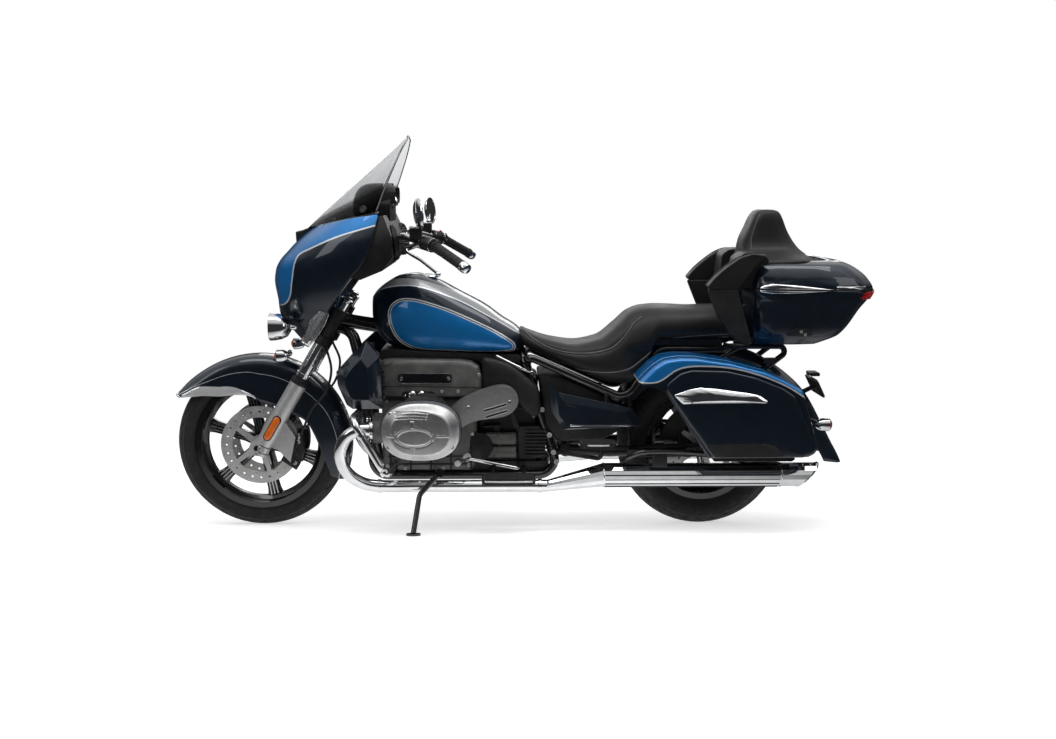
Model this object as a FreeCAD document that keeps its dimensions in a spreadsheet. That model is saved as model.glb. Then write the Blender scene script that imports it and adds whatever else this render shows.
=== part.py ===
import FreeCAD, Part

import math
import os

import Sketcher
from FreeCAD import Placement, Rotation, Vector

# A touring motorcycle with a flat twin engine, parked on its side stand.
# It is drawn upright: X to the rear from the front axle, Z up from the ground,
# Y negative on its left. At the end every piece gets the same leaning placement.
# All lengths are millimetres and all angles are degrees.

SIZES = {
    # stance
    "wheelbase": 1695, "lean_angle": 8, "origin_x": 993, "origin_y": -114,
    "slack": 0.3, "overrun": 20, "running_gap": 3, "seam": 1,
    # front wheel
    "front_tyre_radius": 325.3, "front_tyre_half_width": 61, "front_bead_radius": 241.3,
    "front_crown_radius": 62, "front_rim_half_width": 50, "front_hub_half_width": 67.7,
    # rear wheel
    "rear_tyre_radius": 320.2, "rear_tyre_half_width": 90, "rear_bead_radius": 203.2,
    "rear_crown_radius": 92, "rear_rim_half_width": 70, "rear_hub_half_width": 81,
    # both rims
    "rim_flange": 12, "rim_lip": 7, "rim_wall": 11, "rim_well": 18, "hub_radius": 38,
    "spoke_root_width": 40, "spoke_tip_width": 56, "spoke_thickness": 34, "rib_width": 8,
    "rib_height": 4, "spokes": 6, "spoke_lead": 41.6, "axle_radius": 12, "axle_bore_radius": 7,
    # brake discs
    "disc_radius": 150, "disc_inner_radius": 106, "disc_thickness": 5, "disc_hole_radius": 4,
    "disc_holes": 24, "disc_arm_width": 26, "disc_arms": 5,
    # steering head
    "head_ground_x": -183.5, "head_rake": 27.3, "stem_radius": 15, "head_tube_radius": 30,
    "head_low_z": 772, "head_high_z": 850, "clamp_thickness": 30, "clamp_boss_wall": 9,
    "clamp_plate_width": 60, "stem_boss_radius": 34,
    # fork
    "fork_side": 113, "fork_rake": 30.3, "fork_axle_lead": 15, "fork_tube_radius": 24.5,
    "fork_slider_radius": 32, "slider_below": 30, "slider_above": 285, "fork_tube_start": 190,
    "fork_tube_top": 645, "axle_boss_radius": 29,
    # front calipers
    "caliper_inner_radius": 98, "caliper_outer_radius": 168, "caliper_low_angle": -34,
    "caliper_high_angle": 14, "caliper_inner_side": 55, "caliper_outer_side": 98,
    "caliper_lug": 12,
    # front fender
    "fender_crown": 344, "fender_wall": 4,
    # fairing
    "fairing_front_x": 88, "fairing_length": 560, "fairing_low_z": 700, "fairing_height": 540,
    "fairing_half_width": 352, "fairing_wall": 5, "fairing_mouth_half_width": 150,
    "fairing_mouth_z": 862, "fairing_trim_x": 60, "fairing_trim_length": 423,
    "fairing_trim_z": 712, "fairing_trim_height": 491,
    "dash_x": 340, "dash_length": 195, "dash_z": 971, "dash_height": 229,
    "hood_half_width": 135, "hood_x": 470, "hood_thickness": 42, "hood_top_z": 1318,
    "screen_low_x": 187, "screen_low_z": 1146, "screen_run": 384, "screen_rise": 351,
    "screen_half_width": 290, "screen_thickness": 5,
    # lamps
    "headlamp_radius": 92, "headlamp_depth": 120, "headlamp_x": 98, "headlamp_z": 905,
    "spot_radius": 52, "spot_depth": 78, "spot_x": 70, "spot_y": 178, "spot_z": 790,
    "signal_radius": 24, "signal_x": 92, "signal_y": 196, "signal_z": 684, "signal_depth": 48,
    "lamp_stalk_radius": 9,
    # handlebar
    "bar_radius": 12.7, "bar_bend": 60, "riser_radius": 17, "riser_side": 42,
    "bar_clamp_x": 350, "bar_clamp_z": 985, "bar_rise_x": 560, "bar_rise_y": 268,
    "bar_rise_z": 1130, "grip_start_x": 685, "grip_start_y": 370, "grip_start_z": 1096,
    "grip_end_x": 790, "grip_end_y": 478, "grip_end_z": 1030, "grip_radius": 18,
    "grip_cap_radius": 20, "grip_cap_length": 26, "pod_radius": 26, "pod_length": 62,
    "lever_radius": 7, "lever_lead": 62, "lever_drop": 26, "reservoir_size": 48,
    "mirror_radius": 54, "mirror_thickness": 16, "mirror_x": 634, "mirror_y": 384,
    "mirror_z": 1210, "mirror_stem_radius": 5,
    # frame
    "backbone_radius": 27, "backbone_rear_x": 990, "backbone_rear_z": 700,
    "backbone_mid_x": 480, "backbone_mid_z": 772, "cradle_radius": 17, "cradle_side": 112,
    "cradle_z": 214, "cradle_front_x": 440, "cradle_rear_x": 1090, "down_top_x": 350,
    "down_top_y": 26, "down_top_z": 752, "down_mid_x": 392, "down_mid_y": 66,
    "down_mid_z": 600, "frame_bend": 60, "rear_down_top_x": 1008, "rear_down_top_z": 655,
    "rear_down_low_x": 1132, "rear_down_low_z": 262, "rail_radius": 15, "rail_side": 150,
    "rail_front_x": 1030, "rail_front_z": 672, "rail_low_x": 1392, "rail_low_z": 512,
    "tail_rail_x": 1760, "tail_rail_z": 700, "tail_rail_side": 128,
    # engine
    "crank_front_x": 470, "crank_rear_x": 830, "crank_half_width": 152, "crank_low_z": 234,
    "crank_high_z": 530, "crank_round": 40, "cylinder_x": 634, "cylinder_z": 440,
    "barrel_radius": 84, "barrel_outer_y": 292, "fin_count": 8, "fin_thickness": 5,
    "fin_overhang": 20, "head_outer_y": 388, "head_half_length": 128, "head_half_height": 88,
    "head_fin_reach": 46, "cover_half_length": 143, "cover_half_height": 107,
    "cover_outer_y": 476, "cover_round": 34,
    "top_cover_front_x": 462, "top_cover_rear_x": 850, "top_cover_half_width": 176,
    "top_cover_high_z": 668, "gearbox_rear_x": 1062, "gearbox_half_width": 94,
    "gearbox_high_z": 600, "intake_inner_y": 196,
    "intake_outer_y": 262, "intake_x": 712, "intake_length": 272, "intake_z": 404,
    "intake_height": 172,
    # exhaust
    "header_radius": 22, "header_side": 330, "header_port_z": 430,
    "header_front_x": 352, "header_low_side": 252, "header_low_x": 470, "header_low_z": 203,
    "header_bend": 66, "header_rear_x": 1090, "muffler_half_width": 54,
    "muffler_half_height": 44, "muffler_z": 244, "muffler_full_x": 1300,
    "muffler_end_x": 2100, "muffler_slash": 80,
    # crash bars
    "guard_radius": 13, "guard_side": 392, "guard_low_x": 506, "guard_low_z": 272,
    "guard_high_x": 386, "guard_high_z": 480, "guard_bend": 50,
    # leg shields
    "shield_x": 317, "shield_length": 168, "shield_top_z": 743,
    "shield_inner_y": 196, "shield_outer_y": 300,
    # tank
    "tank_front_x": 433, "tank_length": 561, "tank_half_width": 172, "tank_low_z": 684,
    "tank_height": 295,     # seat
    "seat_half_width": 182, "seat_length": 794, "seat_low_z": 568, "seat_height": 292,
    "seat_wrap_x": 1290,
    # side covers
    "side_cover_x": 1097, "side_cover_length": 363, "side_cover_z": 398,
    "side_cover_height": 197, "side_cover_thickness": 16,
    # rear fender and tail
    "rear_fender_half_width": 110, "tail_cover_high_z": 738,
    # luggage
    "case_x": 1411, "case_length": 660, "case_z": 330, "case_height": 367,
    "case_inner_y": 165, "case_split_y": 322, "case_outer_y": 412, "case_wall": 5,
    "trunk_x": 1822, "trunk_length": 490, "trunk_half_width": 284,
    "trunk_low_z": 722, "trunk_seam_z": 933, "trunk_high_z": 1036, "trunk_wall": 5,
    "trunk_arm_reach": 148, "trunk_arm_thickness": 52, "tower_high_z": 1222,
    "tower_half_width": 96,
    # rack and boards
    "rack_radius": 11, "rack_rear_x": 2030, "rack_foot_x": 1928,
    "rack_foot_z": 632, "tail_plate_x": 1500, "tail_plate_length": 255,
    "board_x": 850, "board_length": 196, "board_inner_y": 262, "board_outer_y": 372,
    "board_z": 234, "board_thickness": 16, "bracket_radius": 8,
    "pillion_board_x": 1209, "pillion_board_length": 138, "pillion_board_z": 352,
    "pillion_board_inner_y": 216, "pillion_board_outer_y": 300, "pedal_radius": 6,
    "pedal_x": 985, "pedal_toe_x": 800, "pedal_side": 228, "pedal_toe_y": 318, "pedal_z": 264,
    "pedal_rise": 38, "case_rail_z": 302, "case_rail_width": 40,
    # swingarm and drive
    "swing_pivot_x": 1120, "swing_z": 305, "swing_side": 117, "swing_radius": 24,
    "swing_arm_radius": 20, "swing_root_side": 74, "swing_bend_x": 1335,
    "drive_radius": 74, "drive_inner_y": 98, "drive_outer_y": 152,
    "rear_caliper_inner_y": 75, "rear_caliper_low": 122, "rear_caliper_high": 170,
    # side stand
    "stand_pivot_x": 695, "stand_pivot_y": 300, "stand_pivot_z": 263, "stand_radius": 10,
    "stand_knuckle_radius": 16, "stand_knuckle_length": 22, "stand_elbow_x": 782,
    "stand_elbow_y": 302, "stand_elbow_z": 198, "stand_tip_x": 926, "stand_tip_y": 300,
    "stand_tip_z": 190, "stand_swing": 97, "stand_foot_radius": 27, "stand_bend": 40,
    # rear lamps and plate
    "rear_lamp_x": 2096, "rear_lamp_y": 206, "rear_lamp_z": 424, "rear_lamp_radius": 25,
    "rear_lamp_depth": 58, "plate_width": 180, "plate_height": 70, "plate_thickness": 6,
    "plate_gap_radius": 496, "plate_angle": 26, "plate_hole_radius": 3.2, "plate_hole_side": 70,
}

doc = FreeCAD.newDocument("touring_motorcycle")
sheet = doc.addObject("Spreadsheet::Sheet", "Sizes")
for row, (alias, value) in enumerate(SIZES.items(), start=1):
    sheet.set(f"A{row}", alias)
    sheet.set(f"B{row}", str(value))
    sheet.setAlias(f"B{row}", alias)
doc.recompute()


class Sheet:
    """Reads a named size back from the sheet."""

    def __getattr__(self, alias):
        return float(sheet.get(alias))


s = Sheet()
PIECES = []
X_AXIS, Y_AXIS, Z_AXIS = Vector(1, 0, 0), Vector(0, 1, 0), Vector(0, 0, 1)
SIDE_PLANE, TOP_PLANE = "XZ_Plane", "XY_Plane"


def keep(node, item):
    """Wraps a finished form as the named sub-part; the form itself stays upright."""
    item.Label = node + " form"
    piece = doc.addObject("Part::Compound", node + "_piece")
    piece.Links = [item]
    piece.Label = node
    PIECES.append(piece)
    return item


def bind(item, **formulas):
    """Ties an object's own sizes to formulas over the sheet."""
    for prop, formula in formulas.items():
        item.setExpression(prop, formula)
    return item


def raw(name, shape):
    item = doc.addObject("Part::Feature", name)
    item.Shape = shape
    return item


def rod(name, start, end, radius):
    item = doc.addObject("Part::Cylinder", name)
    bind(item, Radius=radius)
    item.Height = (end - start).Length
    item.Placement = Placement(start, Rotation(Z_AXIS, end - start))
    return item


def block(name, low, high):
    item = doc.addObject("Part::Box", name)
    item.Length, item.Width, item.Height = high - low
    item.Placement.Base = low
    return item


def fuse(name, *items):
    item = doc.addObject("Part::MultiFuse", name)
    item.Shapes = list(items)
    item.Refine = True
    return item


def cut(name, base, tool):
    item = doc.addObject("Part::Cut", name)
    item.Base, item.Tool = base, tool
    return item


def common(name, *items):
    item = doc.addObject("Part::MultiCommon", name)
    item.Shapes = list(items)
    return item


def other_side(name, source):
    item = doc.addObject("Part::Mirroring", name)
    item.Source = source
    item.Normal = Y_AXIS
    return item


def pair(name, source):
    """The piece and its twin on the other side, as one object of two solids."""
    item = doc.addObject("Part::Compound", name)
    item.Links = [source, other_side(name + "_twin", source)]
    return item


def route_wire(route, bend):
    """Straight runs joined by tangent arcs, each as wide as its runs allow."""
    edges = []
    start = route[0]
    for before, corner, after in zip(route, route[1:], route[2:]):
        back, ahead = (before - corner), (after - corner)
        room = min(back.Length, ahead.Length) / 2
        back.normalize()
        ahead.normalize()
        half_turn = (math.pi - back.getAngle(ahead)) / 2
        radius = min(bend, room / math.tan(half_turn) * 0.96)
        reach = radius * math.tan(half_turn)
        enter, leave = corner + back * reach, corner + ahead * reach
        inward = (back + ahead).normalize()
        middle = corner + inward * (radius / math.cos(half_turn) - radius)
        edges.append(Part.LineSegment(start, enter).toShape())
        edges.append(Part.Arc(enter, middle, leave).toShape())
        start = leave
    edges.append(Part.LineSegment(start, route[-1]).toShape())
    return Part.Wire(edges)


def tube(name, route, radius, bend):
    """A round bar or tube along a route with rounded corners."""
    path = raw(name + "_path", route_wire(route, bend))
    section = doc.addObject("Part::Circle", name + "_section")
    bind(section, Radius=radius)
    section.Placement = Placement(route[0], Rotation(Z_AXIS, route[1] - route[0]))
    item = doc.addObject("Part::Sweep", name)
    item.Sections = [section]
    item.Spine = (path, [f"Edge{n + 1}" for n in range(len(path.Shape.Edges))])
    item.Solid = True
    item.Frenet = False
    return item


def smooth_loop(points):
    curve = Part.BSplineCurve()
    count = len(points)
    curve.interpolate(Points=points, Parameters=[n / count for n in range(count + 1)],
                      PeriodicFlag=True)
    return Part.Wire(curve.toShape())


def spline_edge(points):
    """A smooth open curve through points, with evenly spaced parameters."""
    curve = Part.BSplineCurve()
    last = len(points) - 1
    curve.interpolate(Points=points, Parameters=[n / last for n in range(last + 1)])
    return curve.toShape()


def line_edge(start, end):
    return Part.LineSegment(start, end).toShape()


def straight_loop(points):
    return Part.makePolygon(points + points[:1])


def skin(name, loops, ruled=False):
    """A solid lofted through closed loops."""
    rings = [raw(f"{name}_ring_{n}", loop) for n, loop in enumerate(loops, start=1)]
    item = doc.addObject("Part::Loft", name)
    item.Sections = rings
    item.Solid = True
    item.Ruled = ruled
    return item


def even_rows(rows, count):
    """Rows at even steps of their first value, on curves that never overshoot."""
    places = [row[0] for row in rows]
    steps = [after - before for before, after in zip(places, places[1:])]

    def slopes(values):
        rise = [(b - a) / step for a, b, step in zip(values, values[1:], steps)]
        middle = [0 if a * b <= 0 else 2 * a * b / (a + b) for a, b in zip(rise, rise[1:])]
        return [rise[0]] + middle + [rise[-1]]

    columns = [[row[n] for row in rows] for n in range(1, len(rows[0]))]
    tilts = [slopes(column) for column in columns]
    result = []
    for n in range(count + 1):
        place = places[0] + (places[-1] - places[0]) * n / count
        span = next(k for k in range(len(steps))
                    if (place - places[k + 1]) * steps[k] <= 0 or k == len(steps) - 1)
        t = (place - places[span]) / steps[span]
        row = [place]
        for column, tilt in zip(columns, tilts):
            a, b = column[span], column[span + 1]
            c, d = tilt[span] * steps[span], tilt[span + 1] * steps[span]
            row.append(a + t * c + t * t * (3 * (b - a) - 2 * c - d) + t ** 3 * (c + d - 2 * (b - a)))
        result.append(tuple(row))
    return result


def spread(shares, x, length, z, height):
    """Side view points from shares of a named length and height."""
    return [(x + length * along, z + height * up) for along, up in shares]


def side_prism(name, points, y_from, y_to, smooth=False):
    """A side view outline given thickness between two places across the bike."""
    corners = [Vector(x, y_from, z) for x, z in points]
    loop = smooth_loop(corners) if smooth else straight_loop(corners)
    return raw(name, Part.Face(loop).extrude(Vector(0, y_to - y_from, 0)))


def softened(name, shape, radius, wanted):
    """Rounds the edges that the test picks."""
    edges = [edge for edge in shape.Edges if wanted(edge)]
    return raw(name, shape.makeFillet(radius, edges))


def plane_of(body, role):
    return next(part for part in body.Origin.OriginFeatures if part.Role == role)


def sketch_on(body, name, role, offset=0):
    sketch = body.newObject("Sketcher::SketchObject", name)
    sketch.AttachmentSupport = (plane_of(body, role), [""])
    sketch.MapMode = "FlatFace"
    sketch.AttachmentOffset = Placement(Vector(0, 0, offset), Rotation())
    return sketch


def draw_loop(sketch, points):
    first = sketch.GeometryCount
    count = len(points)
    ends = zip(points, points[1:] + points[:1])
    for start, end in ends:
        sketch.addGeometry(Part.LineSegment(Vector(*start, 0), Vector(*end, 0)), False)
    for n in range(count):
        joint = Sketcher.Constraint("Coincident", first + n, 2, first + (n + 1) % count, 1)
        sketch.addConstraint(joint)
    return sketch


def draw_circle(sketch, radius, centre=(0, 0)):
    number = sketch.addGeometry(Part.Circle(Vector(*centre, 0), Z_AXIS, s.seam), False)
    rule = sketch.addConstraint(Sketcher.Constraint("Radius", number, s.seam))
    sketch.setExpression(f"Constraints[{rule}]", radius)
    return sketch


def pad(body, sketch, length, midplane=True, reverse=False):
    item = body.newObject("PartDesign::Pad", sketch.Name + "_pad")
    item.Profile = sketch
    bind(item, Length=length)
    item.Midplane = midplane
    item.Reversed = reverse
    return item


def turn(body, sketch, role):
    item = body.newObject("PartDesign::Revolution", sketch.Name + "_turned")
    item.Profile = sketch
    item.ReferenceAxis = (plane_of(body, role), [""])
    item.Angle = 360
    return item


def repeat_round(body, name, originals, count):
    item = body.newObject("PartDesign::PolarPattern", name)
    item.Originals = originals
    item.Axis = (plane_of(body, "Y_Axis"), [""])
    item.Angle = 360
    bind(item, Occurrences=count)
    body.Tip = item
    return item


# Shared places

FRONT_AXLE = Vector(0, 0, s.front_tyre_radius)
REAR_AXLE = Vector(s.wheelbase, 0, s.rear_tyre_radius)
HEAD_AXIS = Rotation(Y_AXIS, s.head_rake).multVec(Z_AXIS)
HEAD_BACK = Rotation(Y_AXIS, s.head_rake).multVec(X_AXIS)
FORK_AXIS = Rotation(Y_AXIS, s.fork_rake).multVec(Z_AXIS)
FRONT_DISC_SIDE = s.front_hub_half_width + s.slack + s.disc_thickness / 2
REAR_DISC_SIDE = s.rear_hub_half_width + s.slack + s.disc_thickness / 2
STAND_PIVOT = Vector(s.stand_pivot_x, -s.stand_pivot_y, s.stand_pivot_z)
STAND_AXIS = Vector(-0.2, 1, -0.29).normalize()


def head_point(z):
    """The place on the steering axis at a height."""
    return Vector(s.head_ground_x, 0, 0) + HEAD_AXIS * (z / HEAD_AXIS.z)


def fork_point(along, side=-1):
    """The place on a fork leg's centre line, measured from the axle's height."""
    start = FRONT_AXLE + Vector(s.fork_axle_lead, side * s.fork_side, 0)
    return start + FORK_AXIS * along


def around(centre, radius, angle, y=0):
    """A place at an angle round an axle, up from the rear."""
    turn_by = math.radians(angle)
    return centre + Vector(radius * math.cos(turn_by), y, radius * math.sin(turn_by))


# Wheels

def rim(node, centre, bead_radius, half_width, hub_half_width, lead):
    body = doc.addObject("PartDesign::Body", node)
    hub = sketch_on(body, node + "_hub", TOP_PLANE)
    inner = s.axle_radius + s.slack
    draw_loop(hub, [(inner, -hub_half_width), (s.hub_radius, -hub_half_width),
                    (s.hub_radius, hub_half_width), (inner, hub_half_width)])
    turn(body, hub, "Y_Axis")

    bed = bead_radius - s.rim_wall
    spoke = sketch_on(body, node + "_spoke", SIDE_PLANE)
    root, tip = s.spoke_root_width / 2, s.spoke_tip_width / 2
    start = s.hub_radius - s.rim_wall
    draw_loop(spoke, [(start, -root), (bed - s.seam, -tip), (bed - s.seam, tip), (start, root)])
    web = pad(body, spoke, "Sizes.spoke_thickness")
    ribs = sketch_on(body, node + "_ribs", SIDE_PLANE)
    for share in (-0.62, 0, 0.62):
        low, high = share * root, share * tip
        half = s.rib_width / 2
        draw_loop(ribs, [(start, low - half), (bed - s.seam, high - half),
                         (bed - s.seam, high + half), (start, low + half)])
    raised = pad(body, ribs, "Sizes.spoke_thickness + 2 * Sizes.rib_height")
    repeat_round(body, node + "_spokes", [web, raised], "Sizes.spokes")

    barrel = sketch_on(body, node + "_barrel", TOP_PLANE)
    lip, flange = half_width - s.rim_lip, bead_radius + s.rim_flange
    well = bead_radius - s.rim_well
    well_edge, seat_edge = half_width * 0.3, half_width * 0.5
    draw_loop(barrel, [
        (bed, -half_width), (flange, -half_width), (flange, -lip), (bead_radius, -lip),
        (bead_radius, -seat_edge), (well, -well_edge), (well, well_edge),
        (bead_radius, seat_edge), (bead_radius, lip), (flange, lip), (flange, half_width),
        (bed, half_width), (bed, seat_edge), (well - s.rim_wall, well_edge),
        (well - s.rim_wall, -well_edge), (bed, -seat_edge)])
    turn(body, barrel, "Y_Axis")
    body.Placement = Placement(centre, Rotation(Y_AXIS, -lead))
    return keep(node, body)


def tyre(node, centre, radius, half_width, bead_radius, crown_radius, rim_half_width):
    """A tyre's cross-section turned round the axle, with the crown as one arc."""
    lip, flange = rim_half_width - s.rim_lip, bead_radius + s.rim_flange
    drop = crown_radius - math.sqrt(crown_radius ** 2 - (half_width * 0.8) ** 2)
    shoulder = (radius - drop, half_width * 0.8)
    bulge = (flange + (shoulder[0] - flange) * 0.55, half_width)

    def at(point, side):
        return Vector(point[0], side * point[1], 0)

    edges = [
        Part.LineSegment(at((bead_radius, lip), -1), at((flange, lip), -1)),
        Part.Arc(at((flange, lip), -1), at(bulge, -1), at(shoulder, -1)),
        Part.Arc(at(shoulder, -1), at((radius, 0), 1), at(shoulder, 1)),
        Part.Arc(at(shoulder, 1), at(bulge, 1), at((flange, lip), 1)),
        Part.LineSegment(at((flange, lip), 1), at((bead_radius, lip), 1)),
        Part.LineSegment(at((bead_radius, lip), 1), at((bead_radius, lip), -1)),
    ]
    profile = raw(node + "_section", Part.Face(Part.Wire([edge.toShape() for edge in edges])))
    item = doc.addObject("Part::Revolution", node)
    item.Source = profile
    item.Axis = Y_AXIS
    item.Angle = 360
    item.Placement.Base = centre
    return keep(node, item)


def disc(name, side):
    """A drilled brake disc on a star-shaped carrier, pressed to the hub."""
    body = doc.addObject("PartDesign::Body", name)
    ring = sketch_on(body, name + "_ring", SIDE_PLANE, side)
    draw_circle(ring, "Sizes.disc_radius")
    draw_circle(ring, "Sizes.disc_inner_radius")
    pad(body, ring, "Sizes.disc_thickness")
    arm = sketch_on(body, name + "_arm", SIDE_PLANE, side)
    half, root = s.disc_arm_width / 2, s.hub_radius * 0.7
    draw_loop(arm, [(root, -half), (s.disc_inner_radius + s.overrun, -half * 0.5),
                    (s.disc_inner_radius + s.overrun, half * 0.5), (root, half)])
    one_arm = pad(body, arm, "Sizes.disc_thickness")
    repeat_round(body, name + "_arms", [one_arm], "Sizes.disc_arms")
    collar = sketch_on(body, name + "_collar", SIDE_PLANE, side)
    draw_circle(collar, "Sizes.hub_radius")
    draw_circle(collar, "Sizes.axle_radius + Sizes.slack")
    pad(body, collar, "Sizes.disc_thickness")
    hole = sketch_on(body, name + "_hole", SIDE_PLANE, side)
    middle = (s.disc_radius + s.disc_inner_radius) / 2
    draw_circle(hole, "Sizes.disc_hole_radius", (middle, 0))
    doc.recompute()
    drill = body.newObject("PartDesign::Pocket", name + "_drill")
    drill.Profile = hole
    drill.Type = "ThroughAll"
    drill.Midplane = True
    repeat_round(body, name + "_drilled", [drill], "Sizes.disc_holes")
    return body


def wheels():
    rim("front_rim", FRONT_AXLE, s.front_bead_radius, s.front_rim_half_width,
        s.front_hub_half_width, s.spoke_lead)
    tyre("front_tyre", FRONT_AXLE, s.front_tyre_radius, s.front_tyre_half_width,
         s.front_bead_radius, s.front_crown_radius, s.front_rim_half_width)
    rim("rear_rim", REAR_AXLE, s.rear_bead_radius, s.rear_rim_half_width,
        s.rear_hub_half_width, s.spoke_lead)
    tyre("rear_tyre", REAR_AXLE, s.rear_tyre_radius, s.rear_tyre_half_width,
         s.rear_bead_radius, s.rear_crown_radius, s.rear_rim_half_width)
    front = disc("front_disc", FRONT_DISC_SIDE)
    front.Placement.Base = FRONT_AXLE
    keep("front_discs", pair("front_disc_pair", front))
    rear = disc("rear_disc_body", REAR_DISC_SIDE)
    rear.Placement.Base = REAR_AXLE
    keep("rear_disc", rear)


# Fork and steering

def steering():
    low, high = head_point(s.head_low_z), head_point(s.head_high_z)
    gap = HEAD_AXIS * s.slack
    thick = HEAD_AXIS * s.clamp_thickness
    stem = rod("stem", low - thick, high + thick * 1.3, "Sizes.stem_radius")
    yokes = []
    for name, bottom in (("lower_yoke", low - gap - thick), ("upper_yoke", high + gap)):
        boss = rod(name + "_stem_boss", bottom, bottom + thick, "Sizes.stem_boss_radius")
        across = []
        for side in (-1, 1):
            along = (bottom - fork_point(0, side)).dot(HEAD_AXIS) / FORK_AXIS.dot(HEAD_AXIS)
            start = fork_point(along, side)
            grip = rod(f"{name}_leg_boss_{side + 2}", start, start + FORK_AXIS * s.clamp_thickness,
                       "Sizes.fork_tube_radius + Sizes.clamp_boss_wall")
            across.append(grip)
        reach = (fork_point(along, 1) - bottom).dot(HEAD_BACK)
        half = s.clamp_plate_width / 2
        frame = Placement(bottom + thick * 0.12, Rotation(Y_AXIS, s.head_rake))
        corners = [Vector(-half * 0.9, -half * 0.7, 0), Vector(reach - half, -s.fork_side, 0),
                   Vector(reach + half * 0.6, -s.fork_side, 0), Vector(half * 1.15, 0, 0),
                   Vector(reach + half * 0.6, s.fork_side, 0), Vector(reach - half, s.fork_side, 0),
                   Vector(-half * 0.9, half * 0.7, 0)]
        plate = raw(name + "_plate", Part.Face(straight_loop(corners)).extrude(
            Vector(0, 0, s.clamp_thickness * 0.76)))
        plate.Placement = frame
        yokes += [boss, plate] + across
    clamps = fuse("clamp_forms", stem, *yokes)

    tubes = [rod(f"fork_tube_{side + 2}", fork_point(s.fork_tube_start, side),
                 fork_point(s.fork_tube_top, side), "Sizes.fork_tube_radius")
             for side in (-1, 1)]
    both = doc.addObject("Part::Compound", "fork_tube_pair")
    both.Links = tubes
    keep("fork_tubes", both)

    slider = rod("slider_barrel", fork_point(-s.slider_below), fork_point(s.slider_above),
                 "Sizes.fork_slider_radius")
    axle_boss = rod("slider_boss", Vector(0, -s.fork_side - s.fork_slider_radius, FRONT_AXLE.z),
                    Vector(0, -s.fork_side + s.fork_slider_radius, FRONT_AXLE.z),
                    "Sizes.axle_boss_radius")
    lug_points = [fork_point(s.slider_above * 0.12), fork_point(s.slider_above * 0.5),
                  around(FRONT_AXLE, s.caliper_outer_radius * 0.86, s.caliper_high_angle),
                  around(FRONT_AXLE, s.caliper_outer_radius * 0.8, s.caliper_low_angle * 0.8)]
    lug_y = -s.caliper_outer_side - s.slack
    lug = side_prism("caliper_lug", [(p.x, p.z) for p in lug_points], lug_y,
                     lug_y - s.caliper_lug)
    leg = fuse("slider_forms", slider, axle_boss, lug)
    hollow = fuse("slider_bores", tubes[0], front_axle_rod("slider_axle_bore", "Sizes.axle_radius"))
    keep("fork_sliders", pair("slider_pair", cut("slider", leg, hollow)))

    solid_axle = front_axle_rod("front_axle_bar", "Sizes.axle_radius")
    bore = front_axle_rod("front_axle_bore", "Sizes.axle_bore_radius")
    keep("front_axle", cut("front_axle_tube", solid_axle, bore))
    return clamps, both


def front_axle_rod(name, radius):
    end = Vector(0, s.fork_side + s.fork_slider_radius + s.running_gap, 0)
    return rod(name, FRONT_AXLE - end, FRONT_AXLE + end, radius)


def ring_block(name, centre, low, high, y_from, y_to):
    """A caliper's body: a stretch of ring round an axle, between two places across."""
    inner, outer = s.caliper_inner_radius, s.caliper_outer_radius
    middle = (low + high) / 2

    def flat(radius, angle):
        return around(centre, radius, angle, y_from)

    edges = [Part.Arc(flat(inner, low), flat(inner, middle), flat(inner, high)),
             Part.LineSegment(flat(inner, high), flat(outer, high)),
             Part.Arc(flat(outer, high), flat(outer, middle), flat(outer, low)),
             Part.LineSegment(flat(outer, low), flat(inner, low))]
    face = Part.Face(Part.Wire([edge.toShape() for edge in edges]))
    return raw(name, face.extrude(Vector(0, y_to - y_from, 0)))


def front_calipers():
    body = ring_block("caliper_form", FRONT_AXLE, s.caliper_low_angle, s.caliper_high_angle,
                      -s.caliper_inner_side, -s.caliper_outer_side)
    half_slot = s.disc_thickness / 2 + s.running_gap
    slot = rod("caliper_slot", FRONT_AXLE - Vector(0, FRONT_DISC_SIDE - half_slot, 0),
               FRONT_AXLE - Vector(0, FRONT_DISC_SIDE + half_slot, 0),
               "Sizes.disc_radius + Sizes.running_gap")
    keep("front_calipers", pair("caliper_pair", cut("caliper", body, slot)))


# Fenders

FRONT_FENDER_SHARES = [
    (148, 1.076, 1.017), (141, 1.064, 0.887), (126, 1.032, 0.692), (110, 1.012, 0.61),
    (98, 1.003, 0.561), (87, 1.0, 0.488), (65, 0.991, 0.471), (42, 0.988, 0.517),
    (28, 0.991, 0.576), (9, 1.0, 0.619), (-9, 1.006, 0.698), (-24, 1.012, 0.849)]
REAR_FENDER_SHARES = [
    (-7, 1.397, 1.19), (3, 1.266, 1.063), (14, 1.185, 0.937), (27, 1.137, 0.861),
    (47, 1.063, 0.81), (70, 1.018, 0.772), (90, 1.0, 0.759), (120, 0.975, 0.785),
    (150, 0.942, 0.835), (162, 0.93, 0.865)]
ARCH_SHARES = [(1, 0), (0.985, 0.34), (0.9, 0.66), (0.68, 0.89), (0.36, 0.98)]
ARCH_DEPTH_SHARE = 0.2
FENDER_STEPS = 14


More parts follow.
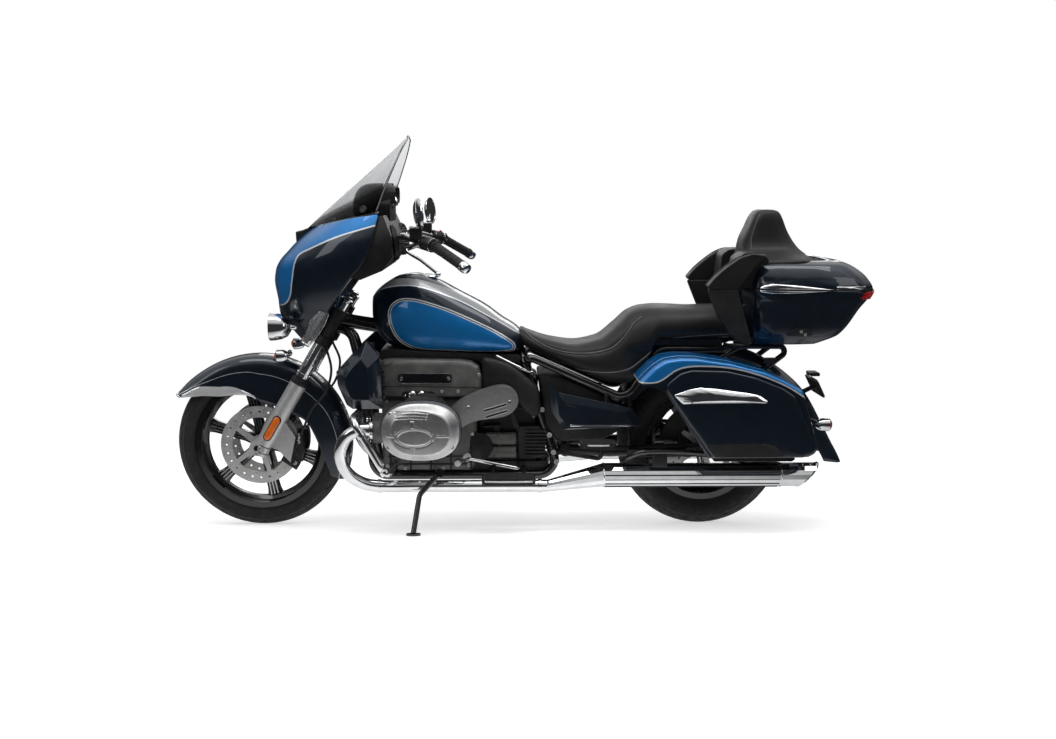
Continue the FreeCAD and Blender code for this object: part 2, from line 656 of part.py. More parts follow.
def fender(name, centre, crown, half_width, wall, stations):
    """A hollow arch section carried round the wheel; each station has its own depth."""
    loops = []
    for angle, crown_share, skirt_share in even_rows(stations, FENDER_STEPS):
        top, low = crown * crown_share, crown * skirt_share
        spring = top - min(crown * ARCH_DEPTH_SHARE, (top - low) * 0.8)

        def arch_line(inset):
            half = half_width - inset
            outline = [(half, low)] + [(half * wide, spring + (top - inset - spring) * up)
                                       for wide, up in ARCH_SHARES]
            left = [around(centre, radius, angle, -y) for y, radius in outline]
            right = [around(centre, radius, angle, y) for y, radius in reversed(outline)]
            return left + [around(centre, top - inset, angle)] + right

        outer, inner = arch_line(0), arch_line(wall)[::-1]
        loops.append(Part.Wire([spline_edge(outer), line_edge(outer[-1], inner[0]),
                                spline_edge(inner), line_edge(inner[-1], outer[0])]))
    return skin(name, loops)


def fenders():
    half_width = s.fork_side - s.fork_slider_radius - s.slack
    keep("front_fender", fender("front_fender_arch", FRONT_AXLE, s.fender_crown, half_width,
                                s.fender_wall, FRONT_FENDER_SHARES))
    rear_crown = s.tail_rail_z + s.rail_radius - s.slack - REAR_AXLE.z
    return fender("rear_fender_arch", REAR_AXLE, rear_crown, s.rear_fender_half_width,
                  s.fender_wall, REAR_FENDER_SHARES)


# Fairing, screen and lamps

FAIRING_STATION_SHARES = [
    # height, nose setback, half width
    (0, 0.30, 0.55), (0.17, 0.155, 0.67), (0.33, 0.066, 0.79), (0.46, 0.0, 0.895),
    (0.57, 0.012, 0.955), (0.67, 0.06, 0.985), (0.745, 0.13, 0.99), (0.82, 0.22, 0.97),
    (0.92, 0.36, 0.92), (1, 0.46, 0.86)]
NOSE_SHARES = [(0, 0), (0.015, 0.26), (0.085, 0.56), (0.24, 0.8), (0.5, 0.93), (0.78, 0.98), (1, 1)]
FAIRING_TRIM_SHARES = [
    (0, 0.383), (0, 0.84), (0.3, 0.872), (1, 1), (0.941, 0.804), (0.839, 0.631),
    (0.757, 0.544), (0.567, 0.322), (0.366, 0.098), (0.284, 0), (0.213, 0.047), (0.161, 0.301)]
DASH_SHARES = [(0, 0.913), (0.821, 1), (0.974, 0.694), (1, 0.362), (0.795, 0.144), (0.39, 0),
               (0.051, 0.061)]


def fairing_form(name, inset):
    """The closed form of the fairing, or of its inside when it is inset by the wall."""
    rear = s.fairing_front_x + s.fairing_length
    loops = []
    for up, setback, wide in FAIRING_STATION_SHARES:
        z = s.fairing_low_z + s.fairing_height * up
        nose = s.fairing_front_x + s.fairing_length * setback + inset
        half = s.fairing_half_width * wide - inset
        side = [(nose + (rear - nose) * along, half * out) for along, out in NOSE_SHARES]
        left = [Vector(x, -y, z) for x, y in reversed(side)]
        right = [Vector(x, y, z) for x, y in side[1:]]
        points = left + right
        loops.append(Part.Wire([spline_edge(points), line_edge(points[-1], points[0])]))
    return skin(name, loops)


def fairing(bar_forms, screen_form):
    outside, inside = fairing_form("fairing_outside", 0), fairing_form("fairing_inside", s.fairing_wall)
    wide = s.fairing_half_width + s.overrun
    trim_box = (s.fairing_trim_x, s.fairing_trim_length, s.fairing_trim_z, s.fairing_trim_height)
    trim = side_prism("fairing_trim", spread(FAIRING_TRIM_SHARES, *trim_box), -wide, wide)
    mouth_side = s.fairing_mouth_half_width
    mouth = block("fairing_mouth", Vector(0, -mouth_side, 0),
                  Vector(s.fairing_front_x + s.fairing_length, mouth_side, s.fairing_mouth_z))
    lamp_hole = rod("headlamp_hole", Vector(0, 0, s.headlamp_z),
                    Vector(s.headlamp_x + s.headlamp_depth, 0, s.headlamp_z),
                    "Sizes.headlamp_radius + Sizes.slack")
    openings = fuse("fairing_openings", inside, mouth, lamp_hole)
    keep("fairing_shell", cut("fairing_cut", common("fairing_trimmed", outside, trim), openings))

    profile = side_prism("dash_profile", spread(DASH_SHARES, s.dash_x, s.dash_length, s.dash_z,
                                                s.dash_height), -wide, wide)
    hood_half = s.hood_half_width
    hood = raw("hood_form", rounded_plate(Vector(s.hood_x, 0, s.dash_z + s.dash_height * 0.9),
                                          hood_half, s.hood_top_z, s.hood_thickness))
    panel = common("dash_in_fairing", inside, profile)
    room = fuse("dash_room", bar_forms, screen_form)
    keep("fairing_inner", cut("dash", fuse("dash_forms", panel, hood), room))


def rounded_plate(base, half_width, top_z, thickness):
    """An upright plate with an arched top, for the instrument hood."""
    low_left = base - Vector(0, half_width, 0)
    low_right = base + Vector(0, half_width, 0)
    shoulder = base.z + (top_z - base.z) * 0.45
    left = Vector(base.x, -half_width, shoulder)
    right = Vector(base.x, half_width, shoulder)
    edges = [Part.LineSegment(low_right, low_left), Part.LineSegment(low_left, left),
             Part.Arc(left, Vector(base.x, 0, top_z), right), Part.LineSegment(right, low_right)]
    face = Part.Face(Part.Wire([edge.toShape() for edge in edges]))
    return face.extrude(Vector(thickness, 0, 0))


SCREEN_SHARES = [
    # up the screen, half width, edge behind the centre, edge above the centre
    (0, 0.98, 0.74, 0.17), (0.2, 0.93, 0.56, 0.08), (0.45, 0.8, 0.32, -0.02),
    (0.7, 0.62, 0.12, -0.06), (0.88, 0.45, 0.03, -0.08), (1, 0.24, 0.0, -0.04)]
SCREEN_STEPS = 6


def screen():
    loops = []
    for up, wide, behind, above in SCREEN_SHARES:
        centre = Vector(s.screen_low_x + s.screen_run * up, 0, s.screen_low_z + s.screen_rise * up)
        sweep = Vector(s.screen_run * behind, 0, s.screen_rise * above)
        inward = Vector(sweep).normalize()
        lines = []
        for inset in (0, s.screen_thickness):
            half = s.screen_half_width * wide - inset
            shares = [n / SCREEN_STEPS for n in range(-SCREEN_STEPS, SCREEN_STEPS + 1)]
            lines.append([centre + inward * inset + sweep * out ** 2 + Y_AXIS * half * out
                          for out in shares])
        outer, inner = lines[0], lines[1][::-1]
        loops.append(Part.Wire([spline_edge(outer), line_edge(outer[-1], inner[0]),
                                spline_edge(inner), line_edge(inner[-1], outer[0])]))
    return skin("screen_sheet", loops)


def drum(name, front, depth, radius, dome_share):
    """A lamp drum: a domed shell turned round a fore and aft axis."""
    body = doc.addObject("PartDesign::Body", name)
    section = sketch_on(body, name + "_section", TOP_PLANE)
    nose = radius * dome_share
    draw_loop(section, [(nose * 0.4, 0), (0, radius * 0.55), (0, radius * 0.9),
                        (nose * 0.4, radius), (depth * 0.55, radius * 0.97),
                        (depth * 0.85, radius * 0.7), (depth, radius * 0.3), (depth, 0)])
    turn(body, section, "X_Axis")
    body.Placement.Base = front
    return body


def lamps():
    keep("headlamp", drum("headlamp_drum", Vector(s.headlamp_x, 0, s.headlamp_z),
                          s.headlamp_depth, s.headlamp_radius, 0.2))
    spot_front = Vector(s.spot_x, -s.spot_y, s.spot_z)
    spot = drum("spot_drum", spot_front, s.spot_depth, s.spot_radius, 0.2)
    stalk_start = spot_front + Vector(s.spot_depth * 0.7, 0, 0)
    stalk = rod("spot_stalk", stalk_start, fork_bracket_point(s.spot_z), "Sizes.lamp_stalk_radius")
    signal_front = Vector(s.signal_x, -s.signal_y, s.signal_z)
    signal = drum("signal_drum", signal_front, s.signal_depth, s.signal_radius, 0.5)
    arm = rod("signal_stalk", signal_front + Vector(s.signal_depth * 0.6, 0, 0),
              fork_bracket_point(s.signal_z), "Sizes.lamp_stalk_radius")
    legs = fork_tube_bar("lamp_leg_bar")
    keep("spot_lamps", pair("spot_pair", cut("spot", fuse("spot_forms", spot, stalk), legs)))
    keep("front_signals", pair("signal_pair", cut("signal", fuse("signal_forms", signal, arm), legs)))


def fork_tube_bar(name):
    return rod(name, fork_point(s.fork_tube_start), fork_point(s.fork_tube_top),
               "Sizes.fork_tube_radius")


def fork_bracket_point(z):
    along = (z - FRONT_AXLE.z) / FORK_AXIS.z
    return fork_point(along)


# Handlebar and controls

def bar_route():
    side = [Vector(s.bar_clamp_x, -s.riser_side * 1.6, s.bar_clamp_z),
            Vector(s.bar_rise_x, -s.bar_rise_y, s.bar_rise_z),
            Vector(s.grip_start_x, -s.grip_start_y, s.grip_start_z),
            Vector(s.grip_end_x, -s.grip_end_y, s.grip_end_z)]
    return side[::-1] + [Vector(p.x, -p.y, p.z) for p in side]


def handlebar(clamp_forms):
    bar = tube("bar", bar_route(), "Sizes.bar_radius", s.bar_bend)
    riser_foot = head_point(s.head_high_z) + HEAD_AXIS * (s.clamp_thickness + s.slack)
    risers = []
    for side in (-1, 1):
        across = Vector(0, side * s.riser_side, 0)
        top = Vector(s.bar_clamp_x, side * s.riser_side, s.bar_clamp_z)
        risers.append(rod(f"riser_{side + 2}", riser_foot + across, top, "Sizes.riser_radius"))
    keep("handlebar", cut("bar_on_clamps", fuse("bar_and_risers", bar, *risers), clamp_forms))
    fat = tube("bar_clearance", bar_route(), "Sizes.bar_radius + Sizes.slack", s.bar_bend)
    fat_risers = [rod(f"riser_clearance_{n}", item.Placement.Base,
                      item.Placement.multVec(Vector(0, 0, item.Height)),
                      "Sizes.riser_radius + Sizes.slack")
                  for n, item in enumerate(risers)]
    return fuse("bar_room", fat, *fat_risers)


def controls():
    start = Vector(s.grip_start_x, -s.grip_start_y, s.grip_start_z)
    end = Vector(s.grip_end_x, -s.grip_end_y, s.grip_end_z)
    along = (end - start).normalize()
    rubber = rod("grip_rubber", start + along * s.running_gap, end, "Sizes.grip_radius")
    cap = rod("grip_cap", end, end + along * s.grip_cap_length, "Sizes.grip_cap_radius")
    core = rod("grip_core", start, end, "Sizes.bar_radius")
    keep("grips", pair("grip_pair", cut("grip", fuse("grip_forms", rubber, cap), core)))

    rise = Vector(s.bar_rise_x, -s.bar_rise_y, s.bar_rise_z)
    inward = (rise - start).normalize()
    pod = rod("switch_pod", start + inward * s.running_gap, start + inward * s.pod_length,
              "Sizes.pod_radius")
    lever_pivot = start + inward * s.pod_length * 0.8 + Vector(-s.lever_lead, 0, -s.lever_drop)
    lever = tube("lever_blade", [start + inward * s.pod_length * 0.8, lever_pivot,
                                 lever_pivot + (end - start) * 0.5,
                                 end + Vector(-s.lever_lead * 1.4, 0, -s.lever_drop)],
                 "Sizes.lever_radius", s.lever_lead * 0.4)
    half = s.reservoir_size / 2
    tank_at = start + inward * s.pod_length * 0.9 + Vector(-half, 0, half * 1.5)
    reservoir = block("reservoir", tank_at - Vector(half, half, half), tank_at + Vector(half, half, half))
    room = tube("controls_bar_room", bar_route()[:5], "Sizes.bar_radius", s.bar_bend)
    keep("hand_controls", pair("control_pair", cut(
        "control", fuse("control_forms", pod, lever, reservoir), room)))

    centre = Vector(s.mirror_x, -s.mirror_y, s.mirror_z)
    facing = Vector(1, 0.32, 0.1).normalize()
    glass = rod("mirror_head", centre - facing * s.mirror_thickness, centre, "Sizes.mirror_radius")
    foot = tank_at + Vector(half * 0.4, 0, half + s.slack)
    stem = tube("mirror_stem", [foot, Vector(foot.x, foot.y - half, centre.z - s.mirror_radius * 0.5),
                                centre - facing * s.mirror_thickness * 0.5],
                "Sizes.mirror_stem_radius", s.mirror_radius * 0.4)
    keep("mirrors", pair("mirror_pair", cut("mirror", fuse("mirror_forms", glass, stem), reservoir)))


# Frame

def frame_routes():
    head = head_point((s.head_low_z + s.head_high_z) / 2)
    spine = [head, Vector(s.backbone_mid_x, 0, s.backbone_mid_z),
             Vector(s.backbone_rear_x, 0, s.backbone_rear_z)]
    side = -s.cradle_side
    down = [head_point(s.head_low_z * 1.03) + Vector(0, -s.down_top_y * 0.5, 0),
            Vector(s.down_top_x, -s.down_top_y, s.down_top_z),
            Vector(s.down_mid_x, -s.down_mid_y, s.down_mid_z),
            Vector(s.cradle_front_x, side, s.cradle_z), Vector(s.cradle_rear_x, side, s.cradle_z),
            Vector(s.rear_down_low_x, side, s.rear_down_low_z),
            Vector(s.rear_down_top_x, side, s.rear_down_top_z),
            Vector(s.backbone_rear_x, -s.backbone_radius * 0.5, s.backbone_rear_z)]
    return spine, down


def rail_route():
    return [Vector(s.rear_down_top_x, -s.cradle_side, s.rear_down_top_z),
            Vector(s.rail_front_x, -s.rail_side, s.rail_front_z),
            Vector(s.rail_low_x, -s.rail_side, s.rail_low_z),
            Vector(s.tail_rail_x * 0.86, -s.tail_rail_side, s.tail_rail_z),
            Vector(s.tail_rail_x, -s.tail_rail_side, s.tail_rail_z)]


def frame():
    spine_route, down_route = frame_routes()
    low, high = head_point(s.head_low_z), head_point(s.head_high_z)
    head = rod("head_tube", low, high, "Sizes.head_tube_radius")
    bore = rod("head_bore", low - HEAD_AXIS * s.overrun, high + HEAD_AXIS * s.overrun,
               "Sizes.stem_radius + Sizes.slack")
    spine = tube("backbone", spine_route, "Sizes.backbone_radius", s.frame_bend * 3)
    down = tube("cradle_left", down_route, "Sizes.cradle_radius", s.frame_bend)
    rail = tube("rail_left", rail_route(), "Sizes.rail_radius", s.frame_bend)
    cross = rod("cradle_cross", Vector(s.cradle_rear_x * 0.98, -s.cradle_side, s.cradle_z),
                Vector(s.cradle_rear_x * 0.98, s.cradle_side, s.cradle_z), "Sizes.cradle_radius")
    pivot = rod("swing_pivot_tube", Vector(s.swing_pivot_x, -s.cradle_side, s.swing_z),
                Vector(s.swing_pivot_x, s.cradle_side, s.swing_z), "Sizes.swing_radius")
    forms = fuse("frame_forms", head, spine, down, other_side("cradle_right", down), rail,
                 other_side("rail_right", rail), cross, pivot)
    return cut("frame_bored", forms, bore)


# Engine

def engine():
    low = Vector(s.crank_front_x, -s.crank_half_width, s.crank_low_z)
    high = Vector(s.crank_rear_x, s.crank_half_width, s.crank_high_z)
    case = Part.makeBox(*(high - low), low)
    corner = softened("crankcase", case, s.crank_round, lambda edge: True)
    keep("engine_block", corner)

    axis = Vector(s.cylinder_x, 0, s.cylinder_z)
    start, end = Vector(0, -s.crank_half_width, 0), Vector(0, -s.barrel_outer_y, 0)
    barrel = rod("barrel_core", axis + start, axis + end, "Sizes.barrel_radius")
    fins = []
    step = (end - start) / (s.fin_count + 1)
    for n in range(1, int(s.fin_count) + 1):
        at = axis + start + step * n
        fins.append(rod(f"fin_{n}", at, at + Vector(0, -s.fin_thickness, 0),
                        "Sizes.barrel_radius + Sizes.fin_overhang"))
    head = oval_prism("head_form", s.head_half_length, s.head_half_height, -s.barrel_outer_y,
                      -s.head_outer_y)
    reach = s.head_half_length + s.head_fin_reach
    half = s.head_half_height * 0.55
    fin_step = (s.head_outer_y - s.barrel_outer_y) / (s.fin_count + 1)
    for n in range(1, int(s.fin_count) + 1):
        y = -s.barrel_outer_y - fin_step * n
        fins.append(block(f"head_fin_{n}", Vector(s.cylinder_x - reach, y - s.fin_thickness, axis.z - half),
                          Vector(s.cylinder_x, y, axis.z + half)))
    keep("cylinders", pair("cylinder_pair", fuse("cylinder", barrel, head, *fins)))

    lid = oval_prism("cover_form", s.cover_half_length, s.cover_half_height,
                     -s.head_outer_y - s.slack, -s.cover_outer_y)
    rounded = softened("cover_rounded", lid.Shape, s.cover_round,
                       lambda edge: abs(edge.CenterOfMass.y + s.cover_outer_y) < s.slack)
    keep("cylinder_covers", pair("cover_pair", rounded))


def oval_prism(name, half_length, half_height, y_from, y_to):
    """A rounded oval, nearly a rectangle with soft corners, across the bike."""
    points = []
    for n in range(OVAL_STEPS):
        angle = 2 * math.pi * n / OVAL_STEPS
        wide, up = math.cos(angle), math.sin(angle)
        points.append(Vector(
            s.cylinder_x + half_length * math.copysign(abs(wide) ** OVAL_POWER, wide), y_from,
            s.cylinder_z + half_height * math.copysign(abs(up) ** OVAL_POWER, up)))
    return raw(name, Part.Face(smooth_loop(points)).extrude(Vector(0, y_to - y_from, 0)))


OVAL_STEPS = 24
OVAL_POWER = 0.82

TOP_COVER_SHARES = [(0, 0), (0, 0.86), (0.05, 0.97), (0.14, 1), (0.78, 0.985), (0.9, 0.93),
                    (0.97, 0.8), (1, 0.5), (1, 0)]


def cylinder_room(name):
    """The space that the finned cylinders take."""
    side = Vector(s.cylinder_x, s.barrel_outer_y, s.cylinder_z)
    return rod(name, side - Y_AXIS * s.barrel_outer_y * 2, side,
               "Sizes.barrel_radius + Sizes.fin_overhang + Sizes.slack")


def engine_top():
    z = s.crank_high_z + s.slack
    box = (s.top_cover_front_x, s.top_cover_rear_x - s.top_cover_front_x, z,
           s.top_cover_high_z - z)
    form = side_prism("top_cover_form", spread(TOP_COVER_SHARES, *box),
                      -s.top_cover_half_width, s.top_cover_half_width)
    outer = softened("top_cover", form.Shape, s.crank_round * 0.6,
                     lambda edge: abs(abs(edge.CenterOfMass.y) - s.top_cover_half_width) < s.slack
                     and edge.CenterOfMass.z > z + s.slack)
    keep("engine_top_cover", cut("top_cover_notched", outer, cylinder_room("top_cover_room")))

    low = Vector(s.crank_rear_x + s.slack, -s.gearbox_half_width, s.crank_low_z)
    high = Vector(s.gearbox_rear_x, s.gearbox_half_width, s.gearbox_high_z)
    box_form = softened("gearbox_form", Part.makeBox(*(high - low), low), s.crank_round * 0.5,
                        lambda edge: True)
    wide = s.top_cover_half_width
    under = block("gearbox_top_room", Vector(s.crank_rear_x - s.overrun, -wide, s.crank_high_z),
                  Vector(s.top_cover_rear_x + s.slack, wide, s.gearbox_high_z + s.overrun))
    keep("gearbox", cut("gearbox_cut", box_form, under))


INTAKE_SHARES = [(0, 0.337), (0.158, 0.62), (0.4, 0.84), (0.737, 1), (0.93, 0.92), (1, 0.7),
                 (0.93, 0.47), (0.719, 0.33), (0.351, 0.225), (0.1, 0.02)]


def intakes():
    outline = spread(INTAKE_SHARES, s.intake_x, s.intake_length, s.intake_z, s.intake_height)
    form = side_prism("intake_form", outline, -s.intake_inner_y, -s.intake_outer_y, smooth=True)
    keep("intake_covers", pair("intake_pair", cut("intake_cut", form, cylinder_room("intake_room"))))


# Exhaust, guards and shields

def exhaust():
    side, low_side = -s.header_side, -s.header_low_side
    port_x = s.cylinder_x - s.head_half_length - s.head_fin_reach - s.slack
    route = [Vector(port_x, side, s.header_port_z),
             Vector(s.header_front_x, side, s.header_port_z),
             Vector(s.header_front_x, (side + low_side) / 2, (s.header_port_z + s.header_low_z) / 2.2),
             Vector(s.header_low_x, low_side, s.header_low_z),
             Vector(s.header_rear_x, low_side, s.header_low_z)]
    pipe = tube("header", route, "Sizes.header_radius", s.header_bend)
    keep("exhaust_headers", pair("header_pair", pipe))

    loops = []
    for x, grow in ((s.header_rear_x + s.slack, 0), (s.muffler_full_x, 1), (s.muffler_end_x, 1)):
        half_y = s.header_radius + (s.muffler_half_width - s.header_radius) * grow
        half_z = s.header_radius + (s.muffler_half_height - s.header_radius) * grow
        z = s.header_low_z + (s.muffler_z - s.header_low_z) * grow
        loops.append(oval_loop(x, low_side, z, half_y, half_z))
    front = skin("muffler_cone", loops[:2], ruled=True)
    barrel = skin("muffler_barrel", loops[1:], ruled=True)
    bottom, top = s.muffler_z - s.muffler_half_height, s.muffler_z + s.muffler_half_height
    low, high = s.muffler_end_x - s.muffler_slash, s.muffler_end_x
    wedge = side_prism("muffler_slash_form", [
        (low, bottom - s.overrun), (low, bottom), (high, top), (high, top + s.overrun),
        (high + s.muffler_slash, top + s.overrun), (high + s.muffler_slash, bottom - s.overrun)],
        low_side - s.muffler_half_width - s.overrun, low_side + s.muffler_half_width + s.overrun)
    keep("mufflers", pair("muffler_pair", cut("muffler", fuse("muffler_forms", front, barrel), wedge)))


def oval_loop(x, y, z, half_y, half_z):
    points = []
    for n in range(MUFFLER_STEPS):
        angle = 2 * math.pi * (n + 0.5) / MUFFLER_STEPS
        points.append(Vector(x, y + half_y * math.cos(angle), z + half_z * math.sin(angle)))
    return straight_loop(points)


MUFFLER_STEPS = 16


def guards(frame_room):
    side = -s.guard_side
    share = (s.down_mid_z - s.guard_high_z) / (s.down_mid_z - s.cradle_z)
    tube_x = s.down_mid_x + (s.cradle_front_x - s.down_mid_x) * share
    tube_y = s.down_mid_y + (s.cradle_side - s.down_mid_y) * share
    route = [Vector(s.guard_low_x + s.overrun, -s.crank_half_width - s.slack, s.guard_low_z),
             Vector(s.guard_low_x + s.overrun, side * 0.6, s.guard_low_z),
             Vector(s.guard_low_x, side, s.guard_low_z),
             Vector(s.guard_high_x, side, s.guard_high_z), Vector(tube_x, -tube_y, s.guard_high_z)]
    bar = tube("guard", route, "Sizes.guard_radius", s.guard_bend)
    keep("crash_bars", pair("guard_pair", cut("guard_cut", bar, frame_room)))


SHIELD_SHARES = [(0.667, 1), (0.298, 0.777), (0, 0.553), (0.03, 0.354), (0.22, 0.06), (0.345, 0),
                 (1, 0), (0.95, 0.777)]


def shields():
    low_z = s.guard_high_z + s.guard_radius + s.slack
    outline = spread(SHIELD_SHARES, s.shield_x, s.shield_length, low_z, s.shield_top_z - low_z)
    form = side_prism("shield_form", outline, -s.shield_inner_y, -s.shield_outer_y)
    keep("leg_shields", pair("shield_pair", form))


# Tank and seat

BODY_STEPS = 16
HALF_SECTION_SHARES = [(0, 0), (0.45, 0), (0.78, 0.03), (0.95, 0.16), (1, 0.36), (0.96, 0.58),
                (0.83, 0.79), (0.6, 0.93), (0.3, 0.99), (0, 1)]
TANK_SHARES = [
    (0, 0.26, 0.42, 0.7), (0.03, 0.419, 0.258, 0.78), (0.102, 0.581, 0.105, 0.89),
    (0.191, 0.733, 0.054, 0.975), (0.298, 0.86, 0.031, 1), (0.44, 0.965, 0.02, 0.919),
    (0.601, 1, 0.014, 0.759), (0.761, 0.959, 0.007, 0.597), (0.886, 0.843, 0, 0.427),
    (0.966, 0.686, 0, 0.332), (1, 0.512, 0.02, 0.278)]
SEAT_SHARES = [
    (0, 0.429, 0.493, 0.699), (0.055, 0.593, 0.418, 0.647), (0.156, 0.769, 0.308, 0.572),
    (0.257, 0.907, 0.195, 0.534), (0.37, 0.978, 0.055, 0.596), (0.458, 1, 0, 0.777),
    (0.521, 1, 0, 0.925), (0.584, 0.989, 0.212, 0.986), (0.66, 0.978, 0.582, 1),
    (0.811, 0.923, 0.589, 1), (1, 0.824, 0.596, 0.993)]


def body_form(name, stations, x, length, half_width, z, height, section):
    """A form along the bike: every station is the same half section at its own size."""
    loops = []
    for along, wide, low, high in even_rows(stations, BODY_STEPS):
        bottom, top = z + height * low, z + height * high
        half = half_width * wide
        right = [Vector(x + length * along, half * out, bottom + (top - bottom) * up)
                 for out, up in section]
        left = [Vector(p.x, -p.y, p.z) for p in right[1:-1]]
        loops.append(smooth_loop(right + left[::-1]))
    return skin(name, loops)


def tank(frame_room):
    form = body_form("tank_form", TANK_SHARES, s.tank_front_x, s.tank_length, s.tank_half_width,
                     s.tank_low_z, s.tank_height, HALF_SECTION_SHARES)
    keep("fuel_tank", cut("tank", form, frame_room))


def seat(frame_room, *case_forms):
    start = s.tank_front_x + s.tank_length + s.seam
    form = body_form("seat_form", SEAT_SHARES, start, s.seat_length, s.seat_half_width,
                     s.seat_low_z, s.seat_height, HALF_SECTION_SHARES)
    wide = s.tail_rail_side + s.slack
    wrap = block("seat_wrap", Vector(s.seat_wrap_x, -wide, 0),
                 Vector(start + s.seat_length + s.overrun, wide, s.tail_cover_high_z + s.slack))
    keep("seat", cut("seat_cut", form, fuse("seat_room", wrap, frame_room, *case_forms)))


# Running gear at the rear

def rear_gear():
    front_x = s.swing_pivot_x + s.swing_radius * 2 + s.slack
    root = s.swing_root_side + s.swing_arm_radius
    cross = rod("swing_cross", Vector(front_x, -root, s.swing_z), Vector(front_x, root, s.swing_z),
                "Sizes.swing_radius")
    route = [Vector(front_x, -s.swing_root_side, s.swing_z),
             Vector(s.swing_bend_x, -s.swing_side, s.swing_z),
             Vector(s.wheelbase + s.swing_arm_radius, -s.swing_side, REAR_AXLE.z)]
    arm = tube("swing_arm_left", route, "Sizes.swing_arm_radius", s.frame_bend)
    axle_end = Vector(0, s.swing_side + s.swing_arm_radius, 0)
    axle = rod("rear_axle_bar", REAR_AXLE - axle_end, REAR_AXLE + axle_end, "Sizes.axle_radius")
    arms = fuse("swingarm_forms", cross, arm, other_side("swing_arm_right", arm), axle)
    keep("swingarm", arms)

    drum_form = rod("drive_drum", REAR_AXLE + Vector(0, s.drive_inner_y, 0),
                    REAR_AXLE + Vector(0, s.drive_outer_y, 0), "Sizes.drive_radius")
    neck = rod("drive_neck", REAR_AXLE + Vector(0, s.rear_hub_half_width + s.slack, 0),
               REAR_AXLE + Vector(0, s.drive_inner_y, 0), "Sizes.drive_radius * 0.5")
    keep("final_drive", cut("drive_cut", fuse("drive_forms", drum_form, neck), arms))

    body = ring_block("rear_caliper_form", REAR_AXLE, s.rear_caliper_low, s.rear_caliper_high,
                      -s.rear_caliper_inner_y, -s.swing_side + s.swing_arm_radius)
    half_slot = s.disc_thickness / 2 + s.running_gap
    slot = rod("rear_caliper_slot", REAR_AXLE - Vector(0, REAR_DISC_SIDE - half_slot, 0),
               REAR_AXLE - Vector(0, REAR_DISC_SIDE + half_slot, 0),
               "Sizes.disc_radius + Sizes.running_gap")
    keep("rear_caliper", cut("rear_caliper_cut", body, slot))


def boards(frame_room):
    low = Vector(s.board_x, -s.board_outer_y, s.board_z)
    size = Vector(s.board_length, s.board_outer_y - s.board_inner_y, s.board_thickness)
    board = softened("board_form", Part.makeBox(*size, low), s.board_thickness * 1.5,
                     lambda edge: abs(edge.CenterOfMass.z - s.board_z - s.board_thickness / 2)
                     < s.slack)
    arms = []
    arm_z = s.cradle_z + s.cradle_radius + s.bracket_radius + s.slack
    for share in (0.2, 0.8):
        x = s.board_x + s.board_length * share
        arms.append(rod(f"board_arm_{int(share * 10)}",
                        Vector(x, -s.cradle_side, arm_z),
                        Vector(x, -s.board_inner_y - s.overrun, arm_z), "Sizes.bracket_radius"))
    pillion_low = Vector(s.pillion_board_x, -s.pillion_board_outer_y, s.pillion_board_z)
    pillion_size = Vector(s.pillion_board_length, s.pillion_board_outer_y - s.pillion_board_inner_y,
                          s.board_thickness)
    pillion = softened("pillion_form", Part.makeBox(*pillion_size, pillion_low),
                       s.board_thickness * 1.5,
                       lambda edge: abs(edge.CenterOfMass.z - s.pillion_board_z
                                        - s.board_thickness / 2) < s.slack)
    arm_start = Vector(s.swing_pivot_x, -s.cradle_side, s.swing_z)
    board_middle = Vector(s.pillion_board_x + s.pillion_board_length * 0.6,
                          -(s.pillion_board_inner_y + s.pillion_board_outer_y) / 2,
                          s.pillion_board_z + s.slack)
    arm = tube("pillion_arm", [arm_start, Vector(board_middle.x, board_middle.y, s.swing_z),
                               board_middle], "Sizes.bracket_radius", s.overrun)
    keep("footboards", pair("board_pair", fuse("board", board, *arms)))
    forms = fuse("pillion_board_forms", pillion, arm)
    keep("pillion_boards", pair("pillion_pair", cut("pillion_board", forms, frame_room)))


def pedals():
    z = s.pedal_z
    inner = -s.gearbox_half_width - s.slack
    route = [Vector(s.pedal_x, inner, z), Vector(s.pedal_x, -s.pedal_side, z),
             Vector(s.pedal_toe_x, -s.pedal_side, z + s.pedal_rise),
             Vector(s.pedal_toe_x - s.pedal_rise, -s.pedal_toe_y, z + s.pedal_rise)]
    lever = tube("pedal_lever", route, "Sizes.pedal_radius", s.pedal_rise * 0.4)
    pad_end = route[-1]
    rubber = rod("pedal_pad", pad_end + Y_AXIS * s.pedal_rise, pad_end, "Sizes.pedal_radius * 2")
    keep("foot_controls", pair("pedal_pair", fuse("pedal", lever, rubber)))


# Luggage

CASE_SHARES = [
    (0, 0.757), (0.083, 0.91), (0.152, 0.981), (0.32, 1), (0.503, 0.954), (0.698, 0.864),
    (0.808, 0.779), (0.905, 0.681), (1, 0.101), (0.953, 0.011), (0.392, 0), (0.142, 0.687)]
CASE_CROWN_SHARES = [(0, 1), (0.636, 1), (0.87, 0.975), (0.96, 0.94), (1, 0.87)]


def case_form(name, inset):
    """A side case's closed form, crowned on its outer side."""
    depth = s.case_outer_y - s.case_inner_y
    loops = []
    for out, scale in CASE_CROWN_SHARES:
        y = -s.case_inner_y - depth * out
        y += {0: -inset, 1: inset}.get(out, 0)
        length, height = s.case_length * scale - 2 * inset, s.case_height * scale - 2 * inset
        x = s.case_x + (s.case_length - length) / 2
        z = s.case_z + (s.case_height - height) / 2
        loops.append(straight_loop([Vector(px, y, pz)
                                    for px, pz in spread(CASE_SHARES, x, length, z, height)]))
    return skin(name, loops, ruled=True)


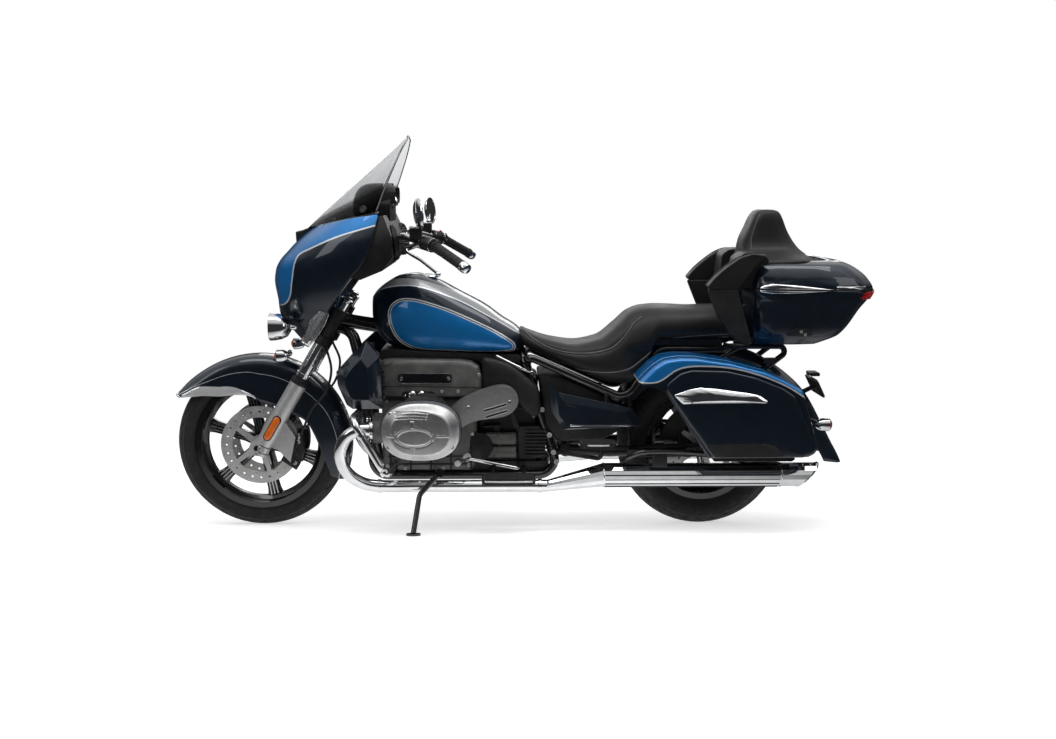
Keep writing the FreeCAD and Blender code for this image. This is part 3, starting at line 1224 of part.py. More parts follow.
def cases():
    outer, inner = case_form("case_outside", 0), case_form("case_inside", s.case_wall)
    walls = cut("case_walls", outer, inner)
    far = s.case_outer_y + s.overrun
    rear = s.case_x + s.case_length + s.overrun
    inner_room = block("case_inner_half", Vector(0, -s.case_split_y, 0),
                       Vector(rear, 0, s.case_z + s.case_height + s.overrun))
    outer_room = block("case_outer_half", Vector(0, -far, 0),
                       Vector(rear, -s.case_split_y - s.seam, s.case_z + s.case_height + s.overrun))
    shell, lid = common("case_shell", walls, inner_room), common("case_lid", walls, outer_room)
    keep("left_case", shell)
    keep("left_case_lid", lid)
    keep("right_case", other_side("case_shell_twin", shell))
    keep("right_case_lid", other_side("case_lid_twin", lid))
    return outer, other_side("case_outside_twin", outer)


def case_rails(frame_room):
    middle = -(s.case_inner_y + s.case_rail_width * 0.6)
    half = s.case_rail_width / 2
    low = Vector(s.rail_low_x, middle - half, s.case_rail_z)
    high = Vector(s.case_x + s.case_length * 0.86, middle + half, s.case_z - s.slack)
    bar = block("case_rail_bar", low, high)
    post_x = s.rail_low_x + s.rail_radius
    post = rod("case_rail_post", Vector(post_x, -s.rail_side - s.bracket_radius / 2, s.case_rail_z),
               Vector(post_x, -s.rail_side, s.rail_low_z + s.rail_radius), "Sizes.bracket_radius")
    return cut("case_rail", fuse("case_rail_forms", bar, post), frame_room)


TRUNK_STATION_SHARES = [
    # height, front, rear, half width
    (0, 0.06, 0.59, 0.72), (0.12, 0.035, 0.76, 0.84), (0.42, 0.01, 0.9, 0.94),
    (0.672, 0, 1, 1), (0.8, 0.015, 0.955, 0.975), (0.95, 0.05, 0.83, 0.88), (1, 0.11, 0.74, 0.72)]
TRUNK_PLAN_SHARES = [(0, 0.62), (0.06, 0.9), (0.2, 1), (0.62, 0.98), (0.9, 0.78), (0.985, 0.45), (1, 0)]


def trunk_form(name, inset):
    loops = []
    height = s.trunk_high_z - s.trunk_low_z
    for up, front, rear, wide in TRUNK_STATION_SHARES:
        z = s.trunk_low_z + height * up + {0: inset, 1: -inset}.get(up, 0)
        x_front = s.trunk_x + s.trunk_length * front + inset
        x_rear = s.trunk_x + s.trunk_length * rear - inset
        half = s.trunk_half_width * wide - inset
        right = [Vector(x_front + (x_rear - x_front) * along, half * out, z)
                 for along, out in TRUNK_PLAN_SHARES]
        left = [Vector(p.x, -p.y, z) for p in right[:-1]]
        loops.append(straight_loop(right + left[::-1]))
    return skin(name, loops, ruled=True)


LOW_ARM_SHARES = [(0, 1), (0.25, 0.5), (0.52, 0.16), (1, 0), (1.4, 0), (1.4, 1)]
HIGH_ARM_SHARES = [(0, 0), (-0.04, 0.16), (0.1, 0.4), (0.72, 0.95), (1.1, 1), (1.3, 0)]
TOWER_SHARES = [(0, 0), (-0.02, 0.2), (0.06, 0.62), (0.24, 0.96), (0.34, 1), (0.48, 0.98),
                (0.68, 0.57), (1, 0.33), (1, 0)]


def trunk():
    outer, inner = trunk_form("trunk_outside", 0), trunk_form("trunk_inside", s.trunk_wall)
    far = s.trunk_half_width + s.overrun
    front, rear = s.trunk_x - s.trunk_arm_reach - s.overrun, s.trunk_x + s.trunk_length + s.overrun
    below = block("trunk_below", Vector(front, -far, 0), Vector(rear, far, s.trunk_seam_z))
    above = block("trunk_above", Vector(front, -far, s.trunk_seam_z + s.seam),
                  Vector(rear, far, s.tower_high_z + s.overrun))
    arm_x, arm_length = s.trunk_x - s.trunk_arm_reach, s.trunk_arm_reach
    arm_low = s.trunk_low_z + (s.trunk_seam_z - s.trunk_low_z) * 0.1
    arm_in, arm_out = s.trunk_half_width - s.trunk_arm_thickness, s.trunk_half_width * 0.985
    low_arm = side_prism("trunk_low_arm", spread(LOW_ARM_SHARES, arm_x, arm_length, arm_low,
                                                 s.trunk_seam_z - arm_low), -arm_in, -arm_out)
    arms = [low_arm, other_side("trunk_low_arm_twin", low_arm)]
    walls = cut("trunk_walls", fuse("trunk_with_arms", outer, *arms), inner)
    keep("topcase", common("trunk_base", walls, below))
    lid_walls = cut("trunk_lid_walls", outer, inner)
    keep("topcase_lid", common("trunk_lid", lid_walls, above))
    arm_z = s.trunk_seam_z + s.seam
    high_arm = side_prism("trunk_high_arm", spread(HIGH_ARM_SHARES, arm_x, arm_length, arm_z,
                                                   s.trunk_high_z - arm_z), -arm_in, -arm_out)
    tower = side_prism("tower_form", spread(TOWER_SHARES, s.trunk_x - s.trunk_arm_thickness,
                                            s.trunk_length * 0.72, arm_z, s.tower_high_z - arm_z),
                       -s.tower_half_width, s.tower_half_width)
    wing = side_prism("tower_wing", spread(HIGH_ARM_SHARES, s.trunk_x - s.trunk_arm_thickness,
                                           s.trunk_arm_thickness * 1.2, arm_z,
                                           s.trunk_high_z - arm_z), -arm_out, arm_out)
    pads = fuse("backrest_forms", high_arm, other_side("trunk_high_arm_twin", high_arm), tower, wing)
    keep("topcase_backrest", cut("backrest", pads, outer))


def rack():
    z = s.trunk_low_z - s.rack_radius - s.slack
    side = -s.tail_rail_side
    route = [Vector(s.tail_rail_x + s.slack, side, z), Vector(s.rack_rear_x, side, z),
             Vector(s.rack_foot_x, side, s.rack_foot_z)]
    strut = tube("rack_strut", route, "Sizes.rack_radius", s.overrun)
    foot = rod("rack_foot", route[-1], route[-1] + Vector(0, s.tail_rail_side
                                                          - s.rear_fender_half_width, 0),
               "Sizes.rack_radius")
    cross = rod("rack_cross", Vector(s.rack_rear_x - s.frame_bend, side, z),
                Vector(s.rack_rear_x - s.frame_bend, -side, z), "Sizes.rack_radius")
    one = fuse("rack_side", strut, foot)
    return fuse("rack_forms", one, other_side("rack_side_twin", one), cross)


# Covers, stand and rear lamps

SIDE_COVER_SHARES = [(0, 1), (0.11, 0.726), (0.879, 0.421), (1, 0.071), (0.16, 0), (0.036, 0.365)]


STAY_SHARE = 0.8


def side_covers(frame_room):
    y = -s.rail_side - s.rail_radius - s.slack
    outline = spread(SIDE_COVER_SHARES, s.side_cover_x, s.side_cover_length, s.side_cover_z,
                     s.side_cover_height)
    cover = side_prism("side_cover", outline, y, y - s.side_cover_thickness)
    top = Vector(s.rail_front_x + (s.rail_low_x - s.rail_front_x) * STAY_SHARE, -s.rail_side,
                 s.rail_front_z + (s.rail_low_z - s.rail_front_z) * STAY_SHARE)
    foot = Vector(top.x, y - s.side_cover_thickness / 2, s.side_cover_z + s.side_cover_height * 0.42)
    stay = rod("side_cover_stay", foot, top, "Sizes.bracket_radius")
    forms = fuse("side_cover_forms", cover, stay)
    keep("side_covers", pair("side_cover_pair", cut("side_cover_cut", forms, frame_room)))


def tail_plate(fender_solid):
    low_z = s.tail_rail_z + s.rail_radius + s.slack
    half = s.tail_rail_side
    plate = block("tail_plate", Vector(s.tail_plate_x, -half, low_z),
                  Vector(s.tail_plate_x + s.tail_plate_length, half, s.tail_cover_high_z))
    keep("tail_cover", cut("tail_plate_fitted", plate, fender_solid))


def floor_point(point):
    """The place on the ground straight under a point once the machine leans."""
    lean = math.radians(s.lean_angle)
    down = Vector(0, -math.sin(lean), -math.cos(lean))
    height = -point.dot(down) + lean_lift()
    return point + down * height


def stand():
    swing = Rotation(STAND_AXIS, s.stand_swing)

    def deployed(x, y, z):
        return STAND_PIVOT + swing.multVec(Vector(x, -y, z) - STAND_PIVOT)

    elbow = deployed(s.stand_elbow_x, s.stand_elbow_y, s.stand_elbow_z)
    tip = deployed(s.stand_tip_x, s.stand_tip_y, s.stand_tip_z)
    leg = tube("stand_leg", [STAND_PIVOT, elbow, tip], "Sizes.stand_radius", s.stand_bend)
    half = STAND_AXIS * (s.stand_knuckle_length / 2)
    knuckle = rod("stand_knuckle", STAND_PIVOT - half, STAND_PIVOT + half,
                  "Sizes.stand_knuckle_radius")
    ground = floor_point(tip)
    foot = rod("stand_foot", ground, tip, "Sizes.stand_foot_radius")
    keep("side_stand", fuse("stand", leg, knuckle, foot))
    bracket = [STAND_PIVOT + half + STAND_AXIS * s.slack,
               STAND_PIVOT + STAND_AXIS * (s.stand_knuckle_length * 3),
               Vector(s.stand_pivot_x - s.overrun, -s.crank_half_width - s.stand_foot_radius,
                      s.cradle_z + s.stand_radius),
               Vector(s.stand_pivot_x - s.overrun, -s.cradle_side - s.cradle_radius - s.slack,
                      s.cradle_z)]
    keep("stand_bracket", tube("stand_bracket_bar", bracket, "Sizes.stand_radius", s.overrun))


def rear_lamps(fender_solid):
    front = Vector(s.rear_lamp_x + s.rear_lamp_depth, -s.rear_lamp_y, s.rear_lamp_z)
    lamp = drum("rear_lamp_drum", Vector(0, 0, 0), s.rear_lamp_depth, s.rear_lamp_radius, 0.4)
    lamp.Placement = Placement(front, Rotation(Z_AXIS, 180))
    arm = rod("rear_lamp_arm", front - Vector(s.rear_lamp_depth * 0.6, 0, 0),
              Vector(front.x - s.rear_lamp_depth * 0.6, -s.rear_fender_half_width * 0.88,
                     s.rear_lamp_z), "Sizes.lamp_stalk_radius")
    keep("rear_lamps", pair("rear_lamp_pair", cut("rear_lamp", fuse("rear_lamp_forms", lamp, arm),
                                                  fender_solid)))


def plate_holder(fender_solid):
    centre = around(REAR_AXLE, s.plate_gap_radius, s.plate_angle)
    half_w, half_h = s.plate_width / 2, s.plate_height / 2
    panel = doc.addObject("Part::Box", "plate_panel")
    bind(panel, Length="Sizes.plate_thickness", Width="Sizes.plate_width",
         Height="Sizes.plate_height")
    tilt = Rotation(Y_AXIS, -s.plate_angle)
    panel.Placement = Placement(centre + tilt.multVec(Vector(0, -half_w, -half_h)), tilt)
    stay = rod("plate_stay", centre, around(REAR_AXLE, s.plate_gap_radius * 0.9, s.plate_angle),
               "Sizes.lamp_stalk_radius")
    room = [fender_solid]
    for side in (-1, 1):
        middle = centre + Vector(0, side * s.plate_hole_side, 0)
        out = tilt.multVec(X_AXIS) * s.overrun
        room.append(rod(f"plate_hole_{side + 2}", middle - out, middle + out,
                        "Sizes.plate_hole_radius"))
    keep("plate_bracket", cut("plate_holder", fuse("plate_forms", panel, stay),
                              fuse("plate_room", *room)))


def finish():
    """Leans every piece onto its stand, checks it and writes it."""
    lean = Rotation(X_AXIS, s.lean_angle)
    lift = lean_lift()
    stance = Placement(Vector(-s.origin_x, -s.origin_y, lift), lean)
    doc.recompute()
    for item in PIECES:
        item.Placement = stance.multiply(item.Placement)
    doc.recompute()
    for item in doc.Objects:
        if "Invalid" in item.State or "Error" in item.State:
            raise RuntimeError(f"{item.Label} did not build: {item.State}")
    os.makedirs("parts", exist_ok=True)
    for item in PIECES:
        shape = item.Shape
        if shape.isNull() or not shape.isValid() or not shape.Solids:
            raise RuntimeError(f"{item.Label} has no valid shape")
        shape.exportStep(f"parts/{item.Label}.step")


def lean_lift():
    """How far the wheels rise as their round crowns roll onto their side."""
    lean = math.radians(s.lean_angle)
    return max(s.front_crown_radius, s.rear_crown_radius) * (1 - math.cos(lean))


wheels()
clamps, fork_tube_pair = steering()
keep("steering_clamps", cut("clamps_bored", clamps, fork_tube_pair))
front_calipers()
rear_arch = fenders()
keep("rear_fender", rear_arch)
bar_room = handlebar(clamps)
controls()
screen_sheet = keep("windshield", screen())
fairing(bar_room, screen_sheet)
lamps()
main_frame = keep("main_frame", frame())
engine()
engine_top()
intakes()
exhaust()
guards(main_frame)
shields()
tank(main_frame)
seat(main_frame, *cases())
rear_gear()
boards(main_frame)
pedals()
keep("case_rails", pair("case_rail_pair", case_rails(main_frame)))
trunk()
keep("topcase_rack", rack())
side_covers(main_frame)
tail_plate(rear_arch)
stand()
rear_lamps(rear_arch)
plate_holder(rear_arch)
finish()
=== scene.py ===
"""The dressed touring motorcycle.

Every piece is drawn upright in millimetres: X to the rear from the front axle, Z up from
the ground, Y negative on its left. STANCE leans it onto its side stand and turns it into
metres.
"""

import math

import bmesh
import bpy
import numpy as np
from mathutils import Matrix, Vector


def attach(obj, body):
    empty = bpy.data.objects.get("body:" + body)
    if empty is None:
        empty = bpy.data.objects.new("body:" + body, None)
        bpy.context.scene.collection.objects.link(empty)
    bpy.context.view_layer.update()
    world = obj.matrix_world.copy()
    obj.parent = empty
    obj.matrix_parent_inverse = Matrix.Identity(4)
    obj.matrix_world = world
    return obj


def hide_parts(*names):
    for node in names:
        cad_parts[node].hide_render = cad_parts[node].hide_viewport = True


def vec(*values):
    return Vector(values)


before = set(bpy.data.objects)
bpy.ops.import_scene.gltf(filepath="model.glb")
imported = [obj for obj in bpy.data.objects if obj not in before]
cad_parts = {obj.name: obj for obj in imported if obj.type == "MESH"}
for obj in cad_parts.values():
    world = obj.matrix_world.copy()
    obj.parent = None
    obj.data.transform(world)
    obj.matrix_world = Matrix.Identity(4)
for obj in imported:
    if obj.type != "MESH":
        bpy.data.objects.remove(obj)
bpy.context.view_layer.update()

X, Y, Z = vec(1, 0, 0), vec(0, 1, 0), vec(0, 0, 1)
FRONT, REAR = vec(0, 0, 325.3), vec(1695, 0, 320.2)
TYRE_CROWN = 92
LEAN = math.radians(8)
LIFT = TYRE_CROWN * (1 - math.cos(LEAN))
STANCE = (Matrix.Translation((-0.993, 0.114, LIFT / 1000)) @ Matrix.Rotation(LEAN, 4, "X")
          @ Matrix.Scale(0.001, 4))


# Camera, light and floor

CAMERA_PLACE = vec(908.8, -4887.7, 1280.3)
PITCH, YAW, ROLL = 0.1373, 0.0239, 0.0023
SENSOR, FOCAL_PIXELS, PHOTO_PIXELS = 36, 1274.64, 1056
# name, place, aim, size and power
LAMPS = (("overhead", (0.1, -1.0, 3.7), (0, 0, 0.6), (5.0, 1.3), 64),
         ("front_left", (-3.8, -3.0, 2.5), (-0.4, 0, 0.6), (1.2, 2.4), 18),
         ("rear_left", (3.8, -3.2, 2.1), (0.6, 0, 0.5), (1.0, 2.2), 11),
         ("behind", (0.4, 4.2, 2.8), (0, 0, 0.7), (4.6, 1.2), 32))
SKY = [(0, 0.2), (0.48, 0.05), (0.56, 0.035), (0.64, 0.06), (0.72, 0.5), (0.82, 1.0), (1, 1.0)]
SKY_LEVEL, FLOOR_GLOW = 0.7, 0.58


def link(obj):
    bpy.context.collection.objects.link(obj)
    return obj


def set_camera():
    """The photograph's own viewing angle, turned with the leaning machine."""
    ahead = vec(math.cos(PITCH) * math.sin(YAW), math.cos(PITCH) * math.cos(YAW), -math.sin(PITCH))
    right = vec(math.cos(YAW), -math.sin(YAW), 0)
    up = right.cross(ahead)
    tilt_right = right * math.cos(ROLL) + up * math.sin(ROLL)
    tilt_up = up * math.cos(ROLL) - right * math.sin(ROLL)
    lean = Matrix.Rotation(LEAN, 3, "X")
    turned = Matrix((lean @ tilt_right, lean @ tilt_up, lean @ -ahead)).transposed().to_4x4()
    data = bpy.data.cameras.new("camera")
    data.sensor_width = SENSOR
    data.lens = FOCAL_PIXELS * SENSOR / PHOTO_PIXELS
    camera = link(bpy.data.objects.new("camera", data))
    camera.matrix_world = Matrix.Translation(STANCE @ CAMERA_PLACE) @ turned
    bpy.context.scene.camera = camera


def plug(tree, item, **sockets):
    """Sets a node's sockets to values or joins them to other nodes' outputs.

    i0, i1 and so on are a socket's number; any other word is its name, with _ for a space.
    """
    for name, value in sockets.items():
        numbered = name[0] == "i" and name[1:].isdigit()
        socket = item.inputs[int(name[1:]) if numbered else name.replace("_", " ")]
        if isinstance(value, bpy.types.NodeSocket):
            tree.links.new(value, socket)
        else:
            socket.default_value = value
    return item


def node(tree, kind, **sockets):
    return plug(tree, tree.nodes.new("ShaderNode" + kind), **sockets)


def maths(tree, operation, *values):
    item = node(tree, "Math", **{f"i{n}": value for n, value in enumerate(values)})
    item.operation = operation
    return item.outputs[0]


def noise(tree, place, scale, detail=2.0):
    return node(tree, "TexNoise", Vector=place, Scale=scale, Detail=detail).outputs["Fac"]


def attribute(tree, name):
    item = node(tree, "Attribute")
    item.attribute_name = name
    return item.outputs["Fac"]


def ramp(tree, value, stops):
    item = node(tree, "ValToRGB", i0=value)
    while len(item.color_ramp.elements) < len(stops):
        item.color_ramp.elements.new(0.5)
    for element, (place, colour) in zip(item.color_ramp.elements, stops):
        element.position = place
        element.color = (*colour, 1) if isinstance(colour, tuple) else (colour,) * 3 + (1,)
    return item.outputs[0]


def set_light():
    scene = bpy.context.scene
    scene.view_settings.view_transform = "Standard"
    scene.world = bpy.data.worlds.new("studio")
    scene.world.use_nodes = True
    tree = scene.world.node_tree
    tree.nodes.clear()
    place = node(tree, "TexCoord").outputs["Generated"]
    height = node(tree, "SeparateXYZ", Vector=place).outputs["Z"]
    sky = ramp(tree, maths(tree, "MULTIPLY_ADD", height, 0.5, 0.5), SKY)
    studio = node(tree, "Background", Color=sky, Strength=SKY_LEVEL)
    white = node(tree, "Background", Color=(1, 1, 1, 1), Strength=1.0)
    path = node(tree, "LightPath").outputs
    seen = maths(tree, "MAXIMUM", path["Is Camera Ray"], path["Is Transmission Ray"])
    mixed = node(tree, "MixShader", Fac=seen, i1=studio.outputs[0], i2=white.outputs[0])
    node(tree, "OutputWorld", i0=mixed.outputs[0])
    for name, spot, aim, size, power in LAMPS:
        data = bpy.data.lights.new(name, "AREA")
        data.shape = "RECTANGLE"
        data.size, data.size_y = size
        data.energy = power
        lamp = link(bpy.data.objects.new(name, data))
        lamp.visible_transmission = False
        lamp.location = spot
        lamp.rotation_euler = (Vector(aim) - Vector(spot)).to_track_quat("-Z", "Y").to_euler()


def set_floor():
    """A floor that is white to the eye and through glass, and dark in reflections."""
    mesh = bpy.data.meshes.new("floor")
    bm = bmesh.new()
    bmesh.ops.create_circle(bm, cap_ends=True, radius=60, segments=96)
    bm.to_mesh(mesh)
    bm.free()
    mat = bpy.data.materials.new("floor_white")
    mat.use_nodes = True
    tree = mat.node_tree
    tree.nodes.clear()
    place = node(tree, "TexCoord").outputs["Object"]
    tone = ramp(tree, noise(tree, place, 3.0, 3.0), [(0.3, 0.78), (0.7, 0.82)])
    soft = node(tree, "BsdfDiffuse", Color=tone)
    path = node(tree, "LightPath").outputs
    seen = maths(tree, "MAXIMUM", path["Is Camera Ray"], path["Is Glossy Ray"])
    seen = maths(tree, "MAXIMUM", seen, path["Is Transmission Ray"])
    glow = node(tree, "Emission", Color=(1, 1, 1, 1),
                Strength=maths(tree, "MULTIPLY", seen, FLOOR_GLOW))
    lit = node(tree, "AddShader", i0=soft.outputs[0], i1=glow.outputs[0])
    flat = node(tree, "Mapping", Vector=place, Scale=(0.55, 1.0, 0.0))
    away = node(tree, "VectorMath", i0=flat.outputs[0])
    away.operation = "LENGTH"
    pool = ramp(tree, maths(tree, "MULTIPLY", away.outputs["Value"], 0.25), [(0.1, 0.0), (0.28, 1.0)])
    mirrored = maths(tree, "GREATER_THAN", path["Is Glossy Ray"],
                     maths(tree, "ADD", path["Is Transmission Ray"], 0.5))
    dusk = node(tree, "Emission", Color=(0.03, 0.032, 0.036, 1), Strength=1.0)
    total = node(tree, "MixShader", Fac=maths(tree, "MULTIPLY", pool, mirrored), i1=lit.outputs[0],
                 i2=dusk.outputs[0])
    node(tree, "OutputMaterial", i0=total.outputs[0])
    mesh.materials.append(mat)
    link(bpy.data.objects.new("floor", mesh))


set_camera()
set_light()
set_floor()


# Materials

NAVY = (0.0042, 0.0125, 0.026)
SILVER_LINE = (0.72, 0.75, 0.78)
FLAKES = {"blue": ((0.002, 0.19, 0.54), 0.4), "silver": ((0.3, 0.31, 0.32), 0.15)}
SCREEN_TINT = [(0, (0.09, 0.09, 0.095)), (0.24, (0.16, 0.16, 0.165)), (0.3, (0.66, 0.67, 0.68)),
               (1, (0.85, 0.86, 0.87))]


def new_material(name):
    mat = bpy.data.materials.new(name)
    mat.use_nodes = True
    tree = mat.node_tree
    return mat, tree, tree.nodes["Principled BSDF"], node(tree, "TexCoord").outputs["Object"]


def add_bump(tree, shader, height, strength, distance):
    bump = node(tree, "Bump", Height=height, Strength=strength, Distance=distance)
    plug(tree, shader, Normal=bump.outputs[0])


def vary_roughness(tree, shader, place, low, high, scale):
    span = node(tree, "MapRange", i0=noise(tree, place, scale, 4.0), i1=0.3, i2=0.7, i3=low, i4=high)
    plug(tree, shader, Roughness=span.outputs[0])


def shade(colour, share):
    return tuple(min(1, c * share) for c in colour)


def vary_colour(tree, shader, place, colour, low, high, scale, detail=2.0, top=0.7):
    """A colour that drifts between two shares of itself."""
    stops = [(0.3, shade(colour, low)), (top, shade(colour, high))]
    plug(tree, shader, Base_Color=ramp(tree, noise(tree, place, scale, detail), stops))


def flakes(tree, place, colour, depth):
    """Metal flake in the paint: each tiny cell is a little lighter or darker."""
    cells = node(tree, "TexVoronoi", Vector=place, Scale=2600.0)
    grey = node(tree, "SeparateColor", Color=cells.outputs["Color"]).outputs[0]
    return ramp(tree, grey, [(0, shade(colour, 1 - depth)), (1, shade(colour, 1 + depth))])


def paint(name, zones=()):
    """Clear-coated metallic paint; a zone is a colour between two values of the mark."""
    mat, tree, shader, place = new_material(name)
    colour = flakes(tree, place, NAVY, 0.5)
    for low, high, tint in zones:
        mark = attribute(tree, "mark")
        inside = maths(tree, "MULTIPLY", maths(tree, "GREATER_THAN", mark, low),
                       maths(tree, "LESS_THAN", mark, high))
        fresh = flakes(tree, place, *FLAKES[tint]) if tint in FLAKES else (*SILVER_LINE, 1)
        mix = node(tree, "Mix")
        mix.data_type = "RGBA"
        colour = plug(tree, mix, i0=inside, i6=colour, i7=fresh).outputs[2]
    plug(tree, shader, Base_Color=colour, Metallic=0.45, Coat_Weight=1.0, Coat_Roughness=0.025)
    vary_roughness(tree, shader, place, 0.3, 0.42, 40.0)
    add_bump(tree, shader, noise(tree, place, 260.0), 0.04, 0.0006)
    return mat


def metal(name, colour, rough, grain=0.0, scale=900.0, smear=0.35, metallic=1.0):
    mat, tree, shader, place = new_material(name)
    vary_colour(tree, shader, place, colour, 0.86, 1, scale / 30, 5.0)
    plug(tree, shader, Metallic=metallic)
    vary_roughness(tree, shader, place, rough * (1 - smear), rough * (1 + smear), scale / 20)
    if grain:
        add_bump(tree, shader, noise(tree, place, scale, 6.0), grain, 0.0008)
    return mat


def plastic(name, colour, rough, grain=0.25, scale=1400.0, coat=0.0, sheen=0.0):
    mat, tree, shader, place = new_material(name)
    vary_colour(tree, shader, place, colour, 0.7, 1.2, 22.0, 5.0)
    vary_roughness(tree, shader, place, rough * 0.8, min(1, rough * 1.2), 60.0)
    fine = node(tree, "TexVoronoi", Vector=place, Scale=scale)
    add_bump(tree, shader, fine.outputs["Distance"], grain, 0.0005)
    plug(tree, shader, Specular_IOR_Level=0.35, Coat_Weight=coat, Coat_Roughness=0.06,
         Sheen_Weight=sheen)
    return mat


def leather(name, colour):
    """Grained seat leather: small pebbles, finer creases and worn lighter patches."""
    mat, tree, shader, place = new_material(name)
    vary_colour(tree, shader, place, colour, 0.75, 1.35, 9.0, 6.0, top=0.75)
    vary_roughness(tree, shader, place, 0.4, 0.56, 14.0)
    warp = node(tree, "TexNoise", Vector=place, Scale=170.0, Detail=3.0)
    bent = node(tree, "MixRGB", Fac=0.02, Color1=place, Color2=warp.outputs["Color"])
    pebbles = node(tree, "TexVoronoi", Vector=bent.outputs[0], Scale=620.0)
    pebbles.feature = "DISTANCE_TO_EDGE"
    grain = maths(tree, "MINIMUM", pebbles.outputs["Distance"], 0.16)
    height = maths(tree, "MULTIPLY_ADD", noise(tree, place, 90.0, 5.0), 0.18, grain)
    add_bump(tree, shader, height, 0.42, 0.0012)
    plug(tree, shader, Specular_IOR_Level=0.3, Sheen_Weight=0.05, Coat_Weight=0.06,
         Coat_Roughness=0.35)
    return mat


def screen_sheet(name):
    """The screen's clear sheet, whose tint fades upward with the mark."""
    mat, tree, shader, _ = new_material(name)
    plug(tree, shader, Base_Color=ramp(tree, attribute(tree, "tint"), SCREEN_TINT),
         Transmission_Weight=1.0, IOR=1.12, Roughness=0.0, Coat_Roughness=0.02)
    return mat


def clear(name, colour):
    mat, tree, shader, place = new_material(name)
    vary_colour(tree, shader, place, colour, 0.93, 1, 60.0)
    plug(tree, shader, Transmission_Weight=1.0, IOR=1.49, Roughness=0.0, Coat_Weight=0.5,
         Coat_Roughness=0.02)
    return mat


def glow(name, colour, strength):
    mat, tree, shader, place = new_material(name)
    vary_colour(tree, shader, place, colour, 0.8, 1, 300.0)
    plug(tree, shader, Emission_Color=(*colour, 1), Emission_Strength=strength, Roughness=0.3)
    return mat


PAINT = paint("paint_navy")
PAINT_TANK = paint("paint_tank", [(-60, -11.5, "blue"), (-11.5, -8, "line"), (-4.5, 0, "line"),
                                  (37, 60, "silver"), (33, 37, "line")])
PAINT_FAIRING = paint("paint_fairing", [(4, 70, "blue"), (-1.5, 4, "line")])
PAINT_CASE = paint("paint_case", [(4, 70, "blue"), (-1.5, 4, "line")])
PAINT_FENDER = paint("paint_fender", [(-0.9, 0.9, "line")])
CHROME = metal("chrome", (0.86, 0.87, 0.88), 0.05, smear=0.5)
SATIN = metal("satin_silver", (0.62, 0.62, 0.62), 0.42, 0.06, 2000.0, smear=0.15, metallic=0.6)
CAST = metal("cast_silver", (0.42, 0.42, 0.415), 0.38, 0.3, 900.0)
STEEL = metal("brushed_steel", (0.62, 0.62, 0.61), 0.34, 0.1, 700.0, metallic=0.6)
ALLOY = metal("machined_alloy", (0.72, 0.72, 0.72), 0.2, 0.05, 900.0)
ALLOY_COVER = metal("alloy_cover", (0.6, 0.6, 0.605), 0.42, 0.04, 2200.0, smear=0.12)
MIRROR = metal("mirror_glass", (0.9, 0.91, 0.92), 0.02, smear=0.2)
# The fender's chrome side trim, half metal and half a bright matt white: the white is a painted
# reflection that stands in for the shine of chrome
TRIM_PAINTED_SHINE = metal("chrome_trim_painted_shine", (0.86, 0.87, 0.88), 0.16, 0.02, 900.0, metallic=0.5)
ENGINE_GREY = plastic("engine_grey", (0.135, 0.132, 0.127), 0.4, 0.3, 2200.0, coat=0.35)
ENGINE_DARK = plastic("engine_dark", (0.03, 0.03, 0.03), 0.45, 0.35, 1500.0, coat=0.1)
BLACK_GLOSS = plastic("black_enamel", (0.006, 0.006, 0.007), 0.22, 0.02, 500.0, coat=1.0)
BLACK_CAST = plastic("black_cast", (0.012, 0.012, 0.013), 0.4, 0.35, 1500.0, coat=0.15)
BLACK_PLASTIC = plastic("black_plastic", (0.016, 0.016, 0.017), 0.5, 0.4, 1800.0)
GREY_PLASTIC = plastic("grey_plastic", (0.11, 0.11, 0.115), 0.42, 0.3, 1800.0)
RUBBER = plastic("tyre_rubber", (0.017, 0.017, 0.017), 0.72, 0.35, 900.0, sheen=0.15)
GRIP_RUBBER = plastic("grip_rubber", (0.02, 0.02, 0.02), 0.62, 0.3, 1600.0)
LEATHER = leather("seat_leather", (0.01, 0.0098, 0.0095))
PIPING = plastic("seam_piping", (0.12, 0.12, 0.12), 0.45, 0.2, 2200.0)
SCREEN = screen_sheet("screen_glass")
SCREEN_EDGE = plastic("screen_edge", (0.14, 0.145, 0.15), 0.16, 0.02, 900.0, coat=1.0)
GLASS = clear("lamp_glass", (0.96, 0.97, 0.98))
AMBER = plastic("amber_reflector", (0.8, 0.16, 0.01), 0.18, 0.5, 700.0, coat=0.9)
RED = plastic("red_reflector", (0.5, 0.008, 0.008), 0.18, 0.5, 700.0, coat=0.9)
DIAL = glow("dial_face", (0.75, 0.76, 0.78), 0.15)
DISPLAY = plastic("display_glass", (0.008, 0.01, 0.016), 0.08, 0.0, 300.0, coat=1.0)
PLATE_GREY = plastic("plate_blank", (0.5, 0.5, 0.5), 0.4, 0.15, 1200.0)


# Drawing helpers, all in millimetres on the upright machine

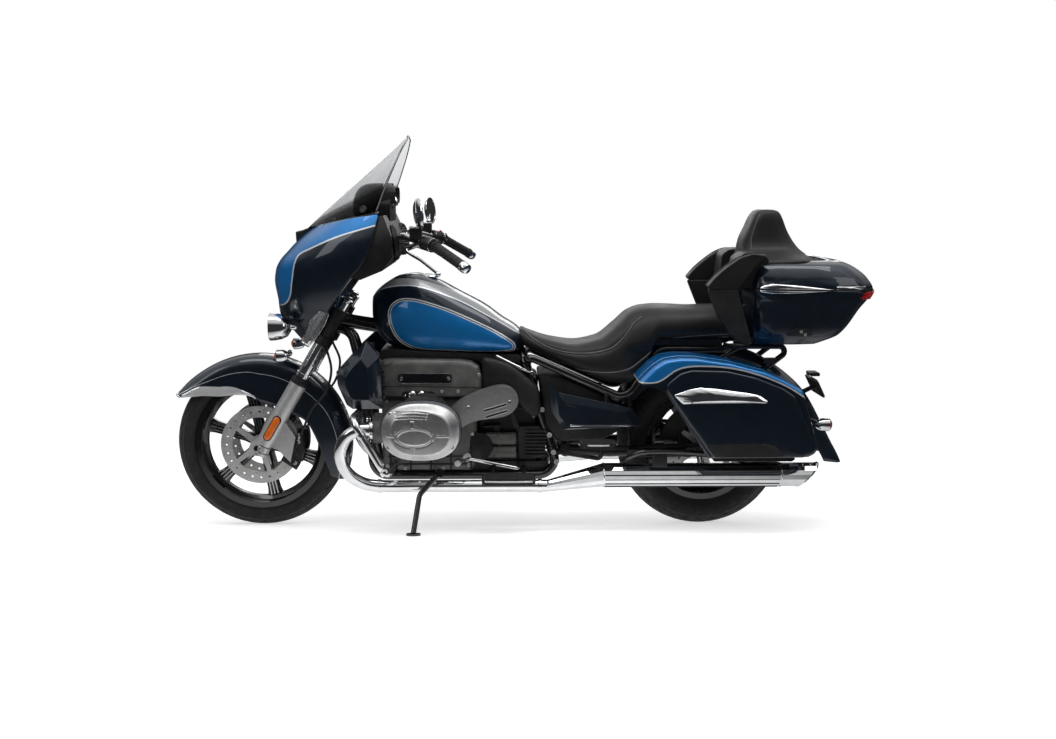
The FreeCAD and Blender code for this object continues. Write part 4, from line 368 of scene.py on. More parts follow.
def monotone(rows, count):
    """Rows at even steps of their first value, on curves that never overshoot."""
    table = np.array(rows, float)
    at = table[:, 0]
    if at[0] > at[-1]:
        flipped = monotone([tuple(row) for row in table[::-1]], count)
        return flipped[::-1]
    places = np.linspace(at[0], at[-1], count + 1)
    step = np.diff(at)
    out = [places]
    for column in table[:, 1:].T:
        rise = np.diff(column) / step
        tilt = np.zeros(len(at))
        tilt[0], tilt[-1] = rise[0], rise[-1]
        for n in range(1, len(at) - 1):
            a, b = rise[n - 1], rise[n]
            tilt[n] = 0 if a * b <= 0 else 2 * a * b / (a + b)
        span = np.clip(np.searchsorted(at, places, side="right") - 1, 0, len(step) - 1)
        t = (places - at[span]) / step[span]
        a, b = column[span], column[span + 1]
        c, d = tilt[span] * step[span], tilt[span + 1] * step[span]
        out.append(a + t * c + t ** 2 * (3 * (b - a) - 2 * c - d) + t ** 3 * (c + d - 2 * (b - a)))
    return [tuple(row) for row in np.array(out).T]


def step(value, low, high):
    share = min(1.0, max(0.0, (value - low) / (high - low)))
    return share * share * (3 - 2 * share)


def smooth(points, count, closed=False):
    """Evenly spaced places on a smooth curve through points of any dimension."""
    pts = np.array(points, float)
    total = len(pts)
    spans = total if closed else total - 1
    dense = []
    for n in range(spans):
        if closed:
            a, b, c, d = (pts[(n + k - 1) % total] for k in range(4))
        else:
            b, c = pts[n], pts[n + 1]
            a = pts[n - 1] if n else 2 * b - c
            d = pts[n + 2] if n + 2 < total else 2 * c - b
        knots = [0.0]
        for p, q in ((a, b), (b, c), (c, d)):
            knots.append(knots[-1] + max(1e-6, np.linalg.norm(q - p)) ** 0.5)
        t0, t1, t2, t3 = knots
        for t in np.linspace(t1, t2, 12, endpoint=False):
            a1 = (t1 - t) / (t1 - t0) * a + (t - t0) / (t1 - t0) * b
            a2 = (t2 - t) / (t2 - t1) * b + (t - t1) / (t2 - t1) * c
            a3 = (t3 - t) / (t3 - t2) * c + (t - t2) / (t3 - t2) * d
            b1 = (t2 - t) / (t2 - t0) * a1 + (t - t0) / (t2 - t0) * a2
            b2 = (t3 - t) / (t3 - t1) * a2 + (t - t1) / (t3 - t1) * a3
            dense.append((t2 - t) / (t2 - t1) * b1 + (t - t1) / (t2 - t1) * b2)
    dense.append(pts[0] if closed else pts[-1])
    dense = np.array(dense)
    along = np.concatenate([[0], np.cumsum(np.linalg.norm(np.diff(dense, axis=0), axis=1))])
    wanted = np.linspace(0, along[-1], count, endpoint=not closed)
    return np.stack([np.interp(wanted, along, dense[:, k]) for k in range(dense.shape[1])], 1)


def rounded(outline, radius, steps=4):
    """An outline with each corner replaced by a small arc."""
    count = len(outline)
    radii = radius if isinstance(radius, (list, tuple)) else [radius] * count
    out = []
    for n in range(count):
        before, corner, after = (Vector(outline[(n + k) % count]) for k in (-1, 0, 1))
        back, ahead = before - corner, after - corner
        half = back.angle(ahead) / 2
        reach = min(radii[n] / max(math.tan(half), 1e-3), back.length * 0.48, ahead.length * 0.48)
        a, b = corner + back.normalized() * reach, corner + ahead.normalized() * reach
        for k in range(steps + 1):
            t = k / steps
            out.append(tuple(a * (1 - t) ** 2 + corner * 2 * t * (1 - t) + b * t ** 2))
    return out


def signed_distance(points, loop):
    """Distance of side view points to a closed loop, negative inside it."""
    pts, ring = np.array(points, float), np.array(loop, float)
    start, end = ring, np.roll(ring, -1, axis=0)
    best = np.full(len(pts), 1e9)
    inside = np.zeros(len(pts), bool)
    for a, b in zip(start, end):
        run = b - a
        t = np.clip(((pts - a) @ run) / max(run @ run, 1e-9), 0, 1)
        best = np.minimum(best, np.linalg.norm(pts - a - t[:, None] * run, axis=1))
        crosses = (a[1] > pts[:, 1]) != (b[1] > pts[:, 1])
        if b[1] != a[1]:
            at = (b[0] - a[0]) * (pts[:, 1] - a[1]) / (b[1] - a[1]) + a[0]
            inside ^= crosses & (pts[:, 0] < at)
    return np.where(inside, -best, best)


def circle(count):
    """The cosine and sine of even turns."""
    turns = (2 * math.pi * n / count for n in range(count))
    return [(math.cos(turn), math.sin(turn)) for turn in turns]


def power(value, share):
    """A power that keeps its value's sign."""
    return math.copysign(abs(value) ** share, value)


class Form:
    """A mesh in the making, in millimetres on the upright machine."""

    def __init__(self):
        self.verts, self.faces = [], []

    def add(self, verts, faces):
        base = len(self.verts)
        self.verts += [Vector(v) for v in verts]
        self.faces += [[base + n for n in face] for face in faces]
        return self

    def grid(self, rows, loop=False, ring=False, caps=False):
        """Faces through rows of points; loop joins each row's ends, ring joins the rows."""
        wide, tall = len(rows[0]), len(rows)
        faces = []
        for r in range(tall if ring else tall - 1):
            for c in range(wide if loop else wide - 1):
                here, below = r * wide, (r + 1) % tall * wide
                faces.append([here + c, here + (c + 1) % wide, below + (c + 1) % wide, below + c])
        if caps:
            faces.append(list(range(wide))[::-1])
            faces.append([(tall - 1) * wide + c for c in range(wide)])
        return self.add([p for row in rows for p in row], faces)

    def lathe(self, profile, centre, axis=Y, steps=48, ring=False):
        """A profile of radius and place along the axis, turned round it."""
        axis = Vector(axis).normalized()
        side = X.copy() if abs(axis.y) > 0.9 else axis.orthogonal().normalized()
        up = axis.cross(side)
        rows = [[Vector(centre) + axis * along + side * radius * c + up * radius * s
                 for c, s in circle(steps)] for radius, along in profile]
        closed = profile[0][0] > 0.01 and profile[-1][0] > 0.01
        return self.grid(rows, loop=True, ring=ring, caps=closed and not ring)

    def tube(self, points, radius, steps=14, bend=0, caps=True, flat=1.0):
        """A round bar along points; bend smooths them into one curve of that many places."""
        pts = [Vector(p) for p in (smooth(points, bend) if bend else points)]
        radii = radius if isinstance(radius, (list, tuple)) else [radius] * len(pts)
        ahead = (pts[1] - pts[0]).normalized()
        side = ahead.cross(Z).normalized() if abs(ahead.z) < 0.95 else ahead.cross(Y).normalized()
        rows = []
        for n, point in enumerate(pts):
            before, after = pts[max(n - 1, 0)], pts[min(n + 1, len(pts) - 1)]
            now = (after - before).normalized()
            side = (side - now * side.dot(now)).normalized()
            up = now.cross(side)
            rows.append([point + side * radii[n] * c + up * radii[n] * flat * s
                         for c, s in circle(steps)])
        return self.grid(rows, loop=True, caps=caps)

    def hoop(self, points, radius, steps):
        """A bar round a closed run of points."""
        return self.tube([*points, points[0]], radius, steps, caps=False)

    def box(self, low, high):
        (a, b, c), (d, e, f) = low, high
        verts = [(x, y, z) for x in (a, d) for y in (b, e) for z in (c, f)]
        return self.add(verts, [(0, 1, 3, 2), (4, 6, 7, 5), (0, 4, 5, 1), (2, 3, 7, 6),
                                (0, 2, 6, 4), (1, 5, 7, 3)])

    def prism(self, outline, y_from, y_to):
        """A side view outline given thickness across the machine."""
        rows = [[(x, y, z) for x, z in outline] for y in (y_from, y_to)]
        return self.grid(rows, loop=True, caps=True)

    def slab(self, x0, z0, x1, z1, radius, y_from, y_to):
        outline = rounded([(x0, z0), (x1, z0), (x1, z1), (x0, z1)], radius)
        return self.prism(outline, y_from, y_to)

    def bolt(self, centre, axis, radius=6, height=4):
        """A socket-head bolt: a chamfered head with its key hole sunk in."""
        profile = [(radius, 0), (radius, height * 0.8), (radius * 0.88, height), (radius * 0.5, height),
                   (radius * 0.42, height * 0.35), (0.01, height * 0.3)]
        return self.lathe(profile, centre, axis, 18)

    def bolts(self, places, y, radius, height):
        """Bolts that face the left, at side view places."""
        for x, z in places:
            self.bolt((x, y, z), -Y, radius, height)
        return self

    def patch(self, outline, y, rings):
        """Rings of a side view outline, each at its own scale and lift off y or y(x, z)."""
        at = y if callable(y) else lambda x, z: y
        return self.grid([[vec(p.x, at(p.x, p.z) - lift, p.z) for p in scaled(outline, share)]
                          for share, lift in rings], loop=True)

    def twin(self):
        """Adds the same pieces on the other side."""
        return self.add([(v.x, -v.y, v.z) for v in self.verts], [face[::-1] for face in self.faces])

    def build(self, name, material, body="frame", sharp=32, bevel=0, thick=0, closed=True,
              slot=None, marks=None, replaces=(), padded=None):
        mesh = bpy.data.meshes.new(name)
        mesh.from_pydata([STANCE @ v for v in self.verts], [], self.faces)
        mesh.validate()
        if closed:
            bm = bmesh.new()
            bm.from_mesh(mesh)
            bmesh.ops.recalc_face_normals(bm, faces=bm.faces)
            bm.to_mesh(mesh)
            bm.free()
        for mark, values in (marks or {}).items():
            layer = mesh.attributes.new(mark, "FLOAT", "POINT")
            layer.data.foreach_set("value", [float(v) for v in values])
        obj = link(bpy.data.objects.new(name, mesh))
        mesh.materials.append(material)
        mesh.shade_smooth()
        if thick:
            shell = obj.modifiers.new("thickness", "SOLIDIFY")
            shell.thickness = thick / 1000
            shell.offset = -1
        if bevel:
            edge = obj.modifiers.new("edges", "BEVEL")
            edge.width = bevel / 1000
            edge.segments = 2
            edge.limit_method = "ANGLE"
            edge.angle_limit = math.radians(35)
            edge.harden_normals = True
        if sharp:
            mesh.set_sharp_from_angle(angle=math.radians(sharp))
        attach(obj, body)
        if replaces:
            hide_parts(*replaces)
        return obj


def around(centre, radius, angle, y=0):
    """A place round an axle; the angle rises from the rear."""
    turn = math.radians(angle)
    return vec(centre.x + radius * math.cos(turn), y, centre.z + radius * math.sin(turn))


def even(outline, radii, count):
    return smooth(rounded(outline, radii, 5), count, closed=True)


def scaled(outline, share, y=0):
    """A side view outline scaled about its middle, at one place across the machine."""
    middle = np.mean(outline, axis=0)
    return [vec(middle[0] + (p[0] - middle[0]) * share, y, middle[1] + (p[1] - middle[1]) * share)
            for p in outline]


def pill(x0, z0, x1, z1, width):
    """Outline of a slot between two points."""
    way = vec(x1 - x0, 0, z1 - z0).normalized()
    off = vec(-way.z, 0, way.x) * width / 2
    points = []
    for x, z, start in ((x1, z1, 0), (x0, z0, math.pi)):
        for n in range(11):
            turn = -math.pi / 2 + math.pi * n / 10 + start
            v = way * (width / 2 * math.cos(turn)) + off * math.sin(turn)
            points.append((x + v.x, z + v.z))
    return points


def outward(obj):
    """Turns an open shell's faces away from its own middle."""
    middle = sum((v.co for v in obj.data.vertices), Vector()) / len(obj.data.vertices)
    if sum((p.center - middle).dot(p.normal) * p.area for p in obj.data.polygons) < 0:
        obj.data.flip_normals()


# The frame's own nodes that stay in sight, with their finish and smooth shading

for finish, names in (
        (BLACK_GLOSS, "main_frame topcase_rack case_rails stand_bracket side_stand"),
        (BLACK_CAST, "steering_clamps swingarm final_drive front_calipers rear_caliper gearbox "
                     "tail_cover fairing_inner"),
        (CHROME, "fork_tubes handlebar front_axle crash_bars foot_controls mufflers"),
        (SATIN, "fork_sliders"), (STEEL, "front_discs rear_disc"), (CAST, "cylinders"),
        (ENGINE_GREY, "engine_block engine_top_cover"), (ALLOY_COVER, "intake_covers"),
        (BLACK_PLASTIC, "footboards pillion_boards plate_bracket")):
    for name in names.split():
        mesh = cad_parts[name].data
        mesh.materials.clear()
        mesh.materials.append(finish)
        mesh.shade_smooth()
        mesh.set_sharp_from_angle(angle=math.radians(30))


# Wheels

TREAD_STEPS, TREAD_BLOCKS, GROOVE = 560, 34, 5.0
HUB_RADIUS = 30


def tread_depth(place, turn, phase):
    """How deep the tyre is cut: slanted side grooves, finer ones and rings by the crown."""
    share = abs(place)
    beat = (turn * TREAD_BLOCKS / (2 * math.pi) + (0.5 if place > 0 else 0) + phase
            + share ** 1.6 * 1.1) % 1
    if 0.1 < share < 0.135 or 0.2 < share < 0.93 and beat < 0.13:
        return GROOVE
    return 3.5 if 0.5 < share < 0.8 and (beat + 0.5) % 1 < 0.07 else 0.0


def make_tyre(name, body, centre, radius, half, bead, crown, lip_side, phase):
    """A tyre with real tread, from bead to bead."""
    flange = bead + 12
    drop = crown - math.sqrt(crown ** 2 - (half * 0.8) ** 2)
    shoulder = vec(radius - drop, half * 0.8)
    bulge = vec(flange + (shoulder.x - flange) * 0.55, half)
    low = vec(flange, lip_side)
    wall = [low * (1 - t) ** 2 + (bulge * 2 - (low + shoulder) / 2) * 2 * t * (1 - t)
            + shoulder * t ** 2
            for t in np.linspace(0, 1, 13)]
    wall = [vec(p.x, min(p.y, half + 0.4)) for p in wall]
    for n, depth in ((3, 0.8), (9, -1.2), (10, 0.9)):
        wall[n].y += depth
    reach = math.asin(half * 0.8 / crown)
    section = [(vec(bead, lip_side), None)] + [(p, None) for p in wall[:-1]]
    for n in range(45):
        lean = reach * (n / 22 - 1)
        section.append((vec(radius - crown + crown * math.cos(lean), -crown * math.sin(lean)),
                        lean / reach))
    section += [(vec(p.x, -p.y), None) for p in wall[-2::-1]] + [(vec(bead, -lip_side), None)]
    rows = []
    for k in range(TREAD_STEPS):
        turn = 2 * math.pi * k / TREAD_STEPS
        row = []
        for point, place in section:
            r = point.x - (0.0 if place is None else tread_depth(place, turn, phase))
            row.append(vec(centre.x + r * math.cos(turn), point.y, centre.z + r * math.sin(turn)))
        rows.append(row)
    form = Form().grid(rows, ring=True)
    wide = len(section)
    for k in range(TREAD_STEPS):
        here, after = k * wide, (k + 1) % TREAD_STEPS * wide
        form.faces.append([here, after, after + wide - 1, here + wide - 1])
    form.build(name + "_tyre_tread", RUBBER, body, sharp=38, slot="tyre_rubber",
               replaces=(name + "_tyre",))


def make_rim(name, body, centre, bead, half, hub_half, disc_sides):
    """A cast wheel of six ribbed spokes, its disc's bolts and the valve."""
    flange, bed = bead + 12, bead - 11
    barrel = [(bed, -half), (flange - 3, -half), (flange, -half + 3), (flange, -half + 7),
              (bead, -half + 8), (bead - 2, -half * 0.5), (bead - 18, -half * 0.3),
              (bead - 18, half * 0.3), (bead - 2, half * 0.5), (bead, half - 8),
              (flange, half - 7), (flange, half - 3), (flange - 3, half), (bed, half),
              (bed - 4, half * 0.55), (bed - 18, half * 0.3), (bed - 18, -half * 0.3),
              (bed - 4, -half * 0.55)]
    form, ribs, trim = Form(), Form(), Form()
    form.grid([[vec(centre.x + r * c, y, centre.z + r * s) for c, s in circle(120)]
               for r, y in barrel], loop=True, ring=True)
    form.lathe([(12.4, -hub_half), (30, -hub_half), (38, -hub_half + 3), (38, -hub_half * 0.5),
                (34, -hub_half * 0.3), (34, hub_half * 0.3), (38, hub_half * 0.5),
                (38, hub_half - 3), (30, hub_half), (12.4, hub_half)], centre, Y, 60, ring=True)
    for n in range(6):
        angle = math.radians(41.6 + 60 * n)
        out = vec(math.cos(angle), 0, math.sin(angle))
        wide = vec(-math.sin(angle), 0, math.cos(angle))
        rows = []
        for t in np.linspace(0, 1, 12):
            r = HUB_RADIUS + (bed - 10 - HUB_RADIUS) * t
            w = 18.5 + 7 * t ** 1.5 + 10 * max(0, 0.12 - t) / 0.12 + 9 * max(0, t - 0.88) / 0.12
            d = 17 - 4 * math.sin(t * math.pi)
            rows.append([centre + out * r + wide * w * a + Y * d * b
                         for a, b in ((-1, -0.72), (-0.72, -1), (0.72, -1), (1, -0.72),
                                      (1, 0.72), (0.72, 1), (-0.72, 1), (-1, 0.72))])
        form.grid(rows, loop=True, caps=True)
        for side in (-1, 1):
            for share in (-0.52, 0, 0.52):
                bars = []
                for t in np.linspace(0.08, 0.95, 12):
                    r = HUB_RADIUS + (bed - 12 - HUB_RADIUS) * t
                    d = 17 - 4 * math.sin(t * math.pi)
                    at = (centre + out * r + wide * (18.5 + 7 * t ** 1.5) * share
                          + Y * side * (d - 1.5))
                    bars.append([at + wide * a + Y * side * b
                                 for a, b in ((2.3, 0), (1.84, 4.2), (-1.84, 4.2), (-2.3, 0))])
                ribs.grid(bars, loop=True, caps=True)
    form.lathe([(flange - 1, -half - 0.6), (flange + 0.4, -half + 0.4), (flange + 0.4, -half + 2.4),
                (flange - 5, -half - 0.4)], centre, Y, 120, ring=True)
    form.lathe([(flange - 5, half + 0.4), (flange + 0.4, half - 2.4), (flange + 0.4, half - 0.4),
                (flange - 1, half + 0.6)], centre, Y, 120, ring=True)
    form.build(name + "_wheel_casting", BLACK_GLOSS, body, sharp=30, replaces=(name + "_rim",))
    ribs.build(name + "_wheel_casting_ribs", ALLOY, body)
    for side in disc_sides:
        face = side * (hub_half + 5.3)
        for n in range(5):
            trim.bolt(around(centre, 27, 18 + 72 * n, face), Y * side, 5, 4)
        for n in range(10):
            trim.lathe([(6.5, 0), (6.5, 1.6), (5, 2.4), (3, 2.4), (2.6, 1.2), (0.01, 1.2)],
                       around(centre, 112, 9 + 36 * n, face), Y * side, 18)
    trim.tube([around(centre, bed - 16, 72), around(centre, bed - 30, 72, -14),
               around(centre, bed - 38, 72, -24)], [4.5, 3.6, 3.6], 12)
    trim.build(name + "_wheel_casting_hardware", STEEL, body)


make_tyre("front", "front_wheel", FRONT, 325.3, 61, 241.3, 62, 43, 0.0)
make_tyre("rear", "rear_wheel", REAR, 320.2, 90, 203.2, TYRE_CROWN, 63, 0.3)
make_rim("front", "front_wheel", FRONT, 241.3, 50, 67.7, (-1, 1))
make_rim("rear", "rear_wheel", REAR, 203.2, 70, 81, (-1,))


# Tank

HALF_SECTION = [(0, 0), (0.45, 0), (0.78, 0.03), (0.95, 0.16), (1, 0.36), (0.96, 0.58),
                (0.83, 0.79), (0.6, 0.93), (0.3, 0.99), (0, 1)]
TANK_STATIONS = [
    (0, 0.26, 0.42, 0.7), (0.03, 0.419, 0.258, 0.78), (0.102, 0.581, 0.105, 0.89),
    (0.191, 0.733, 0.054, 0.975), (0.298, 0.86, 0.031, 1), (0.44, 0.965, 0.02, 0.919),
    (0.601, 1, 0.014, 0.759), (0.761, 0.959, 0.007, 0.597), (0.886, 0.843, 0, 0.427),
    (0.966, 0.686, 0, 0.332), (1, 0.512, 0.02, 0.278)]
SEAT_STATIONS = [
    (0, 0.429, 0.493, 0.699), (0.055, 0.593, 0.418, 0.647), (0.156, 0.769, 0.308, 0.572),
    (0.257, 0.907, 0.195, 0.534), (0.37, 0.978, 0.055, 0.596), (0.458, 1, 0, 0.777),
    (0.521, 1, 0, 0.925), (0.584, 0.989, 0.212, 0.986), (0.66, 0.978, 0.582, 1),
    (0.811, 0.923, 0.589, 1), (1, 0.824, 0.596, 0.993)]
DROP = [(495, 823), (503, 858), (531, 884), (581, 892), (681, 870), (805, 821), (925, 759),
        (975, 718), (972, 694), (930, 684), (743, 687), (594, 698), (525, 742)]
CONSOLE_LINE = [(420, 885), (476, 922), (590, 937), (741, 893), (866, 830), (992, 754)]
# start, length, half width, foot and height
TANK_BOX = (433, 561, 172, 684, 295)
SEAT_BOX = (995, 794, 182, 568, 292)


def body_rows(stations, steps, box, count):
    """Rows of the tank's or the seat's loft, which share one cross-section."""
    x, length, half_width, z, height = box
    mirror = [(-a, b) for a, b in HALF_SECTION[1:-1]]
    outline = smooth(HALF_SECTION + mirror[::-1], count, closed=True)
    rows = []
    for along, wide, low, high in monotone(stations, steps):
        bottom, top = z + height * low, z + height * high
        rows.append([vec(x + length * along, half_width * wide * out, bottom + (top - bottom) * up)
                     for out, up in outline])
    return rows


def make_tank():
    """The tank, marked for its teardrop and its silver top."""
    form = Form().grid(body_rows(TANK_STATIONS, 96, TANK_BOX, 96), loop=True, caps=True)
    side = [(v.x, v.z) for v in form.verts]
    inside = signed_distance(side, smooth(DROP, 160, closed=True))
    line = smooth(CONSOLE_LINE, 60)
    above = np.array([z - np.interp(x, line[:, 0], line[:, 1]) for x, z in side])
    marks = np.where(above > -20, np.maximum(35 + above, 12), np.clip(inside, -55, 12))
    belly = np.array([abs(v.y) <= 30 and v.z <= 760 for v in form.verts])
    form.build("tank_shell", PAINT_TANK, sharp=50, marks={"mark": np.where(belly, 12, marks)},
               replaces=("fuel_tank",))


def tank_top(x):
    """The height of the tank's top line at a place along it."""
    start, length, _, foot, height = TANK_BOX
    rows = monotone(TANK_STATIONS, 96)
    return float(np.interp(x, [start + length * row[0] for row in rows],
                           [foot + height * row[3] for row in rows]))


make_tank()


# Seat

SEAT_ROWS = np.array(monotone(SEAT_STATIONS, 200))
SECTION_CURVE = smooth(HALF_SECTION, 80)
RIM_SEAM = [(1000, 772), (1045, 735), (1110, 703), (1190, 688), (1280, 692), (1340, 712),
            (1392, 762), (1420, 800), (1450, 822)]
SKIRT_SEAM = [(1070, 676), (1128, 640), (1240, 622), (1335, 618), (1400, 632), (1445, 664),
              (1500, 706), (1560, 738), (1640, 752), (1780, 758)]


def seat_y(x, z):
    """Where the seat's left side lies."""
    start, length, half, foot, height = SEAT_BOX
    wide, low, high = (np.interp((x - start) / length, SEAT_ROWS[:, 0], SEAT_ROWS[:, n])
                       for n in (1, 2, 3))
    up = (z - foot - height * low) / (height * (high - low))
    return -half * wide * float(np.interp(up, SECTION_CURVE[:, 1], SECTION_CURVE[:, 0]))


def seat_path(points, count, lift):
    return [vec(x, seat_y(x, z) - lift, z) for x, z in smooth(points, count)]


def make_seat():
    form = Form().grid(body_rows(SEAT_STATIONS, 170, SEAT_BOX, 120), loop=True, caps=True)
    points = np.array([(v.x, v.z) for v in form.verts])
    pull = np.zeros(len(points))
    for seam, wide, depth in ((RIM_SEAM, 7, 4.0), (SKIRT_SEAM, 5, 3.0)):
        line = smooth(seam, 150)
        gap = np.array([np.sqrt(((point - line) ** 2).sum(1)).min() for point in points])
        pull += depth * np.exp(-(gap / wide) ** 2)
    for vert, inward in zip(form.verts, pull):
        if abs(vert.y) > 60:
            vert.y -= math.copysign(float(inward), vert.y)
        # Narrower between the side cases, then the dish of each rider's place
        tuck = step(vert.x, 1370, 1440) * step(-vert.z, -730, -690)
        vert.y += tuck * (math.copysign(min(abs(vert.y), 162), vert.y) - vert.y)
        if vert.x > 1470 and vert.z > 800:
            vert.z -= 5 * math.exp(-((vert.x - 1640) / 60) ** 2) * math.exp(-(vert.y / 110) ** 4)
        if 1030 < vert.x < 1370 and vert.z > 640:
            vert.z -= 9 * math.sin(math.pi * (vert.x - 1030) / 340) * math.exp(-(vert.y / 80) ** 4)
    form.build("rider_seat", LEATHER, sharp=60, replaces=("seat",), padded=0.85)
    piping, stitches = Form(), Form()
    for seam, count in ((RIM_SEAM, 60), (SKIRT_SEAM, 80)):
        piping.tube(seat_path(seam, count, -1.4), 2.6, 8)
    piping.twin().build("seat_piping", PIPING)
    for seam, rise in ((RIM_SEAM, 11), (SKIRT_SEAM, -9)):
        line = seat_path([(x, z + rise) for x, z in seam[1:]], 150, 0.2)
        for a, b in zip(line[::2], line[1::2]):
            stitches.tube([a, a.lerp(b, 0.72)], 0.9, 5)
    stitches.twin().build("seat_stitching", PIPING, sharp=0)


make_seat()


# Fairing and screen

FAIRING_STATIONS = [
    (0, 0.18, 0.55), (0.17, 0.045, 0.67), (0.28, -0.008, 0.755), (0.38, -0.026, 0.84),
    (0.46, -0.034, 0.895), (0.55, -0.022, 0.945), (0.61, 0.008, 0.967), (0.67, 0.06, 0.985),
    (0.745, 0.13, 0.99), (0.82, 0.22, 0.97), (0.92, 0.36, 0.92), (1, 0.46, 0.86)]
NOSE = [(0, 0), (0.015, 0.26), (0.085, 0.56), (0.24, 0.8), (0.5, 0.93), (0.78, 0.98), (1, 1)]
TRIM_HIGH = [(50, 1122), (120, 1130), (187, 1140), (260, 1160), (330, 1176), (410, 1192), (483, 1203)]
TRIM_LOW = [(50, 803), (102, 797), (126, 776), (150, 735), (180, 712), (215, 760),
            (300, 870), (380, 980), (420, 1024), (458, 1108), (480, 1190), (483, 1203)]
STRIPE = [(472, 1163), (332, 1120), (225, 1073), (192, 1056), (178, 1030), (163, 960), (150, 905),
          (128, 876), (92, 862), (50, 858)]
FAIRING_ROWS = np.array(monotone(FAIRING_STATIONS, 90))
NOSE_CURVE = np.array(smooth(NOSE, 160))
FAIRING_FRONT, FAIRING_LENGTH, FAIRING_HALF = 88, 560, 352
FAIRING_FOOT, FAIRING_HEIGHT = 700, 540
FAIRING_REAR, SKIN_REAR = FAIRING_FRONT + FAIRING_LENGTH, 482
LAMP_HEIGHT, LAMP_HOLE = 905, 94


def fairing_nose(z):
    """The fairing's front and half width at a height."""
    up = (z - FAIRING_FOOT) / FAIRING_HEIGHT
    front, half = (float(np.interp(up, FAIRING_ROWS[:, 0], FAIRING_ROWS[:, n])) for n in (1, 2))
    return FAIRING_FRONT + FAIRING_LENGTH * front, FAIRING_HALF * half


def fairing_y(x, z):
    """Where the fairing's left side lies."""
    nose, half = fairing_nose(z)
    along = (x - nose) / (FAIRING_REAR - nose)
    return -half * float(np.interp(along, NOSE_CURVE[:, 0], NOSE_CURVE[:, 1]))


def shell_grid(across, upward):
    """The fairing's skin, bounded exactly by its trimmed outline in side view."""
    low, high = smooth(TRIM_LOW, 120), smooth(TRIM_HIGH, 80)
    columns = []
    for s in across:
        column = []
        for b in upward:
            # The nose depends on the height and the height on the place, so both settle by turns
            z = 1000.0
            for _ in range(14):
                nose = fairing_nose(z)[0]
                x = nose + (SKIN_REAR - nose) * s
                bottom = np.interp(x, low[:, 0], low[:, 1])
                top = np.interp(x, high[:, 0], high[:, 1])
                z = 0.5 * z + 0.5 * (bottom + (top - bottom) * b)
            column.append(vec(x, fairing_y(x, z), z))
        columns.append(column)
    return columns


def make_fairing():
    left = shell_grid([(n / 78) ** 2.1 * 0.994 for n in range(79)], [n / 56 for n in range(57)])
    right = [[vec(v.x, -v.y, v.z) for v in column] for column in left]
    form = Form().grid(right[:0:-1] + left)
    # The lamp's hole: faces inside it go, and the points that are left move onto its rim
    inside = [v.x < 200 and math.hypot(v.y, v.z - LAMP_HEIGHT) < LAMP_HOLE for v in form.verts]
    form.faces = [face for face in form.faces if not all(inside[n] for n in face)]
    for n in {n for face in form.faces for n in face if inside[n]}:
        v = form.verts[n]
        turn = math.atan2(v.z - LAMP_HEIGHT, v.y)
        y, z = LAMP_HOLE * math.cos(turn), LAMP_HEIGHT + LAMP_HOLE * math.sin(turn)
        nose, half = fairing_nose(z)
        along = float(np.interp(abs(y) / half, NOSE_CURVE[:, 1], NOSE_CURVE[:, 0]))
        form.verts[n] = vec(nose + (FAIRING_REAR - nose) * along, y, z)
    panel = smooth(STRIPE, 120).tolist() + [[30, 858], [30, 600], [800, 600], [800, 1163]]
    away = signed_distance([(v.x, v.z) for v in form.verts], panel)
    obj = form.build("fairing_skin", PAINT_FAIRING, "steering", sharp=50, thick=4.5, closed=False,
                     marks={"mark": np.clip(away, -30, 60)}, replaces=("fairing_shell",))
    bm = bmesh.new()
    bm.from_mesh(obj.data)
    bmesh.ops.delete(bm, geom=[v for v in bm.verts if not v.link_faces], context="VERTS")
    bm.to_mesh(obj.data)
    bm.free()
    edge = [vec(x, fairing_y(x, z) + 2, z) for x, z in smooth(TRIM_LOW, 120) if x > 110][::2]
    Form().tube(edge, 3.2, 8).twin().build("fairing_edge_seal", BLACK_PLASTIC, "steering")


make_fairing()

SCREEN_STATIONS = [
    (0, 0.98, 0.75, 0.2), (0.2, 0.95, 0.6, 0.15), (0.45, 0.86, 0.414, 0.09),
    (0.7, 0.72, 0.227, 0.023), (0.88, 0.52, 0.096, -0.017), (1, 0.22, 0.012, -0.045)]
SCREEN_FOOT, SCREEN_HALF = vec(187, 0, 1146), 290
SCREEN_RUN, SCREEN_RISE = 384, 351


def screen_rows(steps, across):
    """The screen's sheet, swept back and up from its middle line."""
    rows = []
    for up, wide, behind, above in monotone(SCREEN_STATIONS, steps):
        centre = SCREEN_FOOT + vec(SCREEN_RUN * up, 0, SCREEN_RISE * up)
        sweep = vec(SCREEN_RUN * behind, 0, SCREEN_RISE * above)
        rows.append([centre + sweep * (n / across) ** 2 + Y * SCREEN_HALF * wide * n / across
                     for n in range(-across, across + 1)])
    return rows


